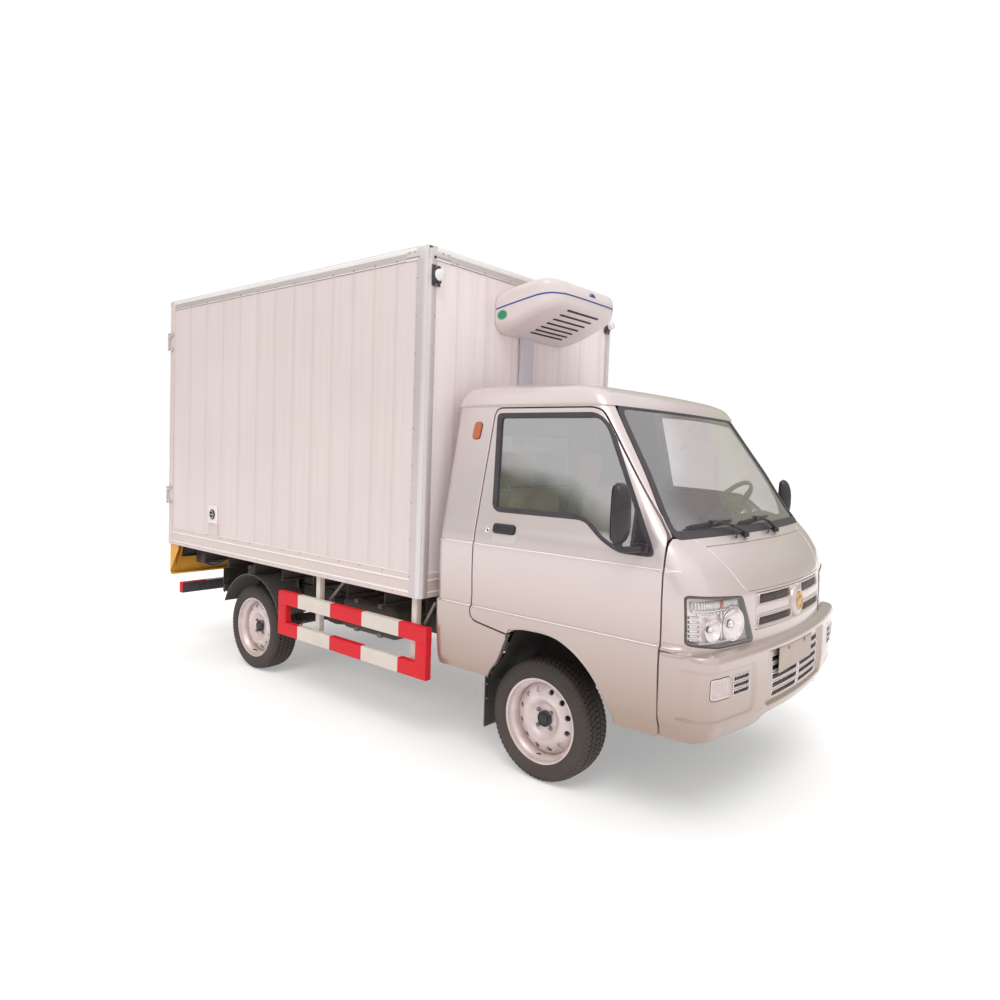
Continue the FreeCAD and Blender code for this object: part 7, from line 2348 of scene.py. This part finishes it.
def leaf_bar(path, wide, thick):
    shape = Shape()
    points = []
    for x, y, z in path:
        points += [(x, y - wide / 2, z - thick / 2), (x, y + wide / 2, z - thick / 2),
                (x, y + wide / 2, z + thick / 2),
                   (x, y - wide / 2, z + thick / 2)]
    faces = []
    for i in range(len(path) - 1):
        for k in range(4):
            m = (k + 1) % 4
            faces.append((4 * i + k, 4 * i + m, 4 * i + 4 + m, 4 * i + 4 + k))
    faces.append((3, 2, 1, 0))
    last = 4 * (len(path) - 1)
    faces.append((last, last + 1, last + 2, last + 3))
    shape.add(points, faces, "chassis", False)
    return shape


def damper(shape, start, end):
    start, end = Vector(start), Vector(end)
    middle = start.lerp(end, 0.55)
    shape.join(tube([start, middle], 0.024, "chassis", 18))
    shape.join(tube([middle, end], 0.010, "steel", 12))
    shape.join(tube([start.lerp(end, 0.5), start.lerp(end, 0.86)], 0.028, "rubber", 18))


def make_front_gear():
    """Cross-beam and arms, knuckles with their drums, and the exhaust."""
    a = FRONT_AXLE
    shape = block((a - 0.045, -0.40, 0.350), (a + 0.045, 0.40, 0.439), "chassis", 0.012)
    for side in (RIGHT, LEFT):
        y0, y1 = sorted((side * 0.32, side * 0.600))
        for z in (0.168, 0.360):
            shape.join(block((a - 0.024, y0, z), (a + 0.024, y1, z + 0.022), "chassis", 0.008))
            shape.join(lathe([(0.0005, 0.0), (0.027, 0.0), (0.027, 0.023), (0.0005, 0.023)], "steel", 24, "Z",
                             (a, side * 0.600, z)))
        y0, y1 = sorted((side * 0.321, side * 0.399))
        shape.join(block((a - 0.039, y0, 0.170), (a + 0.039, y1, 0.36), "chassis", 0.01))
        shape.join(tube([(a + 0.012, side * 0.40, 0.372), (a + 0.30, side * 0.34, 0.470)], 0.014, "chassis",
                        12))
    shape.make("front_beam_looks", "chassis", "chassis_black", "front_suspension")
    for name, side in SIDES:
        drum = [(0.030, 0.0), (0.096, 0.0), (0.103, 0.006), (0.103, 0.036), (0.098, 0.040), (0.030, 0.040)]
        place = Matrix.Translation((a, side * 0.574, WHEEL_Z)) @ Matrix.Scale(side, 4, (0, 1, 0))
        knuckle = Shape()
        knuckle.join(lathe(drum, "steel", 44), place)
        knuckle.join(tube([(a, side * 0.600, WHEEL_Z - 0.104), (a, side * 0.600, WHEEL_Z + 0.104)], 0.0115,
                          "steel", 16))
        knuckle.join(tube([(a, side * 0.61, WHEEL_Z), (a, side * 0.680, WHEEL_Z)], 0.020, "steel", 16))
        knuckle.make(f"knuckle_{name}_looks", f"knuckle_{name}", "chassis_black", f"knuckle_{name}")
    low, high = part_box("exhaust")
    y, z, r = -0.460, 0.410, 0.0795
    can = [(0.0005, 0.0), (r - 0.02, 0.001), (r - 0.004, 0.008), (r, 0.018), (r, 0.402), (r - 0.004, 0.412),
           (r - 0.02, 0.419), (0.0005, 0.420)]
    y = (low.y + high.y) / 2
    shape = lathe(can, "steel", 40, "X", (low.x, y, z))
    shape.join(tube([(low.x + 0.41, y, z), (high.x - 0.001, y, z)], 0.0215, "steel", 20))
    for x in (low.x + 0.10, low.x + 0.32):
        shape.join(lathe([(r, 0.0), (r + 0.0004, 0.0), (r + 0.0004, 0.018), (r, 0.018)], "chassis", 40, "X",
                         (x, y, z)))
    shape.join(block((low.x + 0.19, y - 0.012, z + r - 0.01), (low.x + 0.23, y + 0.012, high.z), "chassis",
                     0.003))
    shape.make("exhaust_looks", "chassis", "chassis_black", "exhaust")


# ---------------------------------------------------------------- guards, rear end

def make_side_guards():
    """Box-section guards in red and white bands on square posts."""
    low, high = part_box("side_guards")
    shape = Shape()
    bar, thick = 0.078, 0.038
    x0, x1 = low.x, high.x
    z0, z1 = low.z, low.z + 0.262
    bands = ((0.202, "red"), (0.310, "white"), (0.278, "red"), (0.294, "white"), (0.206, "red"))
    for side in (RIGHT, LEFT):
        y_out, y_in = side * high.y, side * (high.y - thick)
        ya, yb = sorted((y_out, y_in))
        for za in (z0, z1 - bar):
            pos = x0
            for i, (length, finish) in enumerate(bands):
                end = pos + length
                shape.join(guard_band(pos, end, ya, yb, za, za + bar, finish, i == 0, i == len(bands) - 1))
                pos = end
        for xa in (x0, x1 - bar):
            shape.join(block((xa, ya, z0 + bar - 0.002), (xa + bar, yb, z1 - bar + 0.002), "red", 0.002))
        y_h0, y_h1 = sorted((y_in, y_in - side * 0.034))
        for x in (x0 + 0.325, x0 + 1.139):
            shape.join(block((x, y_h0, z0 + 0.006), (x + 0.036, y_h1, BOX_BASE - 0.001), "white", 0.002))
        for path in (((x0 + 0.56, 0.725), (x0 + 0.43, 0.600)), ((x1 + 0.000, 0.722), (x1 - 0.075, 0.600))):
            shape.join(tube([(x, y_in - side * 0.02, z) for x, z in path], 0.008, "steel", 8))
    shape.make("side_guard_bars", "chassis", "guard_paint", "side_guards")


def guard_band(x0, x1, y0, y1, z0, z1, finish, first, last):
    """One painted length of a bar; only the bar's own ends are rounded."""
    shape = Shape()
    r = 0.0035
    section = softened([(y0 * 1000, z0 * 1000), (y1 * 1000, z0 * 1000), (y1 * 1000, z1 * 1000),
            (y0 * 1000, z1 * 1000)],
                       r * 1000, 4)
    ring = [(y / 1000, z / 1000) for y, z in section]
    n = len(ring)
    points = [(x0, y, z) for y, z in ring] + [(x1, y, z) for y, z in ring]
    faces = [(i, (i + 1) % n, n + (i + 1) % n, n + i) for i in range(n)]
    shape.add(points, faces, finish)
    if first:
        shape.add([(x0, y, z) for y, z in ring], [tuple(range(n))[::-1]], finish, False)
    if last:
        shape.add([(x1, y, z) for y, z in ring], [tuple(range(n))], finish, False)
    return shape


def make_rear_end():
    """Sloping-sided apron with gussets, the underride bar and the tail lamps."""
    low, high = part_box("rear_apron")
    shape = block((low.x, low.y + 0.004, low.z), (low.x + 0.004, high.y - 0.004, high.z), "yellow", 0.0015)
    shape.join(block((low.x, low.y + 0.004, low.z), (low.x + 0.030, high.y - 0.004, low.z + 0.012), "yellow",
                     0.0015))
    for y in np.linspace(low.y + 0.04, high.y - 0.04, 6):
        shape.join(gusset(low.x + 0.003, y, low.z + 0.01, high.z, 0.10))
    for side in (RIGHT, LEFT):
        shape.join(gusset(low.x + 0.002, side * (high.y - 0.0025), low.z + 0.02, high.z, 0.12))
        harness(shape, side, low)
    shape.make("apron_plate", "chassis", "apron_yellow", "rear_apron")
    low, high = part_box("underride_guard")
    shape = Shape()
    z0, thick, tall, bands = low.z, 0.050, 0.077, 8
    y0, y1 = low.y, high.y
    for k in range(bands):
        a, b = y0 + (y1 - y0) * k / bands, y0 + (y1 - y0) * (k + 1) / bands
        finish, edge = ("red", "white")[k % 2], 0.0025 if k in (0, bands - 1) else 0.0008
        shape.join(block((low.x, a, z0), (low.x + thick - 0.004, b, z0 + tall), finish, edge))
    shape.join(block((low.x + thick - 0.006, y0 + 0.003, z0 + 0.001), (low.x + thick, y1 - 0.003,
                                                                       z0 + tall - 0.004),
                     "rubber", 0.0015))
    for side in (RIGHT, LEFT):
        ya, yb = sorted((side * 0.315, side * 0.365))
        shape.join(block((low.x + thick - 0.002, ya, z0), (low.x + thick + 0.030, yb, high.z), "chassis",
                         0.003))
        shape.join(gusset(low.x + thick + 0.028, side * 0.340, z0 + 0.03, high.z - 0.002, 0.031, "chassis"))
    shape.make("underride_bar", "chassis", "chassis_black", "underride_guard")
    low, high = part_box("tail_lamps")
    shape = Shape()
    for side in (RIGHT, LEFT):
        a, b = sorted((side * TAIL_IN, side * high.y))
        shape.join(block((low.x + 0.006, a, low.z), (high.x, b, high.z), "plastic", 0.006))
        width = (b - a - 0.012) / 3
        for k, finish in enumerate(("amber", "red_lens", "white_lens")):
            y = a + 0.006 + ((2 - k) if side > 0 else k) * width
            shape.join(block((low.x, y + 0.001, low.z + 0.006), (low.x + 0.010, y + width - 0.001,
                                                                 high.z - 0.006),
                             finish, 0.004, 3))
    shape.make("tail_lamp_pair", "chassis", "lamp_red", "tail_lamps")


def harness(shape, side, low):
    """Loose cables and a junction box ahead of the apron."""
    y = side * 0.60
    x = low.x + 0.03
    for k, (reach, sag) in enumerate(((0.36, 0.10), (0.42, 0.06), (0.30, 0.13))):
        start = (x, y + side * 0.03 * k, 0.700)
        path = [start, (x + reach * 0.4, y - side * 0.02, 0.700 - sag), (x + reach,
                                                                         y - side * (0.10 + 0.03 * k), 0.690)]
        shape.join(tube(curve_through(path, 12), 0.008, "rubber", 8))
    ya, yb = sorted((y - side * 0.03, y + side * 0.09))
    shape.join(block((x + 0.10, ya, 0.600), (x + 0.22, yb, 0.690), "plastic", 0.008))


TAIL_IN = 0.56


def gusset(x, y, z0, z1, reach, finish="yellow"):
    shape = Shape()
    points = []
    for dy in (-0.002, 0.002):
        points += [(x, y + dy, z0), (x, y + dy, z1), (x + reach, y + dy, z1), (x + reach, y + dy, z1 - 0.03)]
    shape.add(points, [(0, 1, 2, 3), (7, 6, 5, 4), (0, 4, 5, 1), (3, 7, 4, 0), (2, 6, 7, 3), (1, 5, 6, 2)],
              finish, False)
    return shape


def make_mudguards():
    shape = Shape()
    for side in (RIGHT, LEFT):
        y0, y1 = sorted((side * 0.547, side * 0.7425))
        n = 40
        outer, inner = 0.353, 0.348
        points = []
        for k in range(n + 1):
            a = math.radians(22) + math.radians(136) * k / n
            for r in (inner, outer):
                for y in (y0, y1):
                    points.append((REAR_AXLE + r * math.cos(a), y, WHEEL_Z + r * math.sin(a)))
        faces = []
        for k in range(n):
            b, c = 4 * k, 4 * (k + 1)
            faces += [(b, b + 1, c + 1, c), (b + 2, c + 2, c + 3, b + 3), (b, c, c + 2, b + 2),
                    (b + 1, b + 3, c + 3, c + 1)]
        shape.add(points, faces, "guard_edge")
        for y in (y0, y1):
            path = [(REAR_AXLE + 0.3505 * math.cos(a), y, WHEEL_Z + 0.3505 * math.sin(a))
                    for a in np.linspace(math.radians(22), math.radians(158), 40)]
            shape.join(tube(path, 0.0045, "guard_edge", 8))
        ya, yb = sorted((side * RAIL_FACE, side * 0.60))
        shape.join(block((REAR_AXLE - 0.02, ya, 0.6205), (REAR_AXLE + 0.02, yb, 0.6255), "chassis", 0.001))
        ya, yb = sorted((side * RAIL_FACE, side * 0.371))
        shape.join(block((REAR_AXLE - 0.02, ya, 0.49), (REAR_AXLE + 0.02, yb, 0.6255), "chassis", 0.001))
    shape.make("guards_over_rear_wheels", "chassis", "rubber_black", "rear_mudguards")
    shape = Shape()
    for side in (RIGHT, LEFT):
        rear_x = REAR_AXLE - 0.369
        ya, yb = sorted((side * 0.556, side * 0.734))
        shape.join(flap(rear_x, ya, yb, 0.452, 0.622, 9))
        shape.join(block((rear_x - 0.004, min(side * RAIL_FACE, ya, yb), 0.470),
                (rear_x + 0.016, max(side * RAIL_FACE, ya, yb), 0.508),
                         "chassis", 0.003))
        front_x = FRONT_AXLE - 0.343
        ya, yb = sorted((side * 0.556, side * 0.702))
        shape.join(flap(front_x, ya, yb, 0.150, 0.475, 13))
        outer = side * 0.700
        a, b = sorted((outer, outer - side * 0.016))
        shape.join(block((front_x - 0.0075, a, 0.255), (front_x - 0.003, b, 0.470), "alloy", 0.001))
        for z in (0.29, 0.36, 0.43):
            rivets_along(shape, (front_x + 0.003, (a + b) / 2, z), (front_x + 0.003, (a + b) / 2, z), 1,
                    (1, 0, 0), "alloy", 0.006)
        shape.join(block((front_x - 0.022, min(side * RAIL_FACE, side * 0.701), 0.460),
                (front_x + 0.002, max(side * RAIL_FACE, side * 0.701), 0.479),
                         "chassis", 0.003))
    shape.make("flaps", "chassis", "rubber_black", "mudflaps")


def flap(x, y0, y1, z0, z1, teeth):
    """A rubber flap with a saw-toothed lower edge and pressed ribs."""
    shape = Shape()
    outline = [(y0, z1)]
    for k in range(teeth):
        a = y0 + (y1 - y0) * k / teeth
        b = y0 + (y1 - y0) * (k + 1) / teeth
        outline += [(a, z0 + 0.012), ((a + b) / 2, z0)]
    outline += [(y1, z0 + 0.012), (y1, z1)]
    n = len(outline)
    front = [(x + 0.003, y, z) for y, z in outline]
    back = [(x - 0.003, y, z) for y, z in outline]
    points = front + back
    faces = [tuple(range(n)), tuple(range(n, 2 * n))[::-1]]
    faces += [(i, n + i, n + (i + 1) % n, (i + 1) % n) for i in range(n)]
    shape.add(points, faces, "chassis", False)
    for k in range(1, 6):
        y = y0 + (y1 - y0) * k / 6
        shape.join(block((x + 0.002, y - 0.003, z0 + 0.05), (x + 0.0045, y + 0.003, z1 - 0.07), "chassis",
                         0.001, 1))
    return shape


def make_tank_and_exhaust():
    low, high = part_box("fuel_tank")
    shape = block(low, high, "chassis", 0.035, 5)
    for t in (0.28, 0.72):
        x = low.x + (high.x - low.x) * t
        shape.join(block((x - 0.016, low.y + 0.002, low.z - 0.0), (x + 0.016, high.y - 0.002, high.z),
                         "steel", 0.002))
    shape.make("tank_looks", "chassis", "chassis_black", "fuel_tank")


# ---------------------------------------------------------------- stage, light and camera

def make_stage():
    """A pale floor that meets the white surroundings without an edge."""
    floor = bpy.data.meshes.new("floor")
    reach = 60.0
    corners = [(-reach, -reach, 0), (reach, -reach, 0), (reach, reach, 0), (-reach, reach, 0)]
    floor.from_pydata(corners, [], [(0, 1, 2, 3)])
    ground = bpy.data.objects.new("floor", floor)
    m = Nodes("floor_white", roughness=0.95, specular_ior_level=0.1)
    patches = m.noise(0.6, 3)
    m.colour(m.ramp(patches, [(0.3, 0.74), (0.7, 0.77)]))
    m.shader.inputs["Emission Color"].default_value = (1, 1, 1, 1)
    m.shader.inputs["Emission Strength"].default_value = FLOOR_GLOW
    floor.materials.append(m.material)
    bpy.context.scene.collection.objects.link(ground)


def sky(world):
    """Overcast light with a band of trees round the horizon; plain white to the camera."""
    world.use_nodes = True
    tree = world.node_tree
    tree.nodes.clear()
    def add(kind, **settings):
        node = tree.nodes.new(kind)
        for key, value in settings.items():
            if key in node.inputs:
                node.inputs[key].default_value = value
            else:
                setattr(node, key, value)
        return node
    def ramp(source, stops):
        node = add("ShaderNodeValToRGB")
        elements = node.color_ramp.elements
        while len(elements) < len(stops):
            elements.new(0.5)
        for element, (position, colour) in zip(elements, stops):
            element.position, element.color = position, (*colour, 1)
        tree.links.new(source, node.inputs["Fac"])
        return node.outputs["Color"]
    def blend(factor, first, second):
        node = add("ShaderNodeMix", data_type="RGBA")
        tree.links.new(factor, node.inputs["Factor"])
        tree.links.new(first, node.inputs["A"])
        tree.links.new(second, node.inputs["B"])
        return node.outputs["Result"]
    where = add("ShaderNodeTexCoord")
    split = add("ShaderNodeSeparateXYZ")
    tree.links.new(where.outputs["Generated"], split.inputs["Vector"])
    leaves = add("ShaderNodeTexNoise", Scale=9.0, Detail=8.0, Roughness=0.7)
    tree.links.new(where.outputs["Generated"], leaves.inputs["Vector"])
    crown = add("ShaderNodeTexNoise", Scale=3.0, Detail=4.0, Roughness=0.6)
    tree.links.new(where.outputs["Generated"], crown.inputs["Vector"])
    height = add("ShaderNodeMath", operation="MULTIPLY_ADD")
    tree.links.new(crown.outputs["Fac"], height.inputs[0])
    height.inputs[1].default_value = -TREE_RAGGED
    tree.links.new(split.outputs["Z"], height.inputs[2])
    leaning = add("ShaderNodeMath", operation="MULTIPLY_ADD")
    tree.links.new(split.outputs["X"], leaning.inputs[0])
    leaning.inputs[1].default_value = TREE_LEAN
    tree.links.new(height.outputs["Value"], leaning.inputs[2])
    above = ramp(leaning.outputs["Value"],
            [(0.0, (0, 0, 0)), (TREE_TOP, (0, 0, 0)), (TREE_TOP + 0.03, (1, 1, 1))])
    trees = ramp(leaves.outputs["Fac"], [(0.35, (0.07, 0.085, 0.055)), (0.60, (0.26, 0.30, 0.22)),
                                         (0.75, (0.60, 0.64, 0.60))])
    over = ramp(split.outputs["Z"], [(0.0, (0.95, 0.96, 0.98)), (0.45, (1.02, 1.01, 1.0)),
            (1.0, (1.15, 1.13, 1.10))])
    ground = ramp(leaves.outputs["Fac"], [(0.3, (0.50, 0.46, 0.42)), (0.7, (0.60, 0.56, 0.52))])
    low = add("ShaderNodeMath", operation="GREATER_THAN")
    tree.links.new(split.outputs["Z"], low.inputs[0])
    low.inputs[1].default_value = 0.0
    colour = blend(low.outputs["Value"], ground, blend(above, trees, over))
    lawn = ramp(split.outputs["Z"], [(0.0, (0.46, 0.44, 0.38)), (0.22, (0.46, 0.45, 0.37)),
            (0.34, (0.56, 0.58, 0.42)), (0.375, (0.55, 0.56, 0.43)),
                                     (0.385, (0.52, 0.45, 0.45)), (0.47, (0.56, 0.50, 0.51)), (0.52,
                                             (0.98, 0.98, 1.0))])
    yonder = ramp(split.outputs["Y"], [(0.55, (0, 0, 0)), (0.75, (1, 1, 1))])
    colour = blend(yonder, colour, lawn)
    light = add("ShaderNodeBackground", Strength=SKY)
    tree.links.new(colour, light.inputs["Color"])
    seen = add("ShaderNodeBackground", Color=(1, 1, 1, 1), Strength=1.0)
    rays = add("ShaderNodeLightPath")
    mix = add("ShaderNodeMixShader")
    tree.links.new(rays.outputs["Is Camera Ray"], mix.inputs["Fac"])
    tree.links.new(light.outputs["Background"], mix.inputs[1])
    tree.links.new(seen.outputs["Background"], mix.inputs[2])
    out = add("ShaderNodeOutputWorld")
    tree.links.new(mix.outputs["Shader"], out.inputs["Surface"])


SKY, FLOOR_GLOW = 0.94, 0.31
TREE_TOP, TREE_RAGGED, TREE_LEAN = 0.095, 0.12, 0.12
SUN_FROM, SUN_POWER, SUN_SPREAD = (0.40, -0.72, 1.20), 1.0, 30


def sun():
    """One weak, wide sun from the front and right."""
    data = bpy.data.lights.new("sun", "SUN")
    data.energy, data.angle, data.color = SUN_POWER, math.radians(SUN_SPREAD), (1.0, 0.99, 0.97)
    item = bpy.data.objects.new("sun", data)
    item.rotation_euler = Vector(SUN_FROM).to_track_quat("Z", "Y").to_euler()
    bpy.context.scene.collection.objects.link(item)


def make_camera():
    """The view: yaw, pitch down and roll in degrees, focal length over a 36 mm sensor."""
    yaw, pitch, roll = (math.radians(v) for v in (129.174, 2.546, 1.978))
    ahead = Vector((math.cos(yaw) * math.cos(pitch), math.sin(yaw) * math.cos(pitch), -math.sin(pitch)))
    right = ahead.cross(Vector((0, 0, 1))).normalized()
    up = right.cross(ahead)
    r2 = math.cos(roll) * right + math.sin(roll) * up
    u2 = -math.sin(roll) * right + math.cos(roll) * up
    data = bpy.data.cameras.new("view")
    data.sensor_width, data.lens = 36.0, 25.92
    data.shift_x, data.shift_y = -0.0202, -0.0141
    data.clip_end = 200
    camera = bpy.data.objects.new("view", data)
    turn = Matrix((r2, u2, -ahead)).transposed().to_4x4()
    camera.matrix_world = Matrix.Translation((3.1565, -3.2662, 1.4726)) @ turn
    bpy.context.scene.collection.objects.link(camera)
    bpy.context.scene.camera = camera


def make_scene():
    scene = bpy.context.scene
    if scene.world is None:
        scene.world = bpy.data.worlds.new("sky")
    sky(scene.world)
    make_stage()
    sun()
    scene.render.engine = "CYCLES"
    scene.view_settings.view_transform = "Standard"
    scene.render.resolution_x = scene.render.resolution_y = 1000
    scene.cycles.samples = 96
    scene.cycles.use_denoising = True
    make_camera()


# ---------------------------------------------------------------- build

def main():
    finishes()
    make_doors()
    make_body_side()
    make_nose()
    make_windshield()
    make_roof()
    make_back_panel()
    make_lamps()
    make_bumper()
    make_cab_floor()
    make_dashboard()
    make_steering_wheel()
    make_seats()
    make_mirrors()
    make_wipers()
    for name, side in SIDES:
        make_tyre(f"tyre_front_{name}", f"wheel_front_{name}", FRONT_AXLE, side)
        make_rim(f"rim_front_{name}", f"wheel_front_{name}", FRONT_AXLE, side)
        make_tyre(f"tyre_rear_{name}", f"wheel_rear_{name}", REAR_AXLE, side)
        make_rim(f"rim_rear_{name}", f"wheel_rear_{name}", REAR_AXLE, side)
    make_box_walls()
    make_box_roof()
    make_trims()
    make_rear_frame()
    make_cargo_doors()
    make_cooling_unit()
    make_marker_lamps()
    make_chassis()
    make_running_gear()
    make_front_gear()
    make_side_guards()
    make_rear_end()
    make_mudguards()
    make_tank_and_exhaust()
    make_scene()


main()
